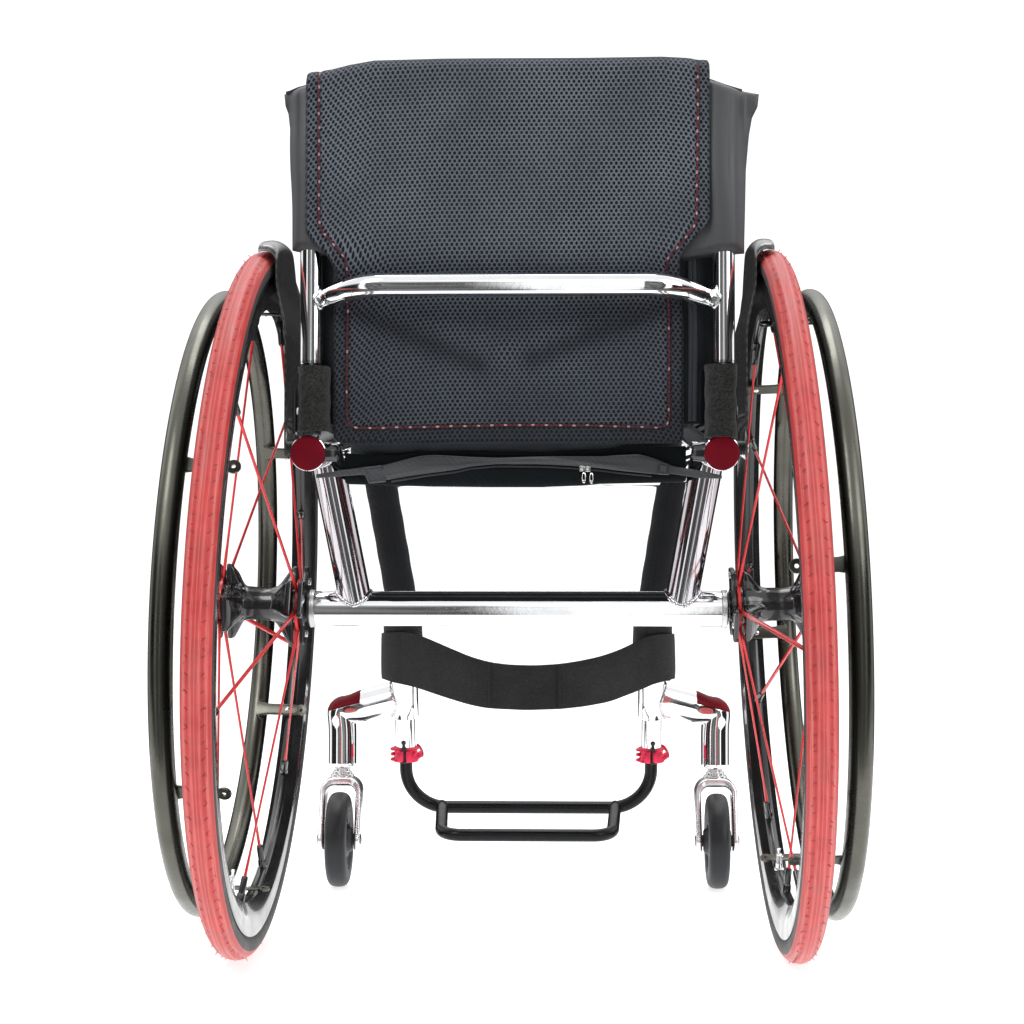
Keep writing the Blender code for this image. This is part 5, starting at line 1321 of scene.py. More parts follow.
# ------------------------------------------------------------------ back posts, push bar and hinges
for word, s in SIDES:
    x = s * POST_X + (0.0036 if s < 0 else 0)
    sh = Shape()
    sh.tube(dense([V(x, POST_Y, 0.5010), V(x, POST_Y, POST_TOP)], 0.01), POST_R, 48, 0, first=Vector((0, 1, 0)))
    prof = [(TONGUE_R * math.sin(math.radians(a)), HINGE_Z - TONGUE_R * math.cos(math.radians(a))) for a in range(6, 91, 7)] + [(TONGUE_R, 0.4995), (TONGUE_R - 0.0004, 0.5004)]
    sh.turned(prof, 48, 1, Matrix.Translation(V(x, POST_Y, 0)))
    sh.turned([(TONGUE_R - 0.0010, 0.4998), (TONGUE_R + 0.0008, 0.4999), (POST_R - 0.0005, 0.5003), (POST_R, 0.5012), (POST_R, 0.5030)], 48, 0, Matrix.Translation(V(x, POST_Y, 0)))
    sh.done(word + "_post", [POLISHED, BLACK_PLASTIC], "backrest", nodes=[word + "_back_post"], slot="polished_aluminium", sharp=35)

bar_pts = dense(fillet([V(-POST_X + 0.0036, POST_Y, BAR_Z), V(-0.1520, POST_Y - 0.0020, BAR_Z + 0.0030), V(-0.1240, BAR_MID_Y, BAR_MID_Z), V(0.1240, BAR_MID_Y, BAR_MID_Z), V(0.1535, POST_Y - 0.0020, BAR_Z + 0.0030), V(POST_X, POST_Y, BAR_Z)], [0.022, 0.050, 0.050, 0.022], 2.0), 0.006)
bar_r = [POST_R * (0.86 + 0.14 * smooth(min((p - bar_pts[0]).length, (p - bar_pts[-1]).length), 0.010, 0.024)) for p in bar_pts]
Shape().tube(bar_pts, bar_r, 56, first=Vector((0, 0, 1))).done("push_bar", [POLISHED], "backrest", nodes=["rigidiser_bar"], slot="polished_aluminium", sharp=40)
beads = Shape()
for s in (-1, 1):
    x = s * POST_X + (0.0036 if s < 0 else 0)
    a, b = V(x, POST_Y, BAR_Z), V(s * (0.1520 if s < 0 else 0.1535), POST_Y - 0.0020, BAR_Z + 0.0030)
    weld(beads, a, (b - a).normalized(), POST_R * 0.87, V(x, POST_Y, 0.5), Vector((0, 0, 1)), POST_R, 0.0022, lumps=0)
beads.done("push_bar_welds", [POLISHED], "backrest", sharp=60)


# ------------------------------------------------------------------ soft back
def curve_at(table, t):
    """Smooth value from a table of (place, value)."""
    if t <= table[0][0]:
        return table[0][1]
    for (a, x), (b, y) in zip(table, table[1:]):
        if t <= b:
            k = (t - a) / (b - a)
            k = k * k * (3 - 2 * k)
            return x + (y - x) * k
    return table[-1][1]


def line_at(table, t):
    if t <= table[0][0]:
        return table[0][1]
    for (a, x), (b, y) in zip(table, table[1:]):
        if t <= b:
            return x + (y - x) * (t - a) / (b - a)
    return table[-1][1]


FLAP_L = [(0.4350, -0.1400), (0.4364, -0.1440), (0.4400, -0.1474), (0.4460, -0.1487), (0.5300, -0.1490), (0.5660, -0.1472), (0.5760, -0.1455), (0.5860, -0.1510), (0.5990, -0.1640), (0.6060, -0.1692), (0.6120, -0.1700), (0.8, -0.1700)]
FLAP_R = [(0.4350, 0.1325), (0.4364, 0.1352), (0.4390, 0.1368), (0.4440, 0.1376), (0.5300, 0.1374), (0.5740, 0.1345), (0.5850, 0.1342), (0.5930, 0.1385), (0.6060, 0.1505), (0.6120, 0.1565), (0.6180, 0.1585), (0.8, 0.1585)]


def crown(x):
    """Height of the cover's top across its width."""
    return line_at([(-0.172, 0.7375), (-0.168, 0.7408), (-0.160, 0.7422), (-0.150, 0.7432), (-0.135, 0.7470), (-0.115, 0.7505), (-0.06, 0.7518), (0.05, 0.7520), (0.120, 0.7524), (0.140, 0.7512), (0.150, 0.7497), (0.160, 0.7492)], x)


def cover_path(x):
    """Middle line of the cover at a distance x across: front panel, over the top, rear flap. (y, z) from the axle line."""
    top = crown(x) - 0.0020
    mid, half = -0.1142, 0.0163
    pts = []
    for z, y in ((0.4710, -0.1050), (0.50, -0.1050), (0.54, -0.1046), (0.565, -0.1030), (0.585, -0.1002), (0.61, -0.0985), (0.65, -0.0980), (0.69, -0.0979), (top - 0.018, -0.0979)):
        pts.append((y, z))
    for k in range(1, 12):
        a = math.pi * k / 12
        pts.append((mid + half * math.cos(a), top - 0.0150 + 0.0150 * math.sin(a) ** 0.9))
    for z, y in ((top - 0.018, -0.1305), (0.69, -0.1306), (0.65, -0.1309), (0.61, -0.1308), (0.588, -0.1296), (0.570, -0.1230), (0.556, -0.1172), (0.53, -0.1166), (0.49, -0.1164), (0.46, -0.1168), (0.4355, -0.1180)):
        pts.append((y, z))
    return pts


STITCH = [(-0.1590, 0.7400, 1), (-0.1588, 0.70, 1), (-0.1586, 0.66, 1), (-0.1585, 0.6150, 1), (-0.1560, 0.6070, 1), (-0.1372, 0.5853, 1), (-0.1360, 0.572, 1), (-0.1368, 0.530, 1), (-0.1372, 0.49, 1), (-0.1368, 0.4585, 1), (-0.1345, 0.4505, 1), (-0.1280, 0.4480, 1), (-0.08, 0.4488, 1), (0.0, 0.4505, 1), (0.06, 0.4500, 1), (0.115, 0.4482, 1), (0.1235, 0.4495, 1), (0.1256, 0.456, 1), (0.1257, 0.50, 1), (0.1255, 0.545, 1), (0.1230, 0.572, 1), (0.1243, 0.5844, 1), (0.1450, 0.6085, 1), (0.1475, 0.6160, 1), (0.1480, 0.66, 1), (0.1486, 0.70, 1), (0.1488, 0.7440, 1)]


def seg_distance(px, pz, a, b):
    dx, dz = b[0] - a[0], b[1] - a[1]
    k = np.clip(((px - a[0]) * dx + (pz - a[1]) * dz) / (dx * dx + dz * dz), 0, 1)
    return np.hypot(px - a[0] - k * dx, pz - a[1] - k * dz)


def make_cover():
    na, nb = ((330, 190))
    # even steps along the middle line
    ref = cover_path(0.0)
    P = np.zeros((na, nb)); X = np.zeros((na, nb)); Y = np.zeros((na, nb)); Z = np.zeros((na, nb)); S = np.zeros((na, nb))
    us = np.linspace(0, 1, nb)
    us = 0.5 - 0.5 * np.cos(np.pi * np.clip(us, 0, 1)) * (1 - 0.0)
    us = 0.35 * us + 0.65 * np.linspace(0, 1, nb)
    for j, u in enumerate(us):
        # width depends on height, so walk the line with a trial x first
        path = cover_path(-0.17 + 0.3285 * u)
        sm = spline([Vector((0, y, z)) for y, z in path], 6)
        d = [0.0]
        for p, q in zip(sm, sm[1:]):
            d.append(d[-1] + (q - p).length)
        d = np.array(d)
        ys, zs = np.array([p.y for p in sm]), np.array([p.z for p in sm])
        t = np.linspace(0, 1, na)
        t = 0.12 * (0.5 - 0.5 * np.cos(np.pi * t)) + 0.88 * t
        Y[:, j] = np.interp(t * d[-1], d, ys)
        Z[:, j] = np.interp(t * d[-1], d, zs)
        S[:, j] = t * d[-1]
    top_row = int(np.argmax(Z[:, nb // 2]))
    for i in range(na):
        for j, u in enumerate(us):
            z = Z[i, j]
            if i >= top_row:
                lo, hi = line_at(FLAP_L, z), line_at(FLAP_R, z)
            else:
                w = smooth(z, 0.560, 0.600)
                r = 0.010 * (1 - smooth(z, 0.4710, 0.4820)) ** 2
                lo, hi = -0.1440 - 0.0255 * w + r, 0.1440 + 0.0140 * w - r
            X[i, j] = lo + (hi - lo) * u
    rear = np_step(np.arange(na)[:, None] * np.ones((1, nb)), top_row - 4, top_row + 6)
    # soft swells and the long folds under the push bar
    swell = np.zeros((na, nb))
    for k, (fx, fz, ph, amp) in enumerate(((17, 11, 0.4, 0.0011), (9, 23, 1.9, 0.0009), (31, 14, 4.0, 0.0006), (44, 37, 2.2, 0.00035))):
        swell += amp * np.sin(fx * X + ph) * np.cos(fz * Z + 1.7 * ph)
    fold = 0.0026 * np.exp(-(seg_distance(X, Z, (-0.135, 0.556), (-0.010, 0.510)) / 0.013) ** 2) + 0.0024 * np.exp(-(seg_distance(X, Z, (-0.005, 0.512), (0.125, 0.551)) / 0.012) ** 2)
    fold -= 0.0016 * np.exp(-(seg_distance(X, Z, (-0.120, 0.535), (0.0, 0.492)) / 0.014) ** 2)
    fold += 0.0012 * np.exp(-(seg_distance(X, Z, (0.08, 0.60), (0.13, 0.70)) / 0.016) ** 2)
    low = np_step(Z, 0.575, 0.545)
    dist = np.full((na, nb), 1.0)
    for a, b in zip(STITCH, STITCH[1:]):
        dist = np.minimum(dist, seg_distance(X, Z, a, b))
    groove = np.exp(-(dist / 0.0016) ** 2)
    pucker = np.exp(-(dist / 0.0050) ** 2) * np.sin((X + Z) * 2 * np.pi / 0.0075)
    dy = -(swell * 0.9 + fold * low) * rear + 0.0006 * pucker * rear * 0.5
    Yc = Y + dy
    # normals of the middle surface, from differences
    gx = np.gradient(np.stack([X, Yc, Z], -1), axis=1)
    gs = np.gradient(np.stack([X, Yc, Z], -1), axis=0)
    N = np.cross(gx, gs)
    N /= np.maximum(np.linalg.norm(N, axis=-1, keepdims=True), 1e-9)
    # thickness: 4 mm, rounded off at the cut edges, pinched along the seam
    edge_u = np.minimum(X - X[:, :1], X[:, -1:] - X)
    edge_s = np.minimum(S - S[:1, :], S[-1:, :] - S)
    e = np.minimum(edge_u, edge_s)
    h = 0.0020 * np.sqrt(np.clip(1 - (1 - np.clip(e / 0.0026, 0, 1)) ** 2, 0, 1)) + 0.00003
    puff = 0.00035 * np_step(dist, 0.002, 0.006) * np_step(e, 0.0, 0.004)
    hr = h + (puff - 0.00125 * groove * np_step(e, 0.0, 0.003)) * rear
    hf = h
    A = np.stack([X, Yc + AXLE_Y, Z], -1) + N * hr[..., None]
    B = np.stack([X, Yc + AXLE_Y, Z], -1) - N * hf[..., None]
    # which side is the rear: N may point forward on the flap
    j, i = nb // 2, na - 20
    if N[i, j, 1] > 0:
        A = np.stack([X, Yc + AXLE_Y, Z], -1) + N * hf[..., None]
        B = np.stack([X, Yc + AXLE_Y, Z], -1) - N * hr[..., None]
        outer_sign = -1
    else:
        outer_sign = 1
    co = np.concatenate([A.reshape(-1, 3), B.reshape(-1, 3)]).astype(np.float32)
    n = na * nb
    faces = []
    a, b = np.meshgrid(np.arange(na - 1), np.arange(nb - 1), indexing="ij")
    q = np.stack([a * nb + b, a * nb + b + 1, (a + 1) * nb + b + 1, (a + 1) * nb + b], -1).reshape(-1, 4)
    rimi = [(i * nb, (i + 1) * nb) for i in range(na - 1)] + [((i + 1) * nb + nb - 1, i * nb + nb - 1) for i in range(na - 1)]
    rimi += [(j + 1, j) for j in range(nb - 1)] + [((na - 1) * nb + j, (na - 1) * nb + j + 1) for j in range(nb - 1)]
    rq = np.array([(p, r, r + n, p + n) for p, r in rimi])
    quads = np.concatenate([q, q[:, ::-1] + n, rq])
    me = bpy.data.meshes.new("back_cover_cloth")
    me.vertices.add(len(co)); me.vertices.foreach_set("co", co.ravel())
    me.loops.add(quads.size); me.loops.foreach_set("vertex_index", quads.ravel().astype(np.int32))
    me.polygons.add(len(quads)); me.polygons.foreach_set("loop_start", (np.arange(len(quads)) * 4).astype(np.int32))
    me.update(calc_edges=True)
    me.materials.append(COVER_MESH)
    at = me.attributes.new("pat", "FLOAT_VECTOR", "POINT")
    pat = np.stack([X * 1000, S * 1000, np.zeros_like(X)], -1).reshape(-1, 3)
    at.data.foreach_set("vector", np.concatenate([pat, pat]).ravel().astype(np.float32))
    # darker hems and cut edges, with painted shade: a painted shadow along the seam, over the lower flap under the push
    # bar, in the folds below the bar and along the top edge
    inside = np.ones((na, nb))
    xl = np.interp(Z, [0.4435, 0.585, 0.6075, 0.75], [-0.1368, -0.1368, -0.1585, -0.1588])
    xr = np.interp(Z, [0.4435, 0.585, 0.6110, 0.75], [0.1255, 0.1245, 0.1477, 0.1486])
    hem = np.clip(np.maximum(xl - X, X - xr) / 0.0012 + 0.5, 0, 1)
    hem = np.maximum(hem, np.clip((0.4492 - Z) / 0.0012 + 0.5, 0, 1))
    dark = 0.10 + 0.24 * hem + 0.55 * np.exp(-(dist / 0.0015) ** 2)
    dark += 0.36 * np_step(Z, 0.600, 0.560) + 0.10 * np_step(Z, 0.50, 0.455)
    dark += 0.30 * np.exp(-(seg_distance(X, Z, (-0.130, 0.545), (-0.030, 0.500)) / 0.010) ** 2) + 0.30 * np.exp(-(seg_distance(X, Z, (0.015, 0.505), (0.120, 0.545)) / 0.010) ** 2)
    dark += 0.5 * np.exp(-(e / 0.0016) ** 2) + 0.62 * np_step(Z, 0.7435, 0.7495)
    dark = np.clip(dark, 0, 0.92)
    dark[:top_row - 6] = 0.12
    hem_and_painted_shade = me.attributes.new("hem_and_painted_shade", "FLOAT_VECTOR", "POINT")
    tn = np.stack([dark, dark, dark], -1).reshape(-1, 3)
    hem_and_painted_shade.data.foreach_set("vector", np.concatenate([tn, tn]).ravel().astype(np.float32))
    me.validate()
    bm = bmesh.new(); bm.from_mesh(me); bmesh.ops.recalc_face_normals(bm, faces=bm.faces[:]); bm.to_mesh(me); bm.free()
    me.shade_smooth()
    ob = bpy.data.objects.new("back_cover_cloth", me)
    bpy.context.scene.collection.objects.link(ob)
    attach(ob, "backrest")
    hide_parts("back_cover")

    # the rear surface as a look-up, for stitches and other things that lie on it
    rr = slice(top_row, na)

    def surface(x, z):
        k = (X[rr] - x) ** 2 + (Z[rr] - z) ** 2
        i, j = np.unravel_index(np.argmin(k), k.shape)
        i += top_row
        i, j = min(max(i, 1), na - 2), min(max(j, 1), nb - 2)
        n = Vector(N[i, j]) * outer_sign
        base = Vector((A if outer_sign > 0 else B)[i, j])
        # slide to the exact x and z on the local plane
        if abs(n.y) > 0.2:
            y = base.y - (n.x * (x - base.x) + n.z * (z - base.z)) / n.y
        else:
            y = base.y
        return Vector((x, y, z)), n
    return ob, surface


cover_ob, flap_at = make_cover()


def stitches(name, line, at, pitch, long, thick, mats, body, lift=0.0004, alternate=False, parent=None):
    """Separate raised stitches along a line of (x, z) on a surface."""
    pts = [Vector((x, 0, z)) for x, z in line]
    run, out = [0.0], Shape()
    for p, q in zip(pts, pts[1:]):
        run.append(run[-1] + (q - p).length)
    total, k, n = run[-1], 0, 0

    def place(t):
        i = max(0, min(len(pts) - 2, next((j for j in range(len(run) - 1) if run[j + 1] >= t), len(pts) - 2)))
        return pts[i].lerp(pts[i + 1], (t - run[i]) / max(1e-9, run[i + 1] - run[i]))

    t = 0.002
    while t + long < total - 0.001:
        ring, steps = [], 5
        pos = []
        for j in range(steps):
            p = place(t + long * j / (steps - 1))
            s, nrm = at(p.x, p.z)
            pos.append(s + nrm * (lift * (1.0 if 0 < j < steps - 1 else -0.4)))
        wob = 0.00018 * math.sin(n * 2.7)
        pos = [q + Vector((wob, 0, -wob)) for q in pos]
        out.tube(pos, [thick * 0.55, thick, thick * 1.05, thick, thick * 0.55], 8, 1 if alternate and n % (9 if 0.455 < place(t).z < 0.575 else 3) == 0 else 0)
        t += pitch
        n += 1
    ob = out.done(name, mats, body, sharp=70)
    return ob


line = [(x, z) for x, z, _ in STITCH]
fine = []
for (a, b), (c, d) in zip(line, line[1:]):
    m = max(1, int(math.hypot(c - a, d - b) / 0.004))
    fine += [(a + (c - a) * k / m, b + (d - b) * k / m) for k in range(m)]
fine.append(line[-1])
stitches("cover_stitches", fine, flap_at, 0.0037, 0.0027, 0.00078, [THREAD_RED, THREAD_PALE], "backrest", lift=0.0006, alternate=True)
Shape().tube([flap_at(x, z)[0] + flap_at(x, z)[1] * 0.0001 for x, z in fine], 0.0007, 8, squash=(1.5, 0.5)).done("cover_seam_line", [THREAD_BLACK], "backrest", sharp=70)


# wings of the back upholstery: soft sleeves over the posts
def wing(word, s, xout, ztop, zlow, xin=0.130):
    """xout, ztop and zlow give the outer edge by height and the top and bottom edges by x, all for a positive x."""
    nz, nt = ((90, 96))
    X = np.zeros((nz, nt)); Y = X.copy(); Z = X.copy()
    for i in range(nz):
        t = i / (nz - 1)
        te = 0.5 - 0.5 * math.cos(math.pi * t)
        t = 0.55 * te + 0.45 * t
        for j in range(nt):
            a = TAU * j / nt
            zt = zlow(0.17) + (ztop(0.17) - zlow(0.17)) * t
            xo = xout(zt)
            u = 0.5 - 0.5 * math.cos(a) if True else 0
            c = math.cos(a)
            x = xin + (xo - xin) * (0.5 + 0.5 * math.copysign(abs(c) ** 0.72, c))
            # thickness across: full over the post, thin at the outer hem
            w = 0.0022 + 0.0122 * math.exp(-((x - 0.1700) / 0.0140) ** 4) + 0.0085 * smooth(x, 0.168, 0.150) * (1 - math.exp(-((x - 0.1700) / 0.0140) ** 4))
            w *= 1 - 0.10 * smooth(x, xo - 0.004, xo)
            y = -0.1148 + w * math.copysign(abs(math.sin(a)) ** 0.55, math.sin(a))
            z = zlow(x) + (ztop(x) - zlow(x)) * t
            # draw in at the top and bottom hems
            e = min(z - zlow(x), ztop(x) - z)
            k = math.sqrt(max(0.0, 1 - (1 - min(1.0, e / 0.0075)) ** 2))
            y = -0.1148 + (y + 0.1148) * (0.16 + 0.84 * k)
            # slack
            y += 0.0010 * math.sin(38 * z + 30 * x + (0.7 if s > 0 else 0)) * smooth(x, 0.150, 0.165) + 0.0007 * math.sin(95 * x + 22 * z)
            x += 0.0005 * math.sin(70 * z + 2 * s)
            X[i, j], Y[i, j], Z[i, j] = s * x, y + AXLE_Y, z
    return X, Y, Z


def closed_skin(name, X, Y, Z, mats, body, **kw):
    """Rows of rings closed at both ends by fans."""
    sh = Shape()
    sh.rings([[Vector((X[i, j], Y[i, j], Z[i, j])) for j in range(X.shape[1])] for i in range(X.shape[0])], 0)
    return sh.done(name, mats, body, **kw)


left_out = lambda z: line_at([(0.55, 0.1815), (0.60, 0.1820), (0.66, 0.1842), (0.6980, 0.1848), (0.7120, 0.1868), (0.7200, 0.1895), (0.7300, 0.1905)], z)
right_out = lambda z: line_at([(0.55, 0.1868), (0.60, 0.1872), (0.66, 0.1888), (0.6900, 0.1915), (0.7050, 0.1940), (0.7150, 0.1985), (0.7300, 0.2000)], z)
left_top = lambda x: line_at([(0.10, 0.7330), (0.165, 0.7318), (0.178, 0.7285), (0.1850, 0.7255), (0.1905, 0.7240)], x)
right_top = lambda x: line_at([(0.10, 0.7345), (0.160, 0.7330), (0.172, 0.7285), (0.185, 0.7245), (0.2000, 0.7215)], x)
left_low = lambda x: line_at([(0.10, 0.5900), (0.155, 0.5900), (0.178, 0.5935), (0.1905, 0.5960)], x)
right_low = lambda x: line_at([(0.10, 0.5850), (0.140, 0.5850), (0.165, 0.5895), (0.1905, 0.5905), (0.2000, 0.5900)], x)

Wl = wing("left", -1, left_out, left_top, left_low)
left_wing = closed_skin("left_back_wing", *Wl, [WING_CLOTH], "backrest", slot="grey_fabric", sharp=60)
right_in = lambda z: min(0.1868, right_out(z))
Wr = wing("right", 1, right_in, right_top, right_low)
right_wing = closed_skin("right_back_wing", *Wr, [WING_CLOTH], "backrest", slot="grey_fabric", sharp=60)
# the outer fin of the right wing is slack cloth and is pressed in as the back folds between the guards
fin = Shape()
rings = []
nz = 70
for i in range(nz):
    t = i / (nz - 1)
    zt = right_low(0.18) + (right_top(0.18) - right_low(0.18)) * t
    xo = max(right_out(zt), 0.1872)
    front, back = [], []
    for j in range(26):
        f = j / 25
        x = 0.1700 + (xo - 0.1700) * (1 - (1 - f) ** 1.7)
        w = 0.0022 + 0.0122 * math.exp(-((x - 0.1700) / 0.0140) ** 4) - 0.0008 + 0.0012 * smooth(x, 0.1760, 0.1835)
        w *= math.sqrt(max(0.0, 1 - (1 - min(1.0, (xo - x) / 0.0045 + 0.02)) ** 2))
        z = right_low(x) + (right_top(x) - right_low(x)) * t
        e = min(z - right_low(x), right_top(x) - z)
        k = math.sqrt(max(0.0, 1 - (1 - min(1.0, e / 0.0075)) ** 2))
        wave = 0.0010 * math.sin(38 * z + 30 * x + 0.7) + 0.0007 * math.sin(95 * x + 22 * z)
        for side, seq in ((1, front), (-1, back)):
            seq.append(Vector((x, -0.1148 + side * w * (0.16 + 0.84 * k) + wave + AXLE_Y, z)))
    rings.append(front + back[::-1])
fin.rings(rings)
fin_ob = fin.done("right_wing_edge", [WING_CLOTH], "backrest", slot="grey_fabric", sharp=60)
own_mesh(fin_ob)

# hems along the wings' top edges
for word, s, top, out in (("left", -1, left_top, left_out(0.72)), ("right", 1, right_top, 0.1868)):
    pts = [V(s * x, -0.1148, top(x) + 0.0002) for x in np.linspace(0.150, out - 0.001, 24)]
    Shape().tube(pts, 0.0013, 12).done(word + "_wing_hem", [BINDING], "backrest", sharp=60)


# panel of the back between the posts, with its bound edges
def back_panel():
    sh = Shape()
    rings = []
    n = 46
    for i in range(n):
        z = 0.4520 + (0.7300 - 0.4520) * i / (n - 1)
        half = 0.1560 + 0.0095 * smooth(z, 0.497, 0.503)
        ring = []
        for j in range(120):
            a = TAU * j / 120
            c, sn = math.cos(a), math.sin(a)
            x = half * math.copysign(abs(c) ** 0.35, c)
            th = 0.0026 * math.copysign(abs(sn) ** 0.5, sn)
            th *= 1 - 0.45 * math.exp(-((abs(x) - 0.1405) / 0.0010) ** 2) - 0.40 * math.exp(-((abs(x) - 0.1500) / 0.0010) ** 2)
            y = -0.1100 + th + 0.0009 * math.sin(60 * z + 4 * x) * (1 if abs(x) < 0.142 else 0.4)
            y += 0.0024 * math.cos(math.pi * min(abs(x), 0.15) / 0.30) + 0.0080 * smooth(abs(x), 0.150, 0.1575)
            ring.append(V(x, y, z))
        rings.append(ring)
    sh.rings(rings)
    return sh.done("back_sling_panel", [SEAT_CLOTH], "backrest", nodes=["back_upholstery"], slot="grey_fabric", sharp=50)


panel_ob = back_panel()
for k, x in enumerate((0.1432, 0.1468, -0.1432, -0.1468)):
    pts = [V(x + 0.0004 * math.sin(40 * z), -0.1136 + 0.0004 * math.sin(70 * z), z) for z in np.linspace(0.454, 0.600, 50)]
    Shape().tube(pts, 0.0011, 10, squash=(1.6, 0.8)).done(f"panel_binding_{k}", [BINDING], "backrest", sharp=60)


# ------------------------------------------------------------------ hinges under woven elastic
for word, s in SIDES:
    x0 = s * POST_X + (-0.0020 if s > 0 else 0.0065)
    zt, zb = (0.4980, 0.4450) if s < 0 else (0.4990, 0.4400)
    sh, rings, pats = Shape(), [], []
    outline = []
    # open in front so the post can fold forward through it
    for k in range(41):
        a = math.radians(-8 - 164 * k / 40)
        ca, sa = math.cos(a), math.sin(a)
        outline.append((0.0127 * math.copysign(abs(ca) ** 0.62, ca), -0.1150 + 0.0165 * math.copysign(abs(sa) ** 0.70, sa)))
    outline = [(0.0127, -0.0995)] + outline + [(-0.0127, -0.0995)]
    length = [0.0]
    for p, q in zip(outline, outline[1:]):
        length.append(length[-1] + math.hypot(q[0] - p[0], q[1] - p[1]))
    nz = 26
    for i in range(nz):
        z = zb + (zt - zb) * i / (nz - 1)
        hem = 0.0005 * (1 if (zt - z) < 0.0045 or (z - zb) < 0.0035 else 0)
        ring, pat = [], []
        for side in (1, 0):
            seq = list(range(len(outline))) if side else list(range(len(outline)))[::-1]
            for k in seq:
                ox, oy = outline[k]
                cx, cy = ox, oy + 0.1150
                r = math.hypot(cx, cy) or 1
                grow = (0.0 + hem if side else -0.0014)
                puff = 0.0004 * math.sin(3.1 * z * 100 + k * 0.25)
                ring.append(V(x0 + ox + cx / r * (grow + puff), oy + cy / r * (grow + puff), z))
                pat.append((z * 1000, length[k] * 1000))
        rings.append(ring)
        pats.append(pat)
    sh.rings(rings, 0, pats=pats)
    sh.done(word + "_hinge_wrap", [WRAP], "frame", nodes=[word + "_hinge_bracket"], slot="black_webbing", sharp=60)
    # the bracket inside: two cheeks
    br = Shape()
    for k in (-1, 1):
        br.plate([(POST_Y + AXLE_Y - 0.0095, 0.4425), (POST_Y + AXLE_Y + 0.0100, 0.4425), (POST_Y + AXLE_Y + 0.0100, 0.4700), (POST_Y + AXLE_Y + 0.0040, 0.4800), (POST_Y + AXLE_Y - 0.0095, 0.4800)], "X", s * POST_X + (0.0080 if k > 0 else -0.0106), s * POST_X + (0.0106 if k > 0 else -0.0080), 0.0006, 2)
    br.done(word + "_hinge_cheeks", [BLACK_GLOSS], "frame", sharp=30)
    P = Matrix.Translation(V(s * POST_X, POST_Y, HINGE_Z)) @ Matrix.Rotation(s * math.pi / 2, 4, "Y")
    Shape().turned([(0.0030, -0.0116), (0.0038, -0.0112), (0.0038, -0.0107), (0.0030, -0.0106), (0.0030, 0.0106), (0.0038, 0.0107), (0.0038, 0.0112), (0.0030, 0.0116)], 32, 0, P).done(word + "_hinge_pivot", [STEEL], "frame", nodes=[word + "_hinge_pin"], slot="bright_steel", sharp=30)


# ------------------------------------------------------------------ seat
SEAT = Matrix.Translation(V(0.0, -0.0980, seat_line(-0.0980))) @ Matrix.Rotation(math.atan2(0.0595, 0.4450), 4, "X")
SEAT_ORIGIN = V(0.0, -0.0980, seat_line(-0.0980))


def round_box(half, y0, y1, z0, z1, r, step):
    """Closed box mesh with all edges rounded, ready to be filled like a cushion."""
    bm = bmesh.new()
    bmesh.ops.create_cube(bm, size=1.0)
    for v in bm.verts:
        v.co = Vector((v.co.x * 2 * half, y0 + (v.co.y + 0.5) * (y1 - y0), z0 + (v.co.z + 0.5) * (z1 - z0)))
    upright = [e for e in bm.edges if abs(e.verts[0].co.z - e.verts[1].co.z) > 0.01]
    bmesh.ops.bevel(bm, geom=upright, offset=0.024, segments=6, profile=0.5, affect="EDGES")
    flat = [e for e in bm.edges if len(e.link_faces) == 2 and e.calc_face_angle(0.0) > math.radians(60)]
    bmesh.ops.bevel(bm, geom=flat, offset=r, segments=4, profile=0.5, affect="EDGES")
    me = bpy.data.meshes.new("cushion_blank")
    bm.to_mesh(me)
    bm.free()
    ob = bpy.data.objects.new("cushion_blank", me)
    bpy.context.scene.collection.objects.link(ob)
    mod = ob.modifiers.new("even", "REMESH")
    mod.mode = "VOXEL"
    mod.voxel_size = step
    got = bpy.data.meshes.new_from_object(ob.evaluated_get(bpy.context.evaluated_depsgraph_get()))
    ob.modifiers.clear()
    ob.data = got
    return ob


def fill(ob, rim_z, pressure, cap):
    """Blow the closed skin up a little with its two seams held, as foam does in a tight cover."""
    me = ob.data
    start = np.zeros(len(me.vertices) * 3, np.float32)
    me.vertices.foreach_get("co", start)
    start = start.reshape(-1, 3).copy()
    group = ob.vertex_groups.new(name="seam")
    for i, (x, y, z) in enumerate(start):
        near = min(abs(z - rim_z[0]), abs(z - rim_z[1]))
        inside = 0.1300 - abs(x) > 0.004 and 0.012 < y < 0.370
        if near < 0.0035 and not inside:
            group.add([i], 1.0, "REPLACE")
    cloth = ob.modifiers.new("fill", "CLOTH")
    cs = cloth.settings
    cs.quality = 6
    cs.mass = 0.3
    cs.tension_stiffness = cs.compression_stiffness = 30
    cs.shear_stiffness = 12
    cs.bending_stiffness = 4
    cs.use_pressure = True
    cs.uniform_pressure_force = pressure
    cs.effector_weights.gravity = 0
    cs.vertex_group_mass = "seam"
    cs.pin_stiffness = 1.0
    cloth.collision_settings.use_collision = False
    cloth.point_cache.frame_start, cloth.point_cache.frame_end = 1, 20
    scene = bpy.context.scene
    for k in range(1, 21):
        scene.frame_set(k)
    ev = ob.evaluated_get(bpy.context.evaluated_depsgraph_get())
    got = np.zeros(len(me.vertices) * 3, np.float32)
    ev.data.vertices.foreach_get("co", got)
    got = got.reshape(-1, 3).copy()
    ob.modifiers.clear()
    scene.frame_set(1)
    move = got - start
    long = np.linalg.norm(move, axis=1, keepdims=True)
    move *= np.minimum(1.0, cap / np.maximum(long, 1e-9))
    me.vertices.foreach_set("co", (start + move).ravel())
    me.update()


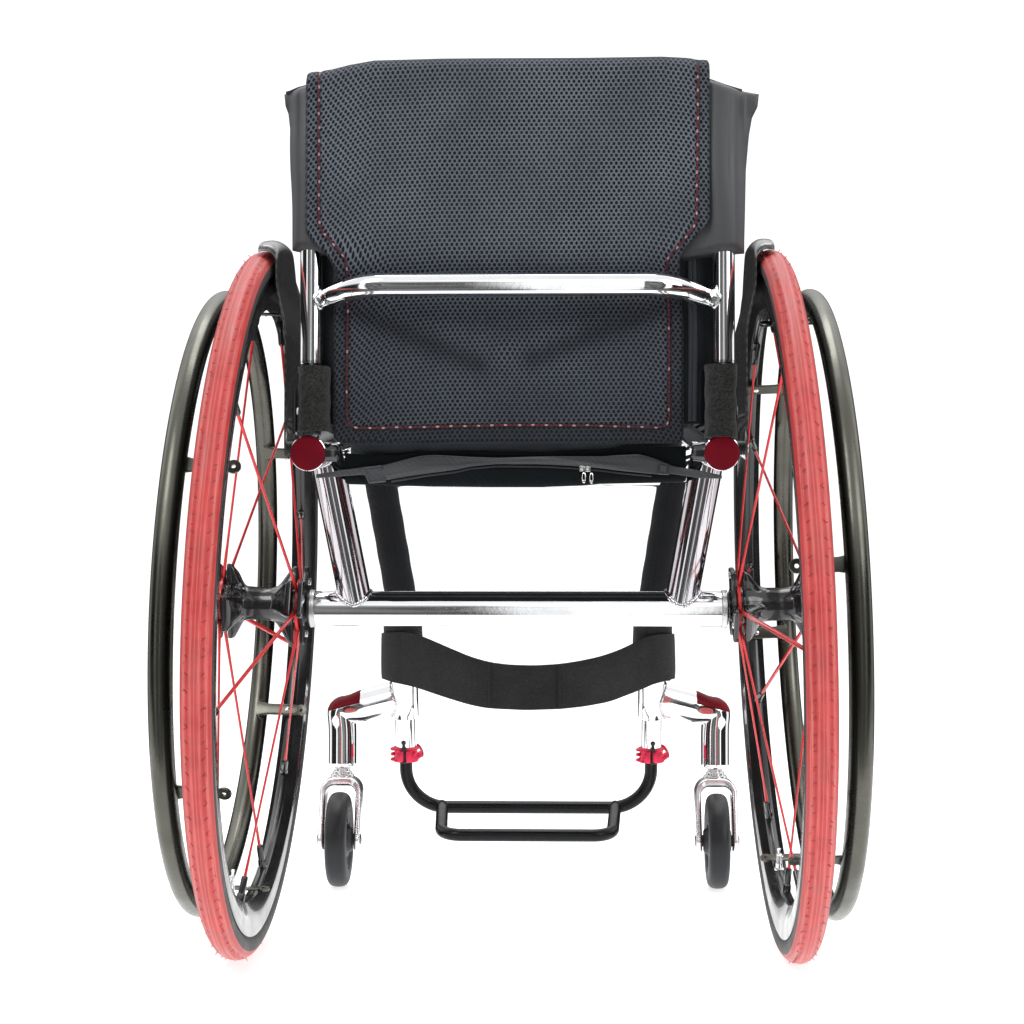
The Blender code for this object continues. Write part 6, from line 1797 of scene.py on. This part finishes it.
def make_cushion():
    blank = round_box(0.1392, 0.0070, 0.3770, -0.0235, 0.0240, 0.0075, 0.0065)
    fill(blank, (-0.0205, 0.0205), 4.0, 0.0045)
    mod = blank.modifiers.new("soft", "SUBSURF")
    mod.levels = mod.render_levels = 1
    me = bpy.data.meshes.new_from_object(blank.evaluated_get(bpy.context.evaluated_depsgraph_get()))
    bpy.data.objects.remove(blank, do_unlink=True)
    me.name = "cushion_skin"
    n = len(me.vertices)
    co = np.zeros(n * 3, np.float32)
    me.vertices.foreach_get("co", co)
    co = co.reshape(-1, 3)
    x, y, z = co[:, 0], co[:, 1], co[:, 2]
    # pinch the cover in along both seams, dish the top for the seat bones, and let the border wrinkle
    side = np.maximum(np.abs(x) / 0.1392, np.abs((y - 0.192) / 0.185))
    for rim in (-0.0195, 0.0195):
        k = np.exp(-((z - rim) / 0.0022) ** 2) * np_step(side, 0.90, 0.97)
        x -= np.sign(x) * 0.0011 * k * (np.abs(x) > 0.12)
        y -= np.sign(y - 0.19) * 0.0011 * k * ((y < 0.03) | (y > 0.355))
    top = np_step(z, 0.010, 0.022)
    z += top * (-0.0045 * np.exp(-((x / 0.075) ** 2 + ((y - 0.13) / 0.085) ** 2)) + 0.0010 * np.sin(34 * x + 1.0) * np.sin(27 * y))
    border = (1 - np_step(np.abs(z), 0.014, 0.019)) * np_step(side, 0.94, 0.99)
    wob = 0.0006 * np.sin(210 * x + 33 * z) + 0.0005 * np.sin(170 * y + 20 * z)
    y += np.where(y < 0.05, wob, 0) * border
    x += np.where(np.abs(x) > 0.125, wob, 0) * border * np.sign(x)
    me.vertices.foreach_set("co", co.ravel())
    at = me.attributes.new("pat", "FLOAT_VECTOR", "POINT")
    flat = np.zeros((n, 3), np.float32)
    flat[:, 0], flat[:, 1] = x * 1000, y * 1000
    at.data.foreach_set("vector", flat.ravel())
    me.materials.clear()
    me.materials.append(SEAT_MESH)
    # sides and underside take the border cloth, made paler as painted light
    me.materials.append(CUSHION_SIDE_PAINTED_LIGHT)
    mi = np.zeros(len(me.polygons), np.int32)
    cz = np.zeros(len(me.polygons) * 3, np.float32)
    me.polygons.foreach_get("center", cz)
    nz = np.zeros(len(me.polygons) * 3, np.float32)
    me.polygons.foreach_get("normal", nz)
    mi[(nz.reshape(-1, 3)[:, 2] < 0.6) | (cz.reshape(-1, 3)[:, 2] < 0.015)] = 1
    me.polygons.foreach_set("material_index", mi)
    me.shade_smooth()
    me.update()
    ob = bpy.data.objects.new("seat_cushion_skin", me)
    bpy.context.scene.collection.objects.link(ob)
    ob.matrix_world = SEAT
    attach(ob, "frame")
    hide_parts("seat_cushion")
    # piping round both seams
    for word, z, d in (("upper", 0.0203, 0.0), ("lower", -0.0203, 0.0)):
        pts = []
        for cx, cy, a0 in ((0.1172, 0.3560, 0), (-0.1172, 0.3560, 90), (-0.1172, 0.0280, 180), (0.1172, 0.0280, 270)):
            for k in range(9):
                a = math.radians(a0 + 90 * k / 8)
                pts.append(Vector((cx + 0.0216 * math.cos(a), cy + 0.0216 * math.sin(a), z + 0.0005 * math.sin(3 * a + cx * 20))))
        pts = dense(pts + [pts[0]], 0.006)[:-1]
        Shape().tube(pts, 0.0017, 12, closed=True).done("cushion_piping_" + word, [BINDING], "frame", matrix=SEAT, sharp=70)
    return ob


make_cushion()

SLING_TOP = [(-0.1403, 0.4290), (-0.1229, 0.4280), (-0.0948, 0.4274), (-0.0783, 0.4298), (-0.0371, 0.4300), (0.0205, 0.4282), (0.0370, 0.4299), (0.0698, 0.4311), (0.0797, 0.4320), (0.0903, 0.4345), (0.1405, 0.4345)]
SLING_LOW = [(-0.1405, 0.4036), (-0.1344, 0.4034), (-0.1047, 0.4026), (-0.0700, 0.4016), (-0.0156, 0.4012), (0.0205, 0.4012), (0.0550, 0.4022), (0.0698, 0.4036), (0.1206, 0.4046), (0.1405, 0.4054)]


def make_sling():
    nb, na = ((140, 170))
    X, Y, Z = np.zeros((na, nb)), np.zeros((na, nb)), np.zeros((na, nb))
    c, sn = math.cos(math.atan2(0.0595, 0.4450)), math.sin(math.atan2(0.0595, 0.4450))
    for j in range(nb):
        x = -0.1405 + 0.2810 * j / (nb - 1)
        zt, zl = line_at(SLING_TOP, x), line_at(SLING_LOW, x) + 0.0013
        path = [Vector((0, 0.3700, -0.0272))]
        path += [Vector((0, y, -0.0272 - 0.0009 * math.sin(23 * y + 14 * x))) for y in (0.33, 0.28, 0.22, 0.16, 0.11, 0.07, 0.035)]
        world = [Vector((0, SEAT_ORIGIN.y + p.y * c - p.z * sn, SEAT_ORIGIN.z + p.y * sn + p.z * c)) for p in path]
        back = SEAT_ORIGIN.y + 0.0008
        world += [Vector((0, back + 0.010, zl + 0.0006)), Vector((0, back + 0.0035, zl)), Vector((0, back - 0.0002, zl + 0.0030))]
        world += [Vector((0, back - 0.0006, zl + (zt - zl) * k)) for k in (0.35, 0.6, 0.8, 0.93, 1.0)]
        sm = spline(world, 8)
        d = [0.0]
        for p, q in zip(sm, sm[1:]):
            d.append(d[-1] + (q - p).length)
        t = np.linspace(0, 1, na)
        t = np.where(t < 0.45, t / 0.45 * 0.86, 0.86 + (t - 0.45) / 0.55 * 0.14)
        Y[:, j] = np.interp(t * d[-1], d, [p.y for p in sm])
        Z[:, j] = np.interp(t * d[-1], d, [p.z for p in sm])
        X[:, j] = x
    Y += 0.0010 * np.sin(55 * X + 1.2) * np.sin(140 * (Z - 0.40)) * np_step(Y, -0.165, -0.176)
    P = np.stack([X, Y, Z], -1)
    N = np.cross(np.gradient(P, axis=1), np.gradient(P, axis=0))
    N /= np.maximum(np.linalg.norm(N, axis=-1, keepdims=True), 1e-9)
    S = np.concatenate([np.zeros((1, nb)), np.cumsum(np.linalg.norm(np.diff(P, axis=0), axis=-1), 0)])
    e = np.minimum(np.minimum(X - X[:, :1], X[:, -1:] - X), np.minimum(S - S[:1], S[-1:] - S))
    h = 0.0011 * np.sqrt(np.clip(1 - (1 - np.clip(e / 0.0013, 0, 1)) ** 2, 0, 1)) + 0.00002
    A, B = P + N * h[..., None], P - N * h[..., None]
    ring_x = np.concatenate([A, B[:, ::-1]], axis=1)
    ob = grid_object("seat_sling_cloth", ring_x[..., 0], ring_x[..., 1], ring_x[..., 2], [POUCH_CLOTH], "frame", False, True, nodes=["seat_sling"], sharp=60)
    bm = bmesh.new()
    bm.from_mesh(ob.data)
    bmesh.ops.holes_fill(bm, edges=[ed for ed in bm.edges if ed.is_boundary], sides=0)
    bmesh.ops.recalc_face_normals(bm, faces=bm.faces[:])
    bm.to_mesh(ob.data)
    bm.free()
    ob.data.shade_smooth()
    ob.data.set_sharp_from_angle(angle=math.radians(60))
    return ob


make_sling()

HEM_TOP = [(-0.1650, 0.4105), (-0.1609, 0.4115), (-0.1402, 0.4150), (-0.1229, 0.4177), (-0.1097, 0.4185), (-0.0981, 0.4216), (-0.0783, 0.4266), (-0.0651, 0.4274), (-0.0371, 0.4257), (-0.0157, 0.4250), (0.0205, 0.4260), (0.0452, 0.4260), (0.0698, 0.4258), (0.0862, 0.4270), (0.1026, 0.4278), (0.1174, 0.4236), (0.1272, 0.4185), (0.1518, 0.4140), (0.1700, 0.4098)]
HEM_LOW = [(-0.1650, 0.4080), (-0.1609, 0.4078), (-0.1402, 0.4098), (-0.1229, 0.4112), (-0.1162, 0.4060), (-0.1047, 0.4067), (-0.0865, 0.4096), (-0.0700, 0.4121), (-0.0486, 0.4149), (-0.0371, 0.4176), (-0.0157, 0.4196), (0.0205, 0.4194), (0.0452, 0.4182), (0.0698, 0.4161), (0.0862, 0.4140), (0.1026, 0.4124), (0.1174, 0.4110), (0.1272, 0.4118), (0.1518, 0.4076), (0.1700, 0.4072)]
sh, rings = Shape(), []
for i in range(150):
    x = -0.1630 + 0.3320 * i / 149
    zt, zl = line_at(HEM_TOP, x), line_at(HEM_LOW, x)
    zt = (line_at(HEM_TOP, x - 0.004) + 2 * zt + line_at(HEM_TOP, x + 0.004)) / 4
    zl = (line_at(HEM_LOW, x - 0.004) + 2 * zl + line_at(HEM_LOW, x + 0.004)) / 4
    tail = smooth(abs(x), 0.112, 0.135)
    d = 0.0034 * (1 - tail) + 0.0014 * tail
    y = SEAT_ORIGIN.y - 0.0030 - 0.0010 * math.sin(31 * x + 0.4) * (1 - tail) - 0.006 * smooth(abs(x), 0.130, 0.165)
    ring = []
    for k in range(40):
        a = TAU * k / 40
        c, sn = math.cos(a), math.sin(a)
        zz = (zt + zl) / 2 + (zt - zl) / 2 * math.copysign(abs(c) ** 0.85, c)
        yy = y + d * math.copysign(abs(sn) ** 0.7, sn)
        f = (zz - zl) / max(1e-6, zt - zl)
        yy += 0.00085 * math.sin(7.5 * f + 46 * x) * (1 - tail) - 0.0009 * math.exp(-((f - 0.30) / 0.09) ** 2) * (1 if sn < 0 else 0) * (1 - tail)
        ring.append(Vector((x, yy, zz)))
    rings.append(ring)
sh.rings(rings)
sh.done("sling_rear_hem", [HEM_CLOTH], "frame", sharp=70)


def hem_patch(name, corners, y, thick):
    """A square of cloth stitched over the hem where the strap tail enters it."""
    bm = bmesh.new()
    n = 14
    grid = []
    for i in range(n + 1):
        row = []
        for j in range(n + 1):
            u, v = i / n, j / n
            a = corners[0].lerp(corners[1], u)
            b = corners[3].lerp(corners[2], u)
            p = a.lerp(b, v)
            row.append(p)
        grid.append(row)
    front, back = [], []
    for i in range(n + 1):
        f, g = [], []
        for j in range(n + 1):
            p = grid[i][j]
            e = min(i, n - i, j, n - j)
            d = thick * (0.35 if e == 0 else 0.85 if e == 1 else 0.55 if e == 2 else 0.95)
            f.append(bm.verts.new((p.x, y - d, p.y)))
            g.append(bm.verts.new((p.x, y + 0.0010, p.y)))
        front.append(f)
        back.append(g)
    for i in range(n):
        for j in range(n):
            bm.faces.new((front[i][j], front[i + 1][j], front[i + 1][j + 1], front[i][j + 1]))
            bm.faces.new((back[i][j], back[i][j + 1], back[i + 1][j + 1], back[i + 1][j]))
    edge = [(i, 0) for i in range(n)] + [(n, j) for j in range(n)] + [(n - i, n) for i in range(n)] + [(0, n - j) for j in range(n)]
    for (a, b), (c, d) in zip(edge, edge[1:] + edge[:1]):
        bm.faces.new((front[a][b], back[a][b], back[c][d], front[c][d]))
    sh = Shape()
    sh.mesh(bm, 0)
    return sh.done(name, [HEM_CLOTH], "frame", sharp=50)


for word, q, y in (("left", [(-0.1265, 0.4165), (-0.1090, 0.4190), (-0.1060, 0.4050), (-0.1200, 0.4035)], -0.1815), ("right", [(0.1168, 0.4215), (0.1262, 0.4195), (0.1262, 0.4105), (0.1172, 0.4110)], -0.1815)):
    hem_patch(word + "_hem_patch", [Vector(p) for p in q], y, 0.0022)

# zip under the hem, with two pulls
zipper = Shape()
pts = [Vector((x, SEAT_ORIGIN.y - 0.0020, line_at(HEM_LOW, x) - 0.0016)) for x in np.linspace(-0.102, 0.112, 60)]
zipper.tube(dense(pts, 0.0012), [0.00085 + 0.00022 * (i % 2) for i in range(len(dense(pts, 0.0012)))], 8)
zipper.done("pouch_zip", [BLACK_PLASTIC], "frame", sharp=60)
pulls = Shape()
for x, sw in ((0.0550, -0.0006), (0.0598, 0.0008)):
    z = line_at(HEM_LOW, x) - 0.0012
    pulls.block((x - 0.0023, SEAT_ORIGIN.y - 0.0062, z - 0.0026), (x + 0.0023, SEAT_ORIGIN.y - 0.0022, z + 0.0026), 0.0007, 3)
    pulls.tube([Vector((x - 0.0008, SEAT_ORIGIN.y - 0.0060, z - 0.0010)), Vector((x - 0.0008, SEAT_ORIGIN.y - 0.0076, z)), Vector((x - 0.0008, SEAT_ORIGIN.y - 0.0060, z + 0.0010))], 0.0005, 8)
    ringp = []
    for k in range(24):
        a = TAU * k / 24
        ringp.append(Vector((x + 0.0022 + sw + 0.0013 * math.cos(a), SEAT_ORIGIN.y - 0.0058, z - 0.0080 + 0.0042 * math.sin(a))))
    pulls.tube(ringp, 0.00055, 8, closed=True)
    pulls.block((x + 0.0011 + sw, SEAT_ORIGIN.y - 0.0064, z - 0.0118), (x + 0.0033 + sw, SEAT_ORIGIN.y - 0.0052, z - 0.0098), 0.0003, 2)
pulls.done("zip_pulls", [STEEL], "frame", sharp=40)

# tension straps under the sling, taken round the seat tubes
for k, y in enumerate((0.082, 0.150, 0.204, 0.296)):
    fy = y - 0.098
    xt = seat_tube_x(fy)
    path, r = [], TUBE_R + 0.0010
    for i in range(15):
        a = math.radians(128 - 218 * i / 14)
        path.append((xt + r * math.cos(a), r * math.sin(a)))
    path += [(0.150, -0.0205), (0.1425, -0.0292), (0.132, -0.0302), (0.09, -0.0303), (0.045, -0.0304)]
    path = path + [(0.0, -0.0304)] + [(-a, b) for a, b in path[::-1]]
    pts = spline([Vector((a, y, b)) for a, b in path], 3)
    run = 0.0
    rings, pats = [], []
    for i, p in enumerate(pts):
        t = (pts[min(i + 1, len(pts) - 1)] - pts[max(i - 1, 0)]).normalized()
        nrm = Vector((t.z, 0, -t.x))
        if i:
            run += (p - pts[i - 1]).length
        ring, pat = [], []
        for q in range(20):
            a = TAU * (q + 0.5) / 20
            c, sn = math.cos(a), math.sin(a)
            w, h = 0.0150 * math.copysign(abs(c) ** 0.4, c), 0.0008 * math.copysign(abs(sn) ** 0.6, sn)
            ring.append(p + Vector((0, w, 0)) + nrm * h)
            pat.append((run * 1000, w * 1000))
        rings.append(ring)
        pats.append(pat)
    sh = Shape()
    sh.rings(rings, 0, pats=pats)
    sh.done(f"seat_tension_strap_{k}", [STRAP], "frame", matrix=SEAT, sharp=60)

# boss on the inside of each seat tube, beside the cushion
for word, s in SIDES:
    x = seat_tube_x(-0.110)
    B = Matrix.Translation(V(s * x, -0.1080, seat_line(-0.108))) @ Matrix.Rotation(-s * math.pi / 2, 4, "Y")
    Shape().turned([(0.0086, TUBE_R - 0.0040), (0.0080, TUBE_R + 0.0010), (0.0074, TUBE_R + 0.0050), (0.0074, TUBE_R + 0.0078), (0.0068, TUBE_R + 0.0086), (0.0046, TUBE_R + 0.0088), (0.0043, TUBE_R + 0.0060), (0.0002, TUBE_R + 0.0060)], 40, 0, B).done(word + "_seat_boss", [BLACK_GLOSS], "frame", sharp=30)

# ------------------------------------------------------------------ calf strap
STRAP_TOP = [(-0.1560, 0.2700), (-0.1325, 0.2720), (-0.1180, 0.2700), (-0.1069, 0.2660), (-0.0859, 0.2571), (-0.0596, 0.2464), (-0.0387, 0.2405), (-0.0177, 0.2379), (0.0084, 0.2373), (0.0346, 0.2389), (0.0550, 0.2420), (0.0764, 0.2465), (0.0973, 0.2535), (0.1182, 0.2635), (0.1325, 0.2700), (0.1560, 0.2700)]
STRAP_LOW = [(-0.1560, 0.2215), (-0.1374, 0.2168), (-0.1184, 0.2130), (-0.0980, 0.2065), (-0.0805, 0.2013), (-0.0595, 0.1958), (-0.0386, 0.1921), (-0.0020, 0.1906), (0.0346, 0.1918), (0.0600, 0.1944), (0.0868, 0.1988), (0.1181, 0.2100), (0.1374, 0.2185), (0.1560, 0.2222)]


def strap_point(u, z, off):
    """u: way along the strap from the middle; past the leg it wraps round it."""
    s = -1 if u < 0 else 1
    a = abs(u)
    yc = SHIN[1] + AXLE_Y + RAKE * (SHIN[2] - z)
    R = 0.0212 + off
    if a <= SHIN[0]:
        t = a / SHIN[0]
        y_mid = 0.2800 - off
        y_leg = yc - R
        k = smooth(t, 0.35, 1.0) * 0.55 + 0.45 * t * t
        return Vector((s * a, y_mid + (y_leg - y_mid) * k, z))
    phi = (a - SHIN[0]) / 0.0212
    return Vector((s * (SHIN[0] + R * math.sin(phi)), yc - R * math.cos(phi), z))


def strap_band(name, u0, u1, off, half, mat, flare=0.0):
    nb, na = ((220, 60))
    rings, pats = [], []
    for j in range(nb):
        t = j / (nb - 1)
        te = 0.5 - 0.5 * math.cos(math.pi * t)
        t = 0.3 * te + 0.7 * t
        u = u0 + (u1 - u0) * t
        end = min(abs(u - u0), abs(u1 - u))
        hh = half * math.sqrt(max(0.0, 1 - (1 - min(1.0, end / (half * 1.6))) ** 2)) + 0.00003
        au = math.copysign(min(abs(u), 0.1560), u)
        zt, zl = curve_at(STRAP_TOP, au) if False else line_at(STRAP_TOP, au), line_at(STRAP_LOW, au)
        zt = (line_at(STRAP_TOP, au - 0.006) + zt + line_at(STRAP_TOP, au + 0.006)) / 3
        zl = (line_at(STRAP_LOW, au - 0.006) + zl + line_at(STRAP_LOW, au + 0.006)) / 3
        ring, pat = [], []
        for i in range(na):
            a = TAU * (i + 0.5) / na
            c, sn = math.cos(a), math.sin(a)
            z = (zt + zl) / 2 + (zt - zl) / 2 * math.copysign(abs(c) ** 0.55, c)
            h = hh * math.copysign(abs(sn) ** 0.55, sn)
            edge = (zt - zl) / 2 - abs(z - (zt + zl) / 2)
            h *= 1.0 - 0.30 * math.exp(-((edge - 0.0030) / 0.0007) ** 2)
            slack = 0.0007 * math.sin(42 * u + 1.3) * math.cos(60 * (z - zl)) + 0.0006 * math.sin(95 * u)
            p = strap_point(u, z, off + h + slack + flare * smooth(abs(u), 0.150, 0.158))
            ring.append(p)
            pat.append((u * 1000, (z - zl) * 1000))
        rings.append(ring)
        pats.append(pat)
    sh = Shape()
    sh.rings(rings, 0, pats=pats)
    ob = sh.done(name, [mat], "frame", sharp=60)
    area = 0.0
    for j in range(nb - 1):
        du = abs(rings[j + 1][na // 4].x - rings[j][na // 4].x)
        area += (rings[j + 1][na // 4] - rings[j][na // 4]).length * abs(rings[j][0].z - rings[j][na // 2].z)
    return ob, area


band, _ = strap_band("calf_strap_band", -0.1180, 0.1180, 0.0, 0.0012, STRAP)
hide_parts("calf_strap")
for word, s, edge in (("left", -1, 0.0378), ("right", 1, 0.0322)):
    over, _ = strap_band(word + "_strap_end", s * edge if s > 0 else -0.1600, 0.1600 if s > 0 else s * edge, 0.0026, 0.0012, STRAP)
    # the loop under the end, tall enough to pass behind the camber tube
    rings, pats = [], []
    n, m = 30, 64
    for side in (1, 0):
        for i in range(n) if side else range(n - 1, -1, -1):
            t = i / (n - 1)
            z = 0.2195 + (0.2880 - 0.2195) * t
            e = min(t, 1 - t) * (0.2880 - 0.2195)
            rr = 0.0199 + 0.0008 * math.sin(2.6 * t + 0.5) - 0.0006 * (1 - min(1.0, e / 0.0016)) ** 2
            c = leg(s, z)
            ring, pat = [], []
            for k in range(m):
                a = TAU * k / m
                r = rr if side else 0.0152 + 0.0004 * (1 - min(1.0, e / 0.0016)) ** 2
                if side:
                    r += 0.0004 * math.sin(2 * a + 3 * t)
                ring.append(c + Vector((r * math.cos(a), r * math.sin(a), 0)))
                pat.append((a * 20.0, z * 1000))
            rings.append(ring)
            pats.append(pat)
    sh = Shape()
    sh.rings(rings, 0, closed=True, cap0=False, cap1=False, pats=pats)
    sh.done(word + "_strap_loop", [STRAP], "frame", slot="black_webbing", sharp=60)
    # bar tacks beside the seam
    tack = Shape()
    for dx in (0.0022, 0.0058):
        u = s * (edge + dx)
        zl, zt = line_at(STRAP_LOW, u) + 0.004, line_at(STRAP_TOP, u) - 0.004
        n = int((zt - zl) / 0.0034)
        for k in range(n):
            z0 = zl + (zt - zl) * k / n
            tack.tube([strap_point(u, z0, 0.0038), strap_point(u + 0.0002, z0 + 0.0012, 0.0043), strap_point(u, z0 + 0.0024, 0.0038)], 0.00038, 6)
    tack.done(word + "_strap_stitches", [THREAD_BLACK], "frame", sharp=70)

# ------------------------------------------------------------------ neoprene sleeves
for word, s in SIDES:
    path = [V(s * SEAT_REAR[0], *SEAT_REAR[1:]), V(s * KNEE[0], *KNEE[1:]), V(s * SHIN[0], *SHIN[1:]), leg(s, LEG_END_Z)]
    run = dense(fillet(path, [0.070, 0.120], 2.0), 0.0030)
    run = [p for p in run if p.y > AXLE_Y + 0.32 and 0.2870 <= p.z <= 0.4320]
    n = len(run)
    radii = []
    for i in range(n):
        e = min(i, n - 1 - i) * 0.003
        radii.append(0.0163 - 0.0010 * (1 - min(1.0, e / 0.0018)) ** 2 + 0.00022 * math.sin(i * 0.55 + s) + (0.00035 if 0.0030 < e < 0.0055 else 0.0))
    sh = Shape()
    sh.tube(run, radii, 56)
    # the closing seam down the back
    F = frames(run)
    seam = [p + Vector((-s * 0.35, -1, 0)).normalized() * (r + 0.0001) for p, r in zip(run, radii)][2:-2]
    sh.tube(seam, 0.0009, 8)
    sh.done(word + "_leg_wrap", [NEOPRENE], "frame", nodes=[word + "_leg_sleeve"], slot="black_neoprene", sharp=60)

# ------------------------------------------------------------------ carbon side guards
def guard_profile(y, ny):
    low = seat_line(max(y, -0.090)) - 0.0080
    top = WHEEL_Z + math.sqrt(GUARD_ARC ** 2 - min(y, 0.0) ** 2)
    if y > 0.0:
        top = 0.5050 + (top - 0.5050) * math.exp(-(y / 0.050) ** 1.7) - 0.0150 * smooth(y / 0.2050)
    curl = smooth((0.045 - y) / 0.040)
    r = 0.0090 * curl + 0.0004
    # rounded corners at the front and rear ends
    for edge, rad in ((y + 0.0950, 0.012), (0.2050 - y, 0.014)):
        if edge < rad:
            k = rad * (1 - math.sqrt(max(0.0, 1 - (1 - edge / rad) ** 2)))
            low += k
            top -= k * (0.35 if y < 0 else 1.0)
    pts = []
    for k in range(30):
        z = low + (top - r - low) * k / 29
        pts.append((GUARD_X + 0.0080 * smooth((z - 0.5250) / 0.050), z))
    base = pts[-1][0]
    for k in range(1, 13):
        a = math.pi - math.pi / 2 * k / 12
        pts.append((base + r + r * math.cos(a), top - r + r * math.sin(a)))
    lip = 0.0004 + curl * (GUARD_EDGE - base - r)
    for k in range(1, 9):
        pts.append((base + r + lip * k / 8, top - 0.0008 * curl * (k / 8) ** 2))
    return pts


for word, s in SIDES:
    half, rings, pats = 0.00115, [], []
    ny = 110
    for i in range(ny):
        t = i / (ny - 1)
        t = 0.6 * t + 0.4 * (0.5 - 0.5 * math.cos(math.pi * t))
        y = -0.0950 + 0.3000 * t
        mid = guard_profile(y, ny)
        endy = min(i, ny - 1 - i)
        hy = half * (0.45 if endy == 0 else 0.85 if endy == 1 else 1.0)
        near, far, pn, pf = [], [], [], []
        run = 0.0
        for k, (x, z) in enumerate(mid):
            xa, za = mid[max(k - 1, 0)]
            xb, zb = mid[min(k + 1, len(mid) - 1)]
            nrm = Vector((zb - za, -(xb - xa)))
            nrm = nrm.normalized() * hy if nrm.length > 1e-9 else Vector((hy, 0))
            if k:
                run += math.hypot(x - mid[k - 1][0], z - mid[k - 1][1])
            f = 0.5 if k in (0, len(mid) - 1) else 1.0
            near.append(V(s * (x - nrm.x * f), y, z - nrm.y * f))
            far.append(V(s * (x + nrm.x * f), y, z + nrm.y * f))
            pn.append((y * 1000, (run + mid[0][1]) * 1000))
        rings.append(near + far[::-1])
        pats.append(pn + pn[::-1])
    sh = Shape()
    sh.rings(rings, 0, pats=pats)
    sh.done(word + "_carbon_guard", [CARBON], "frame", nodes=[word + "_side_guard"], slot="carbon_fibre", sharp=40)
    fix = Shape()
    for y in (-0.0600, 0.1450):
        x0 = seat_tube_x(y) + TUBE_R
        B = Matrix.Translation(V(s * x0, y, seat_line(y))) @ Matrix.Rotation(s * math.pi / 2, 4, "Y")
        gap = GUARD_X - 0.00115 - x0
        fix.turned([(0.0060, -0.0020), (0.0060, gap)], 32, 0, B)
        fix.turned([(0.0062, gap + 0.0023), (0.0062, gap + 0.0030), (0.0044, gap + 0.0031), (0.0042, gap + 0.0044), (0.0034, gap + 0.0052), (0.0020, gap + 0.0055), (0.0017, gap + 0.0040), (0.0002, gap + 0.0040)], 32, 1, B)
    fix.done(word + "_guard_screws", [BLACK_PLASTIC, STEEL], "frame", sharp=30)
